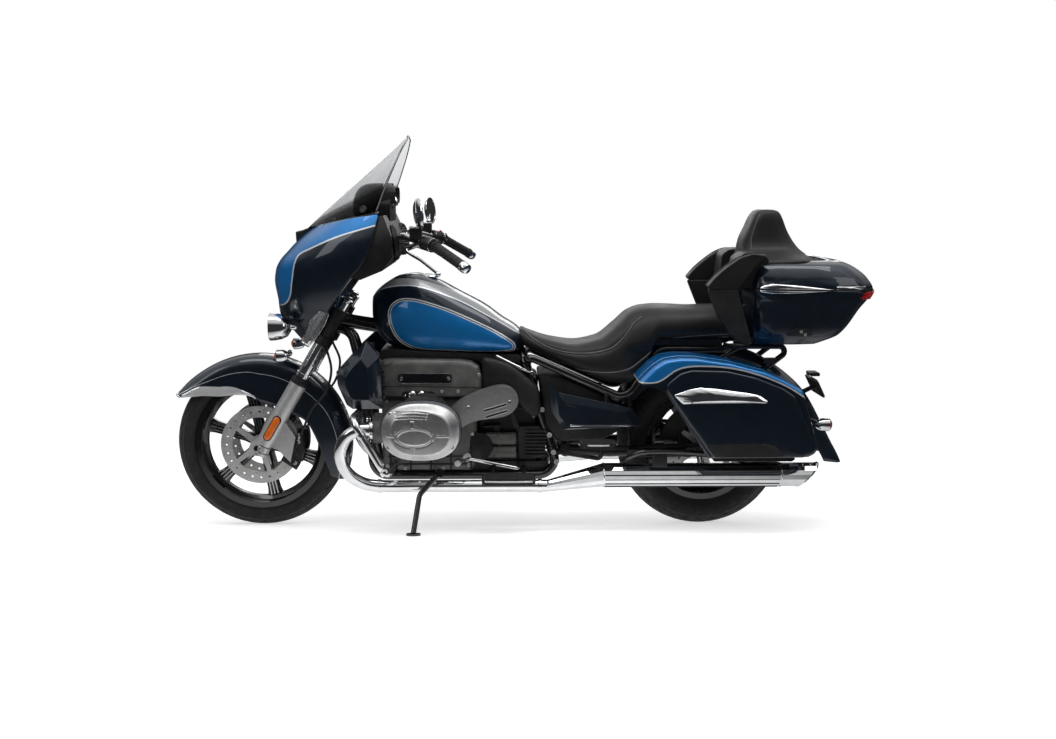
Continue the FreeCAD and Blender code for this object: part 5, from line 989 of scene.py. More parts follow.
def make_screen():
    tall, across = 60, 24
    rows = screen_rows(tall, across)
    tint = [n / tall - 0.3 * abs(k / across) ** 1.3 + 0.2
            for n in range(tall + 1) for k in range(-across, across + 1)]
    sheet = Form().grid(rows).build(
        "windshield_sheet", SCREEN, "steering", sharp=0, thick=4.5, closed=False,
        marks={"tint": np.clip(tint, 0, 1)}, replaces=("windshield",))
    outward(sheet)
    edge = [row[0] for row in rows] + rows[-1][1:-1] + [row[-1] for row in rows[::-1]]
    Form().tube(edge, 2.8, 10).build("windshield_edge", SCREEN_EDGE, "steering", sharp=0)
    screws, seal = Form(), Form()
    for x, y, z in ((426, 262, 1222), (308, 196, 1177)):
        for side in (-1, 1):
            screws.lathe([(0.01, -16), (9, -16), (14, -4), (15, 0), (13, 4), (8, 5), (6, 3),
                          (0.01, 3)], (x, side * y, z), (-0.35, side * 0.85, 0.35), 28)
    screws.build("windshield_screws", BLACK_CAST, "steering", slot="black_plastic")
    bridge = rounded([(150, 1136), (176, 1142), (222, 1160), (232, 1150), (206, 1106), (172, 1088),
                      (152, 1096)], 8)
    Form().prism(bridge, -62, 62).build("screen_bridge", BLACK_PLASTIC, "steering", bevel=6)
    for side in (-1, 1):
        seal.tube([(250, side * 150, 1152), (360, side * 226, 1182), (470, side * 296, 1206)], 5, 10,
                  bend=30)
    seal.build("screen_seal", BLACK_PLASTIC, "steering")


make_screen()


# Side cases

CASE = [(1411, 608), (1466, 664), (1505, 690), (1560, 698), (1622, 697), (1743, 680), (1872, 647),
        (1944, 616), (2008, 580), (2071, 367), (2058, 345), (2036, 334), (1670, 330), (1505, 582)]
CASE_RADII = [5, 60, 60, 60, 90, 200, 120, 60, 22, 30, 20, 20, 16, 24]
LID_PANEL = [(1502, 598), (1560, 646), (1600, 657), (1725, 654), (1832, 630), (1932, 590),
             (1974, 562), (2056, 380), (2048, 352), (2010, 338), (1684, 337)]
CASE_STRIPE = [(1380, 612), (1480, 612), (1548, 655), (1592, 667), (1725, 664), (1834, 640),
               (1942, 597), (2010, 556)]
LOWER_PAD = [(1652, 388), (1870, 392), (1905, 382), (1950, 342), (1690, 341)]
HANDLE = [(1537, 568), (1590, 588), (1630, 596), (1690, 592), (1800, 577), (1850, 566), (1886, 541),
          (1870, 537), (1570, 535)]


def case_mark(form):
    """How far each point lies above the stripe that parts the cases' two colours."""
    panel = [tuple(p) for p in smooth(CASE_STRIPE, 80)] + [(2300, 200), (1300, 200)]
    return {"mark": np.clip(signed_distance([(v.x, v.z) for v in form.verts], panel), -30, 60)}


def make_case(node, side):
    """A side case, drawn on the left; side is -1 for the right one."""
    outline = even(CASE, CASE_RADII, 260)

    def finish(form, name, *details, **options):
        for vert in form.verts:
            vert.y *= side
        return form.build(node + name, *details, **options)

    shell = Form().grid([scaled(outline, share, y) for share, y in (
        (1, -322), (1, -300), (1, -240), (1, -190), (1, -176), (0.99, -169), (0.965, -165.5),
        (0.7, -165.2), (0.35, -165.2), (0.02, -165.2))], loop=True)
    outward(finish(shell, "_shell", PAINT_CASE, sharp=40, thick=4, closed=False,
                   marks=case_mark(shell), replaces=(node,)))
    profile = [(1, -323.4), (1, -345), (0.9985, -366), (0.992, -379), (0.98, -387), (0.965, -391),
               (0.945, -393)] + [(share, -393.5) for share in np.linspace(0.925, 0.03, 34)]
    lid = Form().grid([scaled(outline, share, y) for share, y in profile], loop=True)
    body = node + "_lid"
    outward(finish(lid, "_lid_shell", PAINT_CASE, body, sharp=40, thick=4, closed=False,
                   marks=case_mark(lid), replaces=(body,)))

    finish(Form().patch(even(LID_PANEL, [30, 50, 40, 90, 120, 60, 26, 26, 20, 16, 26], 200), -388,
                        [(1.0, 0), (1.0, 10), (0.997, 14), (0.99, 17), (0.975, 18.5), (0.93, 19.5),
                         (0.8, 21), (0.5, 23), (0.02, 24)]), "_face", PAINT, body, sharp=55)
    finish(Form().patch(even(LOWER_PAD, [12, 16, 18, 10, 10], 120), -404,
                        [(1.0, 0), (1.0, 4.5), (0.993, 6.5), (0.97, 7.5), (0.6, 8), (0.02, 8)]),
           "_pad", BLACK_PLASTIC, body, sharp=55)
    dome = [(share, 3 + 18 * (1 - share ** 2.2) ** 0.8)
            for share in (0.97, 0.92, 0.84, 0.74, 0.62, 0.48, 0.32, 0.16, 0.02)]
    finish(Form().patch(even(HANDLE, [4, 30, 40, 60, 60, 20, 6, 10, 14], 140), -405,
                        [(1.0, 0), (1.0, 3)] + dome), "_handle", CHROME, body, sharp=60)
    split = Form().tube([(1570, -424.5, 548), (1640, -426.8, 550), (1760, -427, 552),
                         (1860, -421, 545)], 1.5, 6, bend=30)
    split.tube([(1598, -420, 536), (1604, -424.6, 549)], 1.4, 6)
    split.tube([(1508, -400, 586), (1590, -404.5, 462), (1676, -400, 336)], 1.6, 8)
    finish(split, "_seams", BLACK_PLASTIC, body)
    hinges = Form()
    for x in (1560, 1900):
        hinges.prism(rounded([(x - 22, 668), (x + 22, 668), (x + 20, 690), (x - 20, 690)], 5),
                     -300, -318)
    finish(hinges, "_hinges", BLACK_CAST, bevel=2)


make_case("left_case", 1)
make_case("right_case", -1)


# Top case and backrest

TRUNK_STATIONS = [
    (0, 0.06, 0.59, 0.72), (0.12, 0.035, 0.76, 0.84), (0.42, 0.01, 0.9, 0.94),
    (0.672, 0, 1, 1), (0.8, 0.015, 0.955, 0.975), (0.95, 0.05, 0.83, 0.88), (1, 0.11, 0.74, 0.72)]
TRUNK_PLAN = [(0, 0.62), (0.06, 0.9), (0.2, 1), (0.62, 0.99), (0.88, 0.9), (0.97, 0.72), (1, 0.4),
              (1, 0)]
TRUNK_LINE = smooth(rounded([(0, 0)] + TRUNK_PLAN,
                            [0, 0.05, 0.06, 0.2, 0.3, 0.12, 0.08, 0.05, 0], 4)[5:-5], 70)
TRUNK_ROWS = np.array(monotone(TRUNK_STATIONS, 120))
TRUNK_PANEL = [(1800, 942), (1858, 1016), (1900, 1024), (2040, 1020), (2160, 1004), (2262, 948)]
TRUNK_PANEL_LOW = [(1796, 924), (2262, 924), (2196, 790), (2110, 762), (1880, 760), (1858, 776)]
TRUNK_FRONT, TRUNK_LENGTH, TRUNK_HALF = 1822, 490, 284
TRUNK_FOOT, TRUNK_HEIGHT = 722, 314
BASE_TOP, LID_FOOT = 932.6, 934.2


def trunk_row(z):
    """Front, rear and width shares of the top case at a height."""
    share = (z - TRUNK_FOOT) / TRUNK_HEIGHT
    return [float(np.interp(share, TRUNK_ROWS[:, 0], TRUNK_ROWS[:, n])) for n in (1, 2, 3)]


def trunk_y(x, z):
    """Where the top case's left side lies."""
    front, rear, wide = trunk_row(z)
    along = ((x - TRUNK_FRONT) / TRUNK_LENGTH - front) / (rear - front)
    plan = TRUNK_LINE[np.argsort(TRUNK_LINE[:, 0])]
    return -TRUNK_HALF * wide * float(np.interp(along, plan[:, 0], plan[:, 1]))


def trunk_ring(z, share=1.0, height=None):
    """The top case's outline at a height, or a scaled copy of it at another height."""
    front, rear, wide = trunk_row(z)
    middle = TRUNK_FRONT + TRUNK_LENGTH * (front + rear) / 2
    right = []
    for along, out in TRUNK_LINE:
        x = TRUNK_FRONT + TRUNK_LENGTH * (front + (rear - front) * along)
        right.append(vec(middle + (x - middle) * share, TRUNK_HALF * wide * out * share, height or z))
    return right + [vec(p.x, -p.y, p.z) for p in right[::-1]]


def make_trunk():
    rows = [trunk_ring(TRUNK_FOOT, share, TRUNK_FOOT + 0.5 + 2 * (share > 0.93))
            for share in (0.02, 0.4, 0.8, 0.95)]
    rows += [trunk_ring(z) for z in np.linspace(TRUNK_FOOT + 4, BASE_TOP, 37)]
    outward(Form().grid(rows, loop=True).build(
        "topcase_base", PAINT, sharp=42, thick=4, closed=False, replaces=("topcase",)))
    rows = [trunk_ring(z) for z in np.linspace(LID_FOOT, 1033, 27)]
    rows += [trunk_ring(1034, share, 1035.5) for share in (0.97, 0.9, 0.6, 0.3, 0.02)]
    outward(Form().grid(rows, loop=True).build(
        "topcase_lid_shell", PAINT, "topcase_lid", sharp=42, thick=4, closed=False,
        replaces=("topcase_lid",)))
    for name, outline, body in (("topcase_side_high", TRUNK_PANEL, "topcase_lid"),
                                ("topcase_side_low", TRUNK_PANEL_LOW, "frame")):
        panel = Form().patch(even(outline, 14, 130), trunk_y, [(1.0, -1), (1.0, 1.6), (0.99, 2.8),
                             (0.96, 3.2), (0.85, 3.3), (0.7, 3.3), (0.5, 3.3), (0.3, 3.3), (0.02, 3.3)])
        panel.twin().build(name, PAINT, body, sharp=50)
    spear = Form().patch(even([(1851, 938), (1880, 952), (1905, 957), (1990, 952), (2134, 936),
                               (2134, 934.6)], [4, 10, 20, 60, 1, 1], 100), trunk_y,
                         [(1.0, 1), (1.0, 4), (0.96, 7), (0.8, 9.5), (0.5, 11), (0.02, 11.5)])
    spear.patch(even([(2142, 946), (2258, 947), (2258, 936), (2142, 935)], 3, 60), trunk_y,
                [(1.0, 1), (1.0, 4), (0.9, 5.5), (0.02, 6)])
    spear.twin().build("topcase_trim_high", CHROME, "topcase_lid", sharp=60)
    lower = Form().patch(even([(1856, 932), (2132, 932), (2100, 928), (1990, 922), (1900, 920),
                               (1868, 924)], [3, 1, 20, 40, 20, 6], 100), trunk_y,
                         [(1.0, 1), (1.0, 4), (0.96, 6), (0.8, 8), (0.5, 9), (0.02, 9.5)])
    lower.twin().build("topcase_trim_low", CHROME, sharp=60)
    rows = [[p + vec(3.5, 0, 0) + Y * math.copysign(2.5, p.y) * (abs(p.y) > 150)
             for p in trunk_ring(z) if p.x > 2236] for z in np.linspace(897, 930, 7)]
    Form().grid(rows).build("topcase_tail_lamp", RED, sharp=50, thick=3, closed=False)
    latch = Form().patch(even([(1960, 762), (2000, 792), (2040, 796), (2078, 762)], [8, 14, 14, 8], 60),
                         trunk_y, [(1.0, 1), (1.0, 6), (0.9, 9), (0.6, 10), (0.02, 10)])
    latch.twin().build("topcase_latches", BLACK_PLASTIC, sharp=50)
    knobs, rails = Form(), Form()
    for x, z in ((2024, 779), (2040, 768)):
        knobs.bolt((x, trunk_y(x, z) - 9, z), -Y, 6, 3)
    knobs.twin().build("topcase_latch_screws", STEEL)
    outline = trunk_ring(933)
    Form().tube([p + Z * 0.4 for p in outline] + [outline[0]], 1.9, 6, caps=False).build(
        "topcase_seam", BLACK_PLASTIC, sharp=0)
    for side in (-1, 1):
        rails.tube([(1960, side * 120, 1036), (1985, side * 120, 1052), (2110, side * 110, 1044),
                    (2190, side * 96, 1022)], 6, 12, bend=40)
    rails.build("topcase_lid_rails", CHROME, "topcase_lid")


def make_backrest():
    rows = []
    for z, front, rear, half in monotone([
            (934, 1786, 1912, 205), (975, 1790, 1960, 216), (1010, 1800, 2030, 236),
            (1034, 1812, 2104, 232), (1047, 1817, 2092, 196), (1060, 1820, 2072, 148),
            (1080, 1822, 2050, 116), (1110, 1828, 2028, 102), (1150, 1846, 2006, 95),
            (1185, 1864, 1992, 90), (1205, 1878, 1982, 84), (1216, 1890, 1972, 76),
            (1221, 1905, 1957, 60)], 60):
        ring = []
        for c, s in circle(56):
            out = power(s, 0.62)
            dish = 9 * (1 - out ** 2) * (c < 0) * min(1, (1221 - z) / 60)
            ring.append(vec((front + rear) / 2 + (rear - front) / 2 * power(c, 0.6) + dish,
                            half * out, z))
        rows.append(ring)
    Form().grid(rows, loop=True, caps=True).build(
        "passenger_backrest", LEATHER, "topcase_lid", sharp=60, replaces=("topcase_backrest",),
        padded=0.9)
    high = even([(1676, 938), (1671, 948), (1700, 980), (1738, 1014), (1790, 1050), (1832, 1063),
                 (1884, 1058), (1846, 1022), (1782, 938)], [5, 8, 60, 60, 60, 30, 16, 30, 6], 70)
    inner = even([(1776, 938), (1784, 1046), (1812, 1066), (1860, 1070), (1906, 1046), (1880, 938)],
                 [6, 30, 24, 20, 24, 6], 50)
    low = even([(1674, 937), (1716, 834), (1768, 756), (1826, 728), (1838, 740), (1780, 937)],
               [5, 60, 40, 8, 8, 5], 50)
    for outline, y_from, y_to, name, finish, body, bevel, padded in (
            (high, -226, -283, "backrest_arms", LEATHER, "topcase_lid", 9, 0.9),
            (inner, -232, -84, "backrest_bolsters", LEATHER, "topcase_lid", 16, 0.9),
            (low, -224, -281, "backrest_shells", BLACK_PLASTIC, "frame", 7, None)):
        Form().prism(outline, y_from, y_to).twin().build(name, finish, body, bevel=bevel, sharp=45,
                                                         padded=padded)
    seams = Form()
    for y in (-281, -229):
        seams.tube([(1672, y, 948), (1700, y, 981), (1738, y, 1015), (1790, y, 1051), (1832, y, 1064),
                    (1878, y, 1060)], 2.2, 8, bend=40)
    seams.tube([(1863, -124, 1052), (1861, -104.5, 1080), (1862, -93.5, 1110), (1873, -87.5, 1150),
                (1886, -82.5, 1185), (1896, -77, 1205)], 2, 8, bend=40)
    seams.twin().build("backrest_piping", PIPING, "topcase_lid")


make_trunk()
make_backrest()


# Dash, lamps and front end

def make_dash():
    rows = []
    for x, half, low, high in monotone([
            (372, 96, 1196, 1262), (384, 112, 1194, 1290), (404, 124, 1196, 1308),
            (430, 130, 1204, 1316), (462, 132, 1214, 1317), (500, 126, 1228, 1312),
            (526, 116, 1240, 1304)], 30):
        rows.append([vec(x, half * power(c, 0.55), (low + high) / 2 + (high - low) / 2 * power(s, 0.6))
                     for c, s in circle(60)])
    rim = [[vec(x, p.y * share, (p.z - 1272) * share + 1272) for p in rows[-1]]
           for x, share in ((530, 0.97), (526, 0.93), (500, 0.9))]
    Form().grid(rows + rim, loop=True, caps=True).build("instrument_hood", BLACK_PLASTIC, "steering",
                                                        sharp=50)
    gauges, faces, glass, needles = Form(), Form(), Form(), Form()
    for y, turn in ((-62, 2.4), (62, 3.6)):
        at, axis = (506, y, 1268), (0.93, 0, 0.36)
        gauges.lathe([(36, -6), (39, -4), (39, 6), (36, 8), (33, 4), (33, -6)], at, axis, 48, ring=True)
        faces.lathe([(0.01, 0), (33.5, 0), (33.5, -6), (0.01, -6)], at, axis, 40)
        glass.lathe([(0.01, 4.4), (33.2, 3), (33.2, 2), (0.01, 3.2)], at, axis, 40)
        at, side = vec(508, y, 1270), vec(0, math.cos(turn), math.sin(turn))
        needles.tube([at - side * 6, at + side * 24], 0.9, 6)
        for n in range(11):
            a = math.radians(-30 + 24 * n)
            ray = vec(-0.3 * math.sin(a), math.cos(a), math.sin(a))
            needles.tube([at + ray * 25, at + ray * 29.5], 0.7, 5)
    gauges.build("gauge_rings", CHROME, "steering")
    faces.build("gauge_dials", DIAL, "steering")
    glass.build("gauge_glasses", GLASS, "steering")
    needles.build("gauge_marks", PLATE_GREY, "steering", sharp=0)
    Form().prism([(488, 1214), (520, 1226), (514, 1240), (484, 1228)], -46, 46).build(
        "dash_display", DISPLAY, "steering", bevel=2)


def make_speakers():
    pods, grilles = Form(), Form()
    for side in (-1, 1):
        at, axis = vec(494, side * 214, 1096), vec(0.9, -side * 0.2, 0.12).normalized()
        pods.lathe([(0.01, 46), (34, 46), (48, 44), (52, 48), (60, 48), (64, 42), (64, 30), (0.01, 30)],
                   at, axis, 56)
        across = axis.cross(Z).normalized()
        upward = across.cross(axis).normalized()
        for n in range(-5, 6):
            reach = math.sqrt(47 ** 2 - (n * 8.4) ** 2)
            mid = at + axis * 47.5 + upward * n * 8.4
            grilles.tube([mid - across * reach, mid + across * reach], 1.5, 6)
    pods.build("speaker_pods", BLACK_PLASTIC, "steering")
    grilles.build("speaker_grilles", GREY_PLASTIC, "steering")


def make_lamps():
    """The headlamp, the two spot lamps and the front signals, each shell, bowl and glass."""
    rim, glass = Form(), Form()
    at = (98, 0, LAMP_HEIGHT)
    for name, finish, steps, ring, profile in (
            ("shell", CHROME, 80, False, [(0.01, 112), (30, 108), (58, 92), (80, 58), (88, 26), (90, 4),
                                          (86, 4), (78, 50), (50, 84), (0.01, 98)]),
            ("bowl", MIRROR, 80, False, [(0.01, 76), (24, 74), (52, 60), (72, 34), (80, 8), (82, 8),
                                         (76, 36), (54, 63), (24, 79), (0.01, 81)]),
            ("collar", PAINT, 90, True, [(92.6, 30), (92.6, -4), (94, -9), (97, -11), (99.5, -8),
                                         (99.5, 30)]),
            ("bulb", GLASS, 32, False, [(0.01, 20), (7, 21), (10, 26), (10, 52), (7, 60), (7, 78),
                                        (0.01, 78)]),
            ("bulb_shield", CHROME, 32, False, [(0.01, 14), (13, 15), (15, 20), (13, 24), (11, 20),
                                                (0.01, 18)])):
        Form().lathe(profile, at, X, steps, ring=ring).build(
            "headlamp_" + name, finish, "steering", replaces=("headlamp",) if name == "shell" else ())
    rim.lathe([(80, 6), (82, -2), (86, -6), (90.5, -5), (92, 0), (91, 10), (86, 12), (82, 10)], at, X,
              80, ring=True)
    glass.lathe([(0.01, -20), (30, -18), (58, -12), (76, -4), (81, 2), (81, 5), (76, 0), (58, -8.5),
                 (30, -14.5), (0.01, -16.5)], at, X, 80)
    for side in (-1, 1):
        spot, signal = vec(70, side * 178, 790), vec(92, side * 196, 684)
        shell = Form().lathe([(0.01, 76), (18, 74), (36, 62), (46, 42), (51, 16), (51.5, 4), (48, 3),
                              (44, 40), (30, 60), (0.01, 68)], spot, X, 60)
        shell.tube([spot + X * 54, spot + vec(86, 0, -2), (93, side * 113, 792)], 9, 16, bend=16)
        rim.lathe([(44, 5), (46, -1), (49, -3.5), (51.6, -2), (52, 3), (51, 9), (46, 8)], spot, X, 60,
                  ring=True)
        glass.lathe([(0.01, -9), (22, -7.5), (40, -2), (45, 2), (45, 4), (40, 0.5), (22, -5),
                     (0.01, -6.5)], spot, X, 60)
        bowl = Form().lathe([(0.01, 46), (20, 42), (36, 24), (44, 6), (46, 6), (38, 26), (22, 45),
                             (0.01, 50)], spot, X, 60)
        ball = Form().lathe([(0.01, 46), (9, 45), (17, 38), (22.5, 24), (24, 9), (23.5, 2), (21, 0),
                             (19, 2), (19, 6), (0.01, 6)], signal, X, 44)
        ball.tube([signal + X * 30, signal + vec(44, -side * 30, 2), (128, side * 118, 690)], 8, 14,
                  bend=14)
        lens = Form().lathe([(0.01, -9), (8, -7.5), (15, -3), (19, 2.5), (19, 6), (0.01, 6)], signal, X,
                            40)
        shown = side + 2
        shell.build(f"spot_lamp_shell_{shown}", CHROME, "steering",
                    replaces=("spot_lamps",) if side < 0 else ())
        bowl.build(f"spot_lamp_bowl_{shown}", MIRROR, "steering")
        ball.build(f"front_signal_shell_{shown}", CHROME, "steering",
                   replaces=("front_signals",) if side < 0 else ())
        lens.build(f"front_signal_lens_{shown}", AMBER, "steering")
    rim.build("lamp_rims", CHROME, "steering")
    glass.build("lamp_glasses", GLASS, "steering")


make_dash()
make_speakers()
make_lamps()


# Bars, grips, switches and mirrors

GRIP_START, GRIP_END, BAR_RISE = vec(685, -370, 1096), vec(790, -478, 1030), vec(560, -268, 1130)
ALONG, INWARD = (GRIP_END - GRIP_START).normalized(), (BAR_RISE - GRIP_START).normalized()
RESERVOIR = GRIP_START + INWARD * 55.8 + vec(-24, 0, 36)


def make_grips():
    profile = [(13.2, 3), (20.5, 3), (21, 6), (20.5, 10), (17.2, 12)]
    for n in range(9):
        a = 15 + n * 14.6
        profile += [(17.0, a), (18.2, a + 2), (18.4, a + 8), (17.4, a + 11.5)]
    profile += [(18, 150), (19.5, 153), (19.5, 160), (13.2, 160)]
    Form().lathe(profile, GRIP_START, ALONG, 44, ring=True).twin().build(
        "grip_rubbers", GRIP_RUBBER, "steering", replaces=("grips",))
    Form().lathe([(13, 161), (20, 161), (20.6, 165), (20, 179), (17, 187), (10, 190), (0.01, 190.5)],
                 GRIP_START, ALONG, 40).twin().build("grip_caps", CHROME, "steering")


def make_switches():
    pod, trim, lid, buttons = Form(), Form(), Form(), Form()
    pod.lathe([(13.2, 2), (21, 2), (24, 5), (25.5, 12), (25.5, 50), (23, 57), (18, 61), (13.2, 62)],
              GRIP_START, INWARD, 44, ring=True)
    low, high = RESERVOIR - vec(22, 23, 22), RESERVOIR + vec(22, 23, 14)
    pod.box(low, high)
    pod.tube([RESERVOIR - Z * 18, GRIP_START + INWARD * 48], 11, 14)
    pod.tube([GRIP_START + INWARD * 46 + Z * 4, GRIP_START + INWARD * 50 + vec(-58, 4, -20)], 10, 14)
    pod.twin().build("switch_pods", BLACK_CAST, "steering", bevel=2.4, replaces=("hand_controls",))
    for at in (8, 54):
        trim.lathe([(25.2, at - 1.2), (26, at - 0.6), (26, at + 0.6), (25.2, at + 1.2)],
                   GRIP_START, INWARD, 44, ring=True)
    for dx in (-15, 15):
        for dy in (-15, 15):
            trim.bolt(RESERVOIR + vec(dx, dy, 20), Z, 3.4, 2.4)
    trim.twin().build("control_trim", CHROME, "steering")
    lid.box(low + vec(-1.4, -1.2, 36), high + vec(1.4, 1.2, 6))
    lid.twin().build("reservoir_lids", SATIN, "steering", bevel=2.4)
    up = INWARD.cross(Z).cross(INWARD).normalized()
    for shift, rise, size in ((12, 8, 6), (12, -9, 6), (28, 12, 7), (28, -4, 8), (43, 9, 6), (43, -8, 6)):
        buttons.lathe([(0.01, 20), (size, 20), (size, 27), (size - 1.5, 29), (0.01, 29.5)],
                      GRIP_START + INWARD * shift, vec(0.75, 0.1, 0.2) + up * rise * 0.05, 18)
    buttons.twin().build("switch_buttons", GREY_PLASTIC, "steering")
    face = GRIP_START + INWARD * 30
    Form().lathe([(0.01, 22), (6.5, 22), (6.5, 30), (5, 31.5), (0.01, 31.5)],
                 (face.x, -face.y, face.z), (0.5, 0.2, 0.85), 20).build("stop_switch", RED, "steering")


def make_levers():
    pivot = GRIP_START + INWARD * 49.6
    knee = pivot + vec(-62, 0, -26)
    points = [pivot + vec(-16, -4, -10), knee, knee + (GRIP_END - GRIP_START) * 0.5,
              GRIP_END + vec(-87, 0, -26)]
    lever = Form().tube(points, 7, 18, bend=25, flat=0.62)
    lever.lathe([(0.01, -8), (6, -7), (9, -2), (9, 3), (6, 8), (0.01, 9)], points[-1],
                points[-1] - points[-2], 20)
    lever.twin().build("hand_levers", CHROME, "steering")
    start = GRIP_START + INWARD * 52 + vec(-8, 0, -6)
    cables = Form().tube([start, start + vec(-60, 30, 26), (540, -196, 1128), (430, -120, 1078),
                          (362, -60, 1040)], 4.2, 10, bend=60)
    cables.tube([start - Z * 14, start + vec(-52, 34, -2), (536, -210, 1096), (440, -128, 1048),
                 (366, -56, 1010)], 3.4, 10, bend=60)
    cables.twin().build("control_cables", BLACK_PLASTIC, "steering", slot="black_rubber")


def make_mirrors():
    centre, facing = vec(634, -384, 1210), vec(1, 0.32, 0.1).normalized()
    back = Form().lathe([(0.01, -16), (20, -15.6), (40, -12), (51, -5), (54, 0), (53.5, 2), (49, 2),
                         (47, -1), (0.01, -1)], centre, facing, 64)
    foot = RESERVOIR + vec(9.6, 0, 19)
    back.tube([foot, (foot.x, foot.y - 24, 1183), centre - facing * 8], 5, 16, bend=22)
    back.lathe([(0.01, 0), (9, 0), (9, 9), (6, 12), (0.01, 12)], foot, Z, 6)
    back.twin().build("mirror_backs", CHROME, "steering", replaces=("mirrors",))
    glass = Form().lathe([(0.01, -0.8), (48.4, -0.8), (48.4, 0.6), (0.01, 1.4)], centre, facing, 64)
    glass.twin().build("mirror_glasses", MIRROR, "steering")


make_grips()
make_switches()
make_levers()
make_mirrors()


# Engine

COVER_X, COVER_Y, COVER_Z = 634.5, -388.6, 440.5
COVER_LONG, COVER_TALL, COVER_SQUARE = 142, 106, 0.82


def cover_depth(x, z, r):
    """How far the valve cover stands out, with its grooves, ribs and oval recess."""
    depth = (46 * step(1.0 - r, -0.001, 0.035) ** 0.5 + 30 * step(1.0 - r, 0.0, 0.3)
             + 11.6 * (1 - r * r))
    for n, z0 in enumerate((517, 506.5, 496)):
        left, right = 541 + 2 * n, 668 - 3 * n
        bow = 7 * (1 - ((x - 604) / 70) ** 2)
        near = 1 - step(abs(z - z0 - bow + 5), 1.4, 3.4)
        depth -= 4.4 * near * step(x, left, left + 12) * (1 - step(x, right - 12, right))
    wide = 1 - step(abs(x - 608), 5.5, 8)
    depth += 2.6 * wide * max(step(z, 459, 463) * (1 - step(z, 484, 488)),
                              step(z, 352, 360) * (1 - step(z, 389, 393)))
    level = 1 - step(abs(z - 433), 3.2, 5.4)
    depth += 2.0 * level * max(step(x, 508, 516) * (1 - step(x, 540, 546)),
                               step(x, 689, 694) * (1 - step(x, 730, 740)))
    oval = math.hypot((x - 615.5) / 65, (z - 427) / 29)
    depth -= 2.8 * (1 - step(oval, 0.86, 0.93)) - 1.4 * (1 - step(abs(oval - 1), 0.03, 0.08))
    arc = math.hypot((x - 613) / 71, (z - 427) / 39)
    depth -= 4.2 * (1 - step(abs(arc - 1), 0.02, 0.05)) * step(abs(x - 608), 9, 12) * \
        step(abs(z - 427), 11, 16)
    return depth


def square_round(x_reach, z_reach, turns):
    """A rounded square's outline about the valve cover's middle."""
    return [(COVER_X + x_reach * power(c, COVER_SQUARE), COVER_Z + z_reach * power(s, COVER_SQUARE))
            for c, s in turns]


def make_valve_covers():
    turns = circle(300)
    rows = [[vec(x, COVER_Y, z) for x, z in square_round(COVER_LONG, COVER_TALL, turns)]]
    for ring in range(97):
        r = 1 - (ring / 96) ** 1.15 * 0.995
        rows.append([vec(x, COVER_Y - cover_depth(x, z, r), z)
                     for x, z in square_round(COVER_LONG * r, COVER_TALL * r, turns)])
    Form().grid(rows, loop=True).twin().build("valve_covers", ALLOY_COVER, sharp=55,
                                              replaces=("cylinder_covers",))
    bolts = Form()
    for x, z in ((524, 388), (745, 388), (530, 505), (752, 497)):
        r = math.hypot((x - COVER_X) / COVER_LONG, (z - COVER_Z) / COVER_TALL)
        bolts.bolt((x, COVER_Y + 1.1 - cover_depth(x, z, r), z), -Y, 8.5, 5)
    bolts.twin().build("valve_cover_bolts", CHROME)
    seat = square_round(COVER_LONG + 1.4, COVER_TALL + 1.2, circle(90))
    Form().hoop([vec(x, -388.4, z) for x, z in seat], 1.6, 6).twin().build(
        "valve_cover_gaskets", BLACK_PLASTIC, slot="black_rubber", sharp=0)


def make_intakes():
    slots, rims = Form(), Form()
    for ends in ((861, 488, 938, 511), (866, 464, 941, 487)):
        outline = pill(*ends, 10)
        slots.patch(outline, -258, [(1, 0), (1, 4.2), (0.02, 4.2)])
        rims.hoop([vec(x, -262.6, z) for x, z in outline], 1.5, 8)
    slots.twin().build("intake_slots", ENGINE_DARK)
    rims.twin().build("intake_slot_rims", ALLOY_COVER, sharp=0)
    Form().bolts(((756, 444), (952, 520), (800, 500)), -261, 6.5, 4).twin().build("intake_screws", CHROME)


def make_engine_plates():
    outline = rounded([(537, 577), (737, 577), (737, 614), (537, 614)], 14, 8)
    plate = Form().patch(smooth(outline, 120, closed=True), -175, [
        (1, 0), (1, 4), (0.985, 5.2), (0.97, 5.2), (0.955, 4.2), (0.5, 4.2), (0.02, 4.2)])
    plate.twin().build("side_plates", BLACK_GLOSS, slot="black_plastic", sharp=40)
    trim = Form().hoop([vec(x, -180, z) for x, z in outline], 1.2, 6)
    trim.bolts(((549, 595.5), (725, 595.5)), -178.6, 6.5, 3).twin().build("side_plate_trim", CHROME)
    outline = smooth(rounded([(552, 511), (672, 511), (676, 548), (548, 548)], 16, 8), 100, closed=True)
    Form().patch(outline, -151, [(1, 0), (1, 24), (0.97, 27), (0.9, 28), (0.02, 28)]).twin().build(
        "vent_plates", BLACK_CAST, sharp=40)
    fittings = Form()
    for x, z, size in ((588, 534, 15), (622, 534, 15), (605, 524, 10), (596, 515, 8), (616, 515, 8),
                       (579, 524, 7), (636, 524, 7)):
        fittings.lathe([(0.01, 0), (size, 0), (size, 5), (size * 0.8, 8), (size * 0.78, 11),
                        (size * 0.5, 13), (size * 0.42, 11), (0.01, 11)], (x, -177, z), -Y, 22)
    fittings.bolts(((562, 530), (660, 530)), -178, 5.5, 3.5).twin().build("vent_fittings", CHROME)


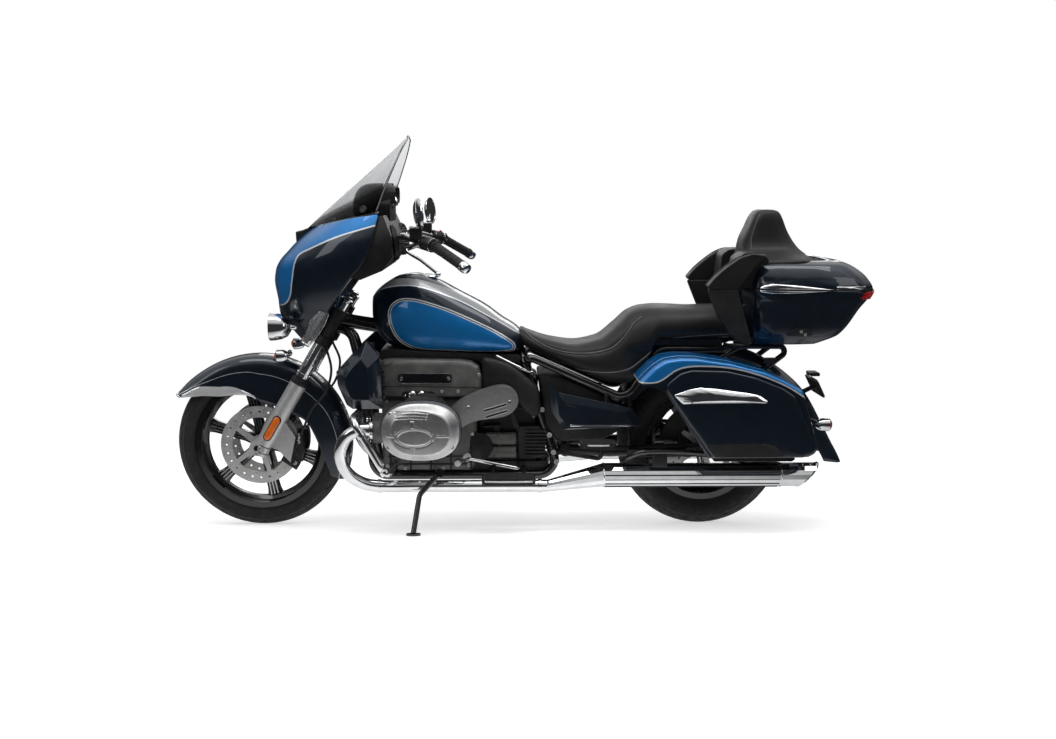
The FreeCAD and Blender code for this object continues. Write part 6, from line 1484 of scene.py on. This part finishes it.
def make_engine_seams():
    seams = Form().tube([(468, -177, 566), (600, -177.4, 566), (849, -177, 562)], 1.5, 6)
    seams.tube([(474, -176.6, 530), (600, -177, 528), (846, -176.6, 528)], 1.5, 6)
    seams.tube([(495, -176.6, 640), (520, -174, 660)], 1.2, 6)
    seams.twin().build("engine_seams", ENGINE_DARK, sharp=0)
    bolts = Form().bolts(((478, 548), (700, 546), (760, 546), (838, 546), (478, 632), (838, 610)),
                         -175.4, 6.5, 4)
    bolts.bolts(((492, 258), (492, 505), (560, 250), (700, 250), (800, 262), (800, 505), (812, 380)),
                -151, 7, 5)
    bolts.bolts(((846, 588), (1046, 588), (1046, 440), (1046, 250), (860, 250), (950, 246)), -93, 7, 5)
    bolts.twin().build("engine_bolts", STEEL)
    ribs = Form()
    for x in range(500, 805, 76):
        ribs.slab(x, 242, x + 7, 330, 2, -150, -157)
    for z in (262, 292):
        ribs.slab(494, z, 806, z + 6, 2, -150, -155)
    for z in (300, 384, 468):
        ribs.slab(850, z, 1050, z + 6, 2, -92, -99)
    ribs.twin().build("engine_ribs", BLACK_CAST, bevel=1.5)


def make_gearbox_details():
    drums, fins, head, rods = Form(), Form(), Form(), Form()
    for z in (356, 305):
        drums.lathe([(0.01, 0), (22, 0), (24, 3), (24, 46), (26, 48), (26, 56), (24, 58), (24, 112),
                     (21, 116), (0.01, 116)], (862, -118, z), X, 40)
    drums.twin().build("gearbox_cylinders", ENGINE_GREY)
    neck = Form().lathe([(0.01, 0), (52, 0), (54, 4), (54, 30), (50, 36), (40, 38), (0.01, 38)],
                        (836, -112, 330), -Y, 60)
    neck.prism(rounded([(846, 404), (918, 410), (914, 388), (898, 386), (892, 400), (866, 398)], 4),
               -92, -124)
    neck.twin().build("starter_housing", BLACK_CAST, bevel=2)
    fins.prism(rounded([(984, 404), (1066, 404), (1090, 372), (1090, 284), (990, 280)], 12, 5), -92, -126)
    for n in range(8):
        z = 292 + 13.4 * n
        fins.slab(1012, z, 1094, z + 4.5, 1.2, -120, -138)
    fins.twin().build("finned_housing", ENGINE_DARK, bevel=1.6)
    for n in range(9):
        y = -300 - 9.6 * n
        head.prism(rounded([(470, 402), (512, 398), (512, 482), (470, 478)], 6), y, y - 4.2)
    head.twin().build("head_fins", CAST, bevel=0.8)
    for x, z in ((654.8, 358), (613.2, 332)):
        rods.tube([(x, -160, z), (x, -296, z)], 9, 16)
    rods.twin().build("push_rod_tubes", CHROME)
    filler = Form().lathe([(0.01, 0), (19, 0), (19, 10), (16, 13), (0.01, 13)], (792, -151, 470), -Y, 30)
    filler.lathe([(0.01, 0), (16, 0), (17, 3), (17, 8), (14, 10), (0.01, 10)], (792, -151, 292), -Y, 8)
    filler.twin().build("oil_fittings", SATIN)
    hoses = Form().tube([(468, -120, 560), (430, -150, 540), (426, -160, 400), (452, -140, 300),
                         (476, -120, 280)], 9, 14, bend=40)
    hoses.tube([(852, -160, 596), (930, -168, 560), (970, -150, 430), (985, -120, 396)], 8, 14, bend=40)
    hoses.twin().build("engine_hoses", RUBBER)


make_valve_covers()
make_intakes()
make_engine_plates()
make_engine_seams()
make_gearbox_details()


# Exhaust and guards

HEADER = [(457, -330, 430), (410, -331, 429), (366, -328, 410), (340, -320, 368), (334, -310, 326),
          (346, -298, 280), (380, -280, 238), (430, -262, 211), (500, -253, 203), (600, -252, 203),
          (800, -252, 203), (1090, -252, 203)]
MUFFLER_Y, MUFFLER_Z, MUFFLER_WIDE, MUFFLER_TALL = -252, 244, 54, 44
PIPE_RADIUS, PIPE_HEIGHT = 23, 203


def spline(points, count):
    """A smooth path through points, at even steps."""
    places = np.array(points, dtype=float)
    before, after = 2 * places[0] - places[1], 2 * places[-1] - places[-2]
    padded = np.vstack([before, places, after])
    dense = []
    for a, b, c, d in zip(padded, padded[1:], padded[2:], padded[3:]):
        for n in range(16):
            s = n / 16
            dense.append(0.5 * (2 * b + (c - a) * s + (2 * a - 5 * b + 4 * c - d) * s * s
                                + (3 * b - a - 3 * c + d) * s ** 3))
    dense.append(places[-1])
    dense = np.array(dense)
    length = np.concatenate([[0], np.cumsum(np.linalg.norm(np.diff(dense, axis=0), axis=1))])
    at = np.linspace(0, length[-1], count)
    return [[np.interp(s, length, dense[:, k]) for k in range(3)] for s in at]


def muffler_loop(x, share):
    turns = [math.pi * (n + 0.5) / 8 for n in range(16)]
    return [vec(x, MUFFLER_Y + MUFFLER_WIDE * share * math.cos(turn),
                MUFFLER_Z + MUFFLER_TALL * share * math.sin(turn)) for turn in turns]


def muffler_end(share, shift):
    """The muffler's outline on its slanted end, scaled and set back."""
    loop = muffler_loop(0, share)
    return [vec(2020 + (p.z - 200) / 1.1 + shift, p.y, p.z) for p in loop]


def make_exhaust():
    Form().tube(spline(HEADER, 110), PIPE_RADIUS, 40).twin().build("header_pipes", CHROME,
                                                          replaces=("exhaust_headers",))
    creases, rings = Form(), Form()
    for n, corner in enumerate(muffler_loop(0, 0.985)[4:12]):
        creases.tube([corner + X * 1304, corner + X * 1950], 2.8 if n % 2 else 1.6, 8)
    creases.twin().build("muffler_creases", BLACK_PLASTIC, slot="black_metal", sharp=0)
    rings.lathe([(22, -2), (31, -2), (33, 1), (33, 9), (30, 13), (22, 13)], HEADER[0], -X, 44, ring=True)
    for x in (470, 1064):
        rings.lathe([(22, -7), (25.5, -7), (26.5, -4), (26.5, 5), (25.5, 8), (22, 8)],
                    (x, MUFFLER_Y, PIPE_HEIGHT), X, 44, ring=True)
    for x in (1300, 1958):
        rings.hoop(muffler_loop(x, 1.02), 2.2, 8)
    for z in (392, 468):
        rings.bolt((448, -330, z), -X, 7, 14)
    rings.slab(440, 380, 447, 480, 3, -318, -342)
    rings.twin().build("exhaust_rings", CHROME)
    ends = Form().grid([muffler_end(share, shift) for share, shift in (
        (1.0, 1.5), (0.99, 4), (0.9, 5), (0.86, 4), (0.84, -2), (0.83, -26), (0.02, -30))], loop=True)
    ends.twin().build("muffler_ends", BLACK_CAST, sharp=35)
    Form().hoop(muffler_end(1, 1), 3, 8).twin().build("muffler_tips", CHROME)


def make_guards():
    clamp = Form()
    for x, z in ((502, 284), (420, 420)):
        clamp.lathe([(13.5, -8), (16, -8), (16.6, -5), (16.6, 5), (16, 8), (13.5, 8)],
                    (x, -392, z), (-0.5, 0, 0.86), 32, ring=True)
    clamp.twin().build("guard_clamps", CHROME)
    bar = Form().tube([(1372, -262, 300), (1388, -300, 318), (1424, -322, 340), (1470, -326, 346),
                       (1640, -318, 340), (1760, -306, 318)], 9, 14, bend=60)
    bar.prism(rounded([(1700, 306), (1990, 306), (2004, 316), (1990, 326), (1700, 326)], 5), -222, -318)
    bar.box((1476, -318, 286), (1530, -300, 344))
    bar.twin().build("case_guards", BLACK_GLOSS, bevel=2)


make_exhaust()
make_guards()


# Fenders: stations of an angle round the axle, and the crown's and skirt's shares of the radius

FRONT_FENDER = [
    (148, 1.076, 1.017), (141, 1.064, 0.887), (126, 1.032, 0.692), (110, 1.012, 0.61),
    (98, 1.003, 0.561), (87, 1.0, 0.488), (65, 0.991, 0.471), (42, 0.988, 0.517),
    (28, 0.991, 0.576), (9, 1.0, 0.619), (-9, 1.006, 0.698), (-24, 1.012, 0.849)]
REAR_FENDER = [
    (-7, 1.397, 1.19), (3, 1.266, 1.063), (14, 1.185, 0.937), (27, 1.137, 0.861),
    (47, 1.063, 0.81), (70, 1.018, 0.772), (90, 1.0, 0.759), (120, 0.975, 0.785),
    (150, 0.942, 0.835), (162, 0.93, 0.865)]
ARCH = [(1, 0), (0.985, 0.34), (0.9, 0.66), (0.68, 0.89), (0.36, 0.98), (0, 1)]
FRONT_CROWN, FRONT_HALF = 344, 80.7
REAR_CROWN, REAR_HALF = 394.5, 110
FENDER_TABLE = np.array(sorted(monotone(FRONT_FENDER, 160)))


def spring_of(crown, low, top):
    """Where the arch starts above the skirt."""
    return top - min(crown * 0.2, (top - low) * 0.8)


def fender_rows(centre, crown, half, stations, steps):
    """Arch sections round a wheel, and for each point how high it sits on the skirt."""
    arch = smooth(ARCH, 18)
    rows, heights = [], []
    for angle, crown_share, skirt_share in monotone(stations, steps):
        top, low = crown * crown_share, crown * skirt_share
        spring = spring_of(crown, low, top)
        side = [(half, low + (spring - low) * n / 10) for n in range(10)]
        side += [(half * wide, spring + (top - spring) * up) for wide, up in arch]
        rows.append([around(centre, r, angle, -y) for y, r in side]
                    + [around(centre, r, angle, y) for y, r in side[-2::-1]])
        levels = [r - (low + (top - low) * 0.6) for y, r in side]
        heights += levels + levels[-2::-1]
    return rows, heights


def fender_edge(angle):
    """The front fender's skirt, arch start and crown at an angle, from the axle."""
    top, low = (FRONT_CROWN * float(np.interp(angle, FENDER_TABLE[:, 0], FENDER_TABLE[:, n]))
                for n in (1, 2))
    return low, spring_of(FRONT_CROWN, low, top), top


def fender_y(angle, radius):
    """Where the front fender's left side lies."""
    _, spring, top = fender_edge(angle)
    up = min(1.0, max(0.0, (radius - spring) / (top - spring)))
    return -FRONT_HALF * float(np.interp(up, [p[1] for p in ARCH], [p[0] for p in ARCH]))


def make_fenders():
    rows, heights = fender_rows(FRONT, FRONT_CROWN, FRONT_HALF, FRONT_FENDER, 120)
    outward(Form().grid(rows).build(
        "front_fender_skin", PAINT_FENDER, "steering", sharp=50, thick=3.6, closed=False,
        marks={"mark": np.clip(heights, -50, 50)}, replaces=("front_fender",)))
    rows, heights = fender_rows(REAR, REAR_CROWN, REAR_HALF, REAR_FENDER, 110)
    outward(Form().grid(rows).build("rear_fender_skin", PAINT, sharp=50, thick=3.6, closed=False,
                                    replaces=("rear_fender",)))
    rows = []
    for share in np.linspace(0, 1, 70):
        angle = 147.4 - 54 * share
        low = fender_edge(angle)[0]
        foot = around(FRONT, low, angle)
        tall = 30 * step(share, -0.05, 0.16) * (1 - step(share, 0.42, 1.0)) + 1.5
        row = [vec(foot.x, fender_y(angle, low) + 2, foot.z - 2.5)]
        for k in range(7):
            spot = vec(foot.x, 0, foot.z + tall * k / 6 - 2.2 * (k == 0))
            arm = spot - FRONT
            bent, r = math.degrees(math.atan2(arm.z, arm.x)), math.hypot(arm.x, arm.z)
            bulge = 2.2 + 1.6 * math.sin(math.pi * k / 6)
            row.append(vec(spot.x, fender_y(bent, r) - bulge, spot.z))
        rows.append(row + [row[-1] + vec(0, 3, 0.6)])
    # The side trim's bright white share is a painted reflection of its chrome
    Form().grid(rows).twin().build("fender_side_trim", TRIM_PAINTED_SHINE, "steering", sharp=60, thick=1.5,
                                   closed=False)
    tip = FRONT_FENDER[0][0]
    low, spring, top = fender_edge(tip)
    edge = [(FRONT_HALF, low)] + [(FRONT_HALF * wide, spring + (top - spring) * up)
                                  for wide, up in smooth(ARCH, 18)]
    path = [around(FRONT, r, tip, -y) for y, r in edge] + [around(FRONT, r, tip, y)
                                                           for y, r in edge[-2::-1]]
    Form().tube(path, 3.4, 10).build("fender_tip_trim", CHROME, "steering", sharp=0)
    brace = Form().tube([around(FRONT, 340, 62, -84), around(FRONT, 300, 61, -86),
                         around(FRONT, 214, 60, -86)], 5, 12)
    for r in (236, 276):
        brace.bolt(around(FRONT, r, 61, -84), -Y, 6, 5)
    brace.twin().build("fender_brackets", BLACK_CAST, "steering")


make_fenders()


# Fork, brakes and their lines

RAKE = math.radians(30.3)
FORK = vec(math.sin(RAKE), 0, math.cos(RAKE))


def fork_at(along):
    """A place on the left fork leg's axis."""
    return FRONT + vec(15, -113, 0) + FORK * along


def make_fork():
    dark, bright, amber, fixings, pots = Form(), Form(), Form(), Form(), Form()
    for form, steps, profile in (
            (dark, 44, [(24.6, 280), (33, 280), (34, 284), (33, 296), (29, 302), (27, 303), (27, 309),
                        (24.6, 310)]),
            (dark, 40, [(31, -18), (33.6, -17), (33.6, -15), (31, -14)]),
            (dark, 40, [(31, 8), (33.6, 9), (33.6, 11), (31, 12)]),
            (dark, 44, [(24.6, 452), (26.6, 452), (27, 455), (27, 596), (26.6, 599), (24.6, 599)]),
            (bright, 44, [(24.6, 311), (27.5, 312), (27.5, 326), (24.6, 327)])):
        form.lathe(profile, fork_at(0), FORK, steps, ring=True)
    bright.lathe([(0.01, 640), (26, 640), (27, 644), (27, 652), (20, 656), (18, 664), (0.01, 665)],
                 fork_at(0), FORK, 40)
    for form, reach, width, y, rings in (
            (amber, 36, 26, -141, [(1, 0), (1, 9), (0.95, 12), (0.84, 13.4), (0.5, 14), (0.02, 14)]),
            (dark, 37, 33, -138, [(1, 0), (1, 7), (0.96, 9.5), (0.02, 9.5)])):
        low, high = fork_at(88 - reach), fork_at(88 + reach)
        form.patch(pill(low.x, low.z, high.x, high.z, width), y, rings)
    dark.twin().build("fork_seals", BLACK_PLASTIC, "steering", slot="black_rubber")
    bright.twin().build("fork_trim", CHROME, "steering")
    amber.twin().build("fork_reflectors", AMBER, "steering", slot="black_plastic", sharp=55)
    for along in (0, -22):
        fixings.bolt(fork_at(along) + vec(-4, -30, 0), -Y, 9, 7)
    for angle, r in ((-26, 150), (6, 150), (-10, 112)):
        fixings.bolt(around(FRONT, r, angle, -97), -Y, 8, 5)
    fixings.twin().build("fork_fixings", STEEL, "steering")
    for angle in (-24, -10, 4):
        pots.lathe([(0.01, 0), (19, 0), (19, 5), (16, 8), (12, 8), (11, 6), (0.01, 6)],
                   around(FRONT, 131, angle, -96), -Y, 30)
    corners = [around(FRONT, r, angle) for r, angle in
               ((104, -31), (163, -31), (165, -10), (163, 11), (104, 11))]
    pots.prism(rounded([(p.x, p.z) for p in corners], 7), -58, -97)
    pots.twin().build("caliper_covers", BLACK_CAST, "steering", bevel=2.5)
    lines = Form().tube([(236, -60, 776), (262, -96, 700), (284, -134, 620), (262, -138, 540),
                         (206, -128, 470), (172, -104, 398), (150, -92, 356)], 4.6, 12, bend=50)
    lines.twin().build("front_brake_lines", BLACK_PLASTIC, "steering", slot="black_rubber")
    Form().lathe([(0.01, 0), (7, 0), (7, 22), (5.4, 24), (0.01, 24)], (150, -92, 348), (0.2, 0, 1),
                 14).twin().build("brake_line_ends", STEEL, "steering")
    rows = []
    for share in np.linspace(0, 1, 30):
        bow = math.sin(math.pi * share)
        at, wide = vec(200 + 78 * share, -232 - 10 * bow, 728 + 122 * share), 15 + 9 * bow
        rows.append([at + vec(k * wide, -3 * (1 - k * k), -k * wide * 0.55)
                     for k in (-1, -0.6, -0.2, 0.2, 0.6, 1)])
    Form().grid(rows).twin().build("wind_deflectors", GLASS, "steering", sharp=0, thick=3, closed=False)


make_fork()


# Leg shields, side covers and the parts behind the engine

def facets(outline, middle, shares, shift, y_edge, y_crest, back):
    """A creased panel: an outline, raised to a smaller polygon inside it."""
    crest = [(middle[0] + (x - middle[0]) * shares[0] + shift[0],
              middle[1] + (z - middle[1]) * shares[1] + shift[1]) for x, z in outline]
    return Form().grid([[(x, y, z) for x, z in line] for line, y in
                        ((outline, back), (outline, y_edge), (crest, y_crest))], loop=True, caps=True)


def make_shields():
    outline = [(317 + 168 * a, 493.3 + 249.7 * b) for a, b in
               ((0.667, 1), (0.298, 0.777), (0, 0.553), (0.03, 0.354), (0.22, 0.06), (0.345, 0),
                (1, 0), (0.95, 0.777))]
    facets(outline, (410, 596), (0.52, 0.6), (-8, 0), -252, -299, -198).twin().build(
        "leg_shield_panels", PAINT, sharp=14, bevel=2.2, replaces=("leg_shields",))
    grille, fins = Form(), Form()
    for z in range(636, 530, -21):
        grille.prism([(470, z), (489, z + 3), (489, z + 10), (470, z + 8)], -180, -250)
    grille.twin().build("shield_louvres", BLACK_PLASTIC, bevel=1.2)
    cooler = Form().prism(rounded([(392, 500), (424, 500), (416, 690), (386, 690)], 8), -120, -196)
    cooler.twin().build("oil_coolers", ENGINE_DARK, bevel=2)
    for n in range(22):
        z = 510 + 8.2 * n
        fins.box((388 - 0.03 * n, -194, z), (393, -122, z + 1.6))
    fins.twin().build("oil_cooler_fins", SATIN, sharp=20)


def make_side_covers():
    outline = [(1097 + 363 * a, 398 + 197 * b) for a, b in
               ((0, 1), (0.11, 0.726), (0.879, 0.421), (1, 0.071), (0.16, 0), (0.036, 0.365))]
    facets(outline, (1250, 455), (0.8, 0.72), (0, -8), -172, -181, -166).twin().build(
        "side_cover_panels", PAINT, sharp=14, bevel=2, replaces=("side_covers",))
    stay = Form().tube([(1316, -168, 470), (1318, -160, 530), (1320, -152, 546)], 8, 14, bend=12)
    stay.twin().build("side_cover_stays", BLACK_CAST)
    strip = Form().patch(pill(1183, 417, 1404, 417, 7), -176, [(1, 0), (1, 6), (0.97, 7.4), (0.02, 7.6)])
    strip.prism(rounded([(1160, 498), (1200, 486), (1200, 489), (1160, 501)], 1), -180, -184)
    strip.twin().build("side_cover_strips", CHROME, sharp=50)
    for name, outline, radii, count, y, rings in (
            ("air_box", [(848, 676), (900, 668), (960, 644), (1010, 606), (1062, 560), (1072, 470),
                         (1050, 440), (1010, 470), (990, 520), (930, 500), (852, 560)],
             [12, 40, 60, 50, 40, 40, 20, 30, 30, 40, 10], 110, -70,
             [(1, 0), (1, 84), (0.985, 94), (0.95, 102), (0.86, 108), (0.6, 112), (0.02, 112)]),
            ("tank_undertray", [(462, 700), (700, 690), (990, 676), (1000, 648), (850, 655), (470, 655)],
             [20, 60, 10, 8, 40, 10], 80, 0, [(1, 0), (1, 122), (0.98, 130), (0.02, 134)]),
            ("battery_box", [(1060, 606), (1150, 596), (1290, 536), (1392, 480), (1400, 400),
                             (1300, 350), (1140, 345), (1090, 400)],
             [10, 20, 40, 20, 20, 30, 30, 30], 90, 0,
             [(1, 0), (1, 116), (0.97, 128), (0.9, 134), (0.02, 136)])):
        Form().patch(even(outline, radii, count), y, rings).twin().build(name, BLACK_PLASTIC, sharp=50)


def make_rails():
    rails = Form().tube([(905, -148, 655), (985, -152, 606), (1016, -140, 592)], 7, 14, bend=24)
    rails.tube([(902, -150, 676), (1000, -150, 628), (1040, -132, 612)], 7, 14, bend=24)
    rails.bolts(((905, 655), (1012, 594), (1036, 614)), -158, 7, 4).twin().build("side_rails", CHROME)
    tray = Form().prism(rounded([(476, 264), (470, 244), (500, 220), (1076, 220), (1106, 250),
                                 (1100, 268)], 10), -30, -104)
    tray.twin().build("engine_tray", BLACK_CAST, bevel=3)
    Form().tube([(1700, -128, 636), (1742, -128, 664), (1836, -128, 712), (1860, -128, 714)], 9, 14,
                bend=20).twin().build("rack_front_struts", BLACK_GLOSS)
    nuts = Form().bolts(((1120, 305), (1132, 268), (1010, 660), (1076, 470), (1104, 372)), -128, 10, 7)
    nuts.bolts(((440, 250),), -110, 9, 6).bolts(((404, 560), (380, 646)), -76, 9, 6)
    nuts.twin().build("frame_bolts", STEEL)


make_shields()
make_side_covers()
make_rails()


# Footboards, tail lamps, plate holder

def make_boards():
    rubber, rim, toe = Form(), Form(), Form()
    for count, y, pitch, x, z in ((9, -268, 12, (860, 866, 1030, 1036), 251),
                                  (5, -224, 15, (1218, 1226, 1328, 1338), 369)):
        for n in range(count):
            rubber.tube([(x[0], y - pitch * n, z), (x[1], y - pitch * n, z + 2),
                         (x[2], y - pitch * n, z + 2), (x[3], y - pitch * n, z)], 2.6, 8)
    rubber.box((856, -368, 249), (1040, -266, 252)).box((1215, -296, 367), (1341, -220, 370))
    rubber.twin().build("board_rubbers", RUBBER, sharp=25)
    rim.tube([(856, -268, 246), (852, -366, 246), (862, -373, 246), (1034, -373, 246),
              (1044, -366, 246), (1042, -268, 246)], 3.2, 10, bend=8)
    rim.tube([(1213, -224, 364), (1211, -296, 364), (1218, -301, 364), (1338, -301, 364),
              (1345, -296, 364), (1343, -224, 364)], 3, 10, bend=6)
    rim.twin().build("board_rims", SATIN)
    for y in (-310, -298, -286):
        toe.lathe([(11.8, -3), (14, -3), (14, 3), (11.8, 3)], (762, y, 302), Y, 20, ring=True)
    toe.twin().build("toe_pegs", RUBBER)


def make_tail():
    spot = (2154, -206, 424)
    body = Form().lathe([(0.01, 57), (8, 56), (17, 48), (23, 34), (25, 14), (25, 4), (22.5, 2), (22, 6),
                         (0.01, 6)], spot, -X, 44)
    body.tube([(2120, -182, 424), (2112, -150, 424), (2108, -112, 424)], 8, 14, bend=12)
    body.twin().build("rear_signal_shells", CHROME, replaces=("rear_lamps",))
    lens = Form().lathe([(0.01, 8), (10, 7), (18, 3), (22, -3), (22, -6), (0.01, -6)], spot, X, 44)
    lens.twin().build("rear_signal_lenses", RED)
    centre = around(REAR, 496, 26)
    out = (centre - REAR).normalized()
    up = vec(-out.z, 0, out.x)

    def tile(half_wide, half_tall, corner, share=1.0, lift=0.0):
        """The plate's outline across its slanted holder."""
        points = rounded([(-half_wide, -half_tall), (half_wide, -half_tall), (half_wide, half_tall),
                          (-half_wide, half_tall)], corner, 5)
        return [centre + Y * y * share + up * h * share + out * lift for y, h in points]

    Form().grid([tile(84, 33, 5, share, lift) for share, lift in
                 ((1, 6.5), (1, 8.2), (0.99, 9), (0.02, 9))], loop=True, caps=True).build(
        "number_plate_blank", PLATE_GREY)
    edge = Form().hoop(tile(88, 36, 8, lift=7), 2.6, 8)
    for y in (-70, 70):
        edge.bolt(centre + Y * y + out * 8.6, out, 6, 3)
    edge.build("plate_frame", CHROME)
    Form().box(centre + vec(-24, -38, 44), centre + vec(14, 38, 58)).build(
        "plate_lamp", BLACK_PLASTIC, bevel=4)
    low = around(REAR, 478, 1)
    Form().box(low + vec(-2, -36, -12), low + vec(9, 36, 14)).build("rear_reflector", RED, bevel=3)


def make_tank_fittings():
    at = vec(640, 0, tank_top(640) - 4)
    ring = Form().lathe([(38, -6), (46, -4), (47, 1), (45, 4), (40, 5.4), (37, 4), (36, 0)], at, Z, 64,
                        ring=True)
    ring.lathe([(0.01, 9), (16, 9), (22, 8), (27, 5), (28, 2), (0.01, 2)], at, Z, 48)
    for n in range(6):
        turn = math.radians(30 + 60 * n)
        ring.bolt(at + vec(41 * math.cos(turn), 41 * math.sin(turn), 3), Z, 3.2, 2.4)
    ring.build("filler_ring", CHROME)
    Form().lathe([(0.01, 3.2), (30, 3.2), (36, 1.6), (37, -3), (0.01, -3)], at, Z, 60).build(
        "filler_cap", BLACK_GLOSS, slot="black_plastic")
    seam = Form()
    for y in (-52, 52):
        line = []
        for x in range(520, 961, 40):
            off = abs(x - 700) / 260
            line.append((x, y * (1 - 0.25 * off), tank_top(x) - 4.4 - 2 * off))
        seam.tube(line, 1.3, 6)
    seam.build("console_lines", BLACK_PLASTIC, sharp=0)


make_boards()
make_tail()
make_tank_fittings()
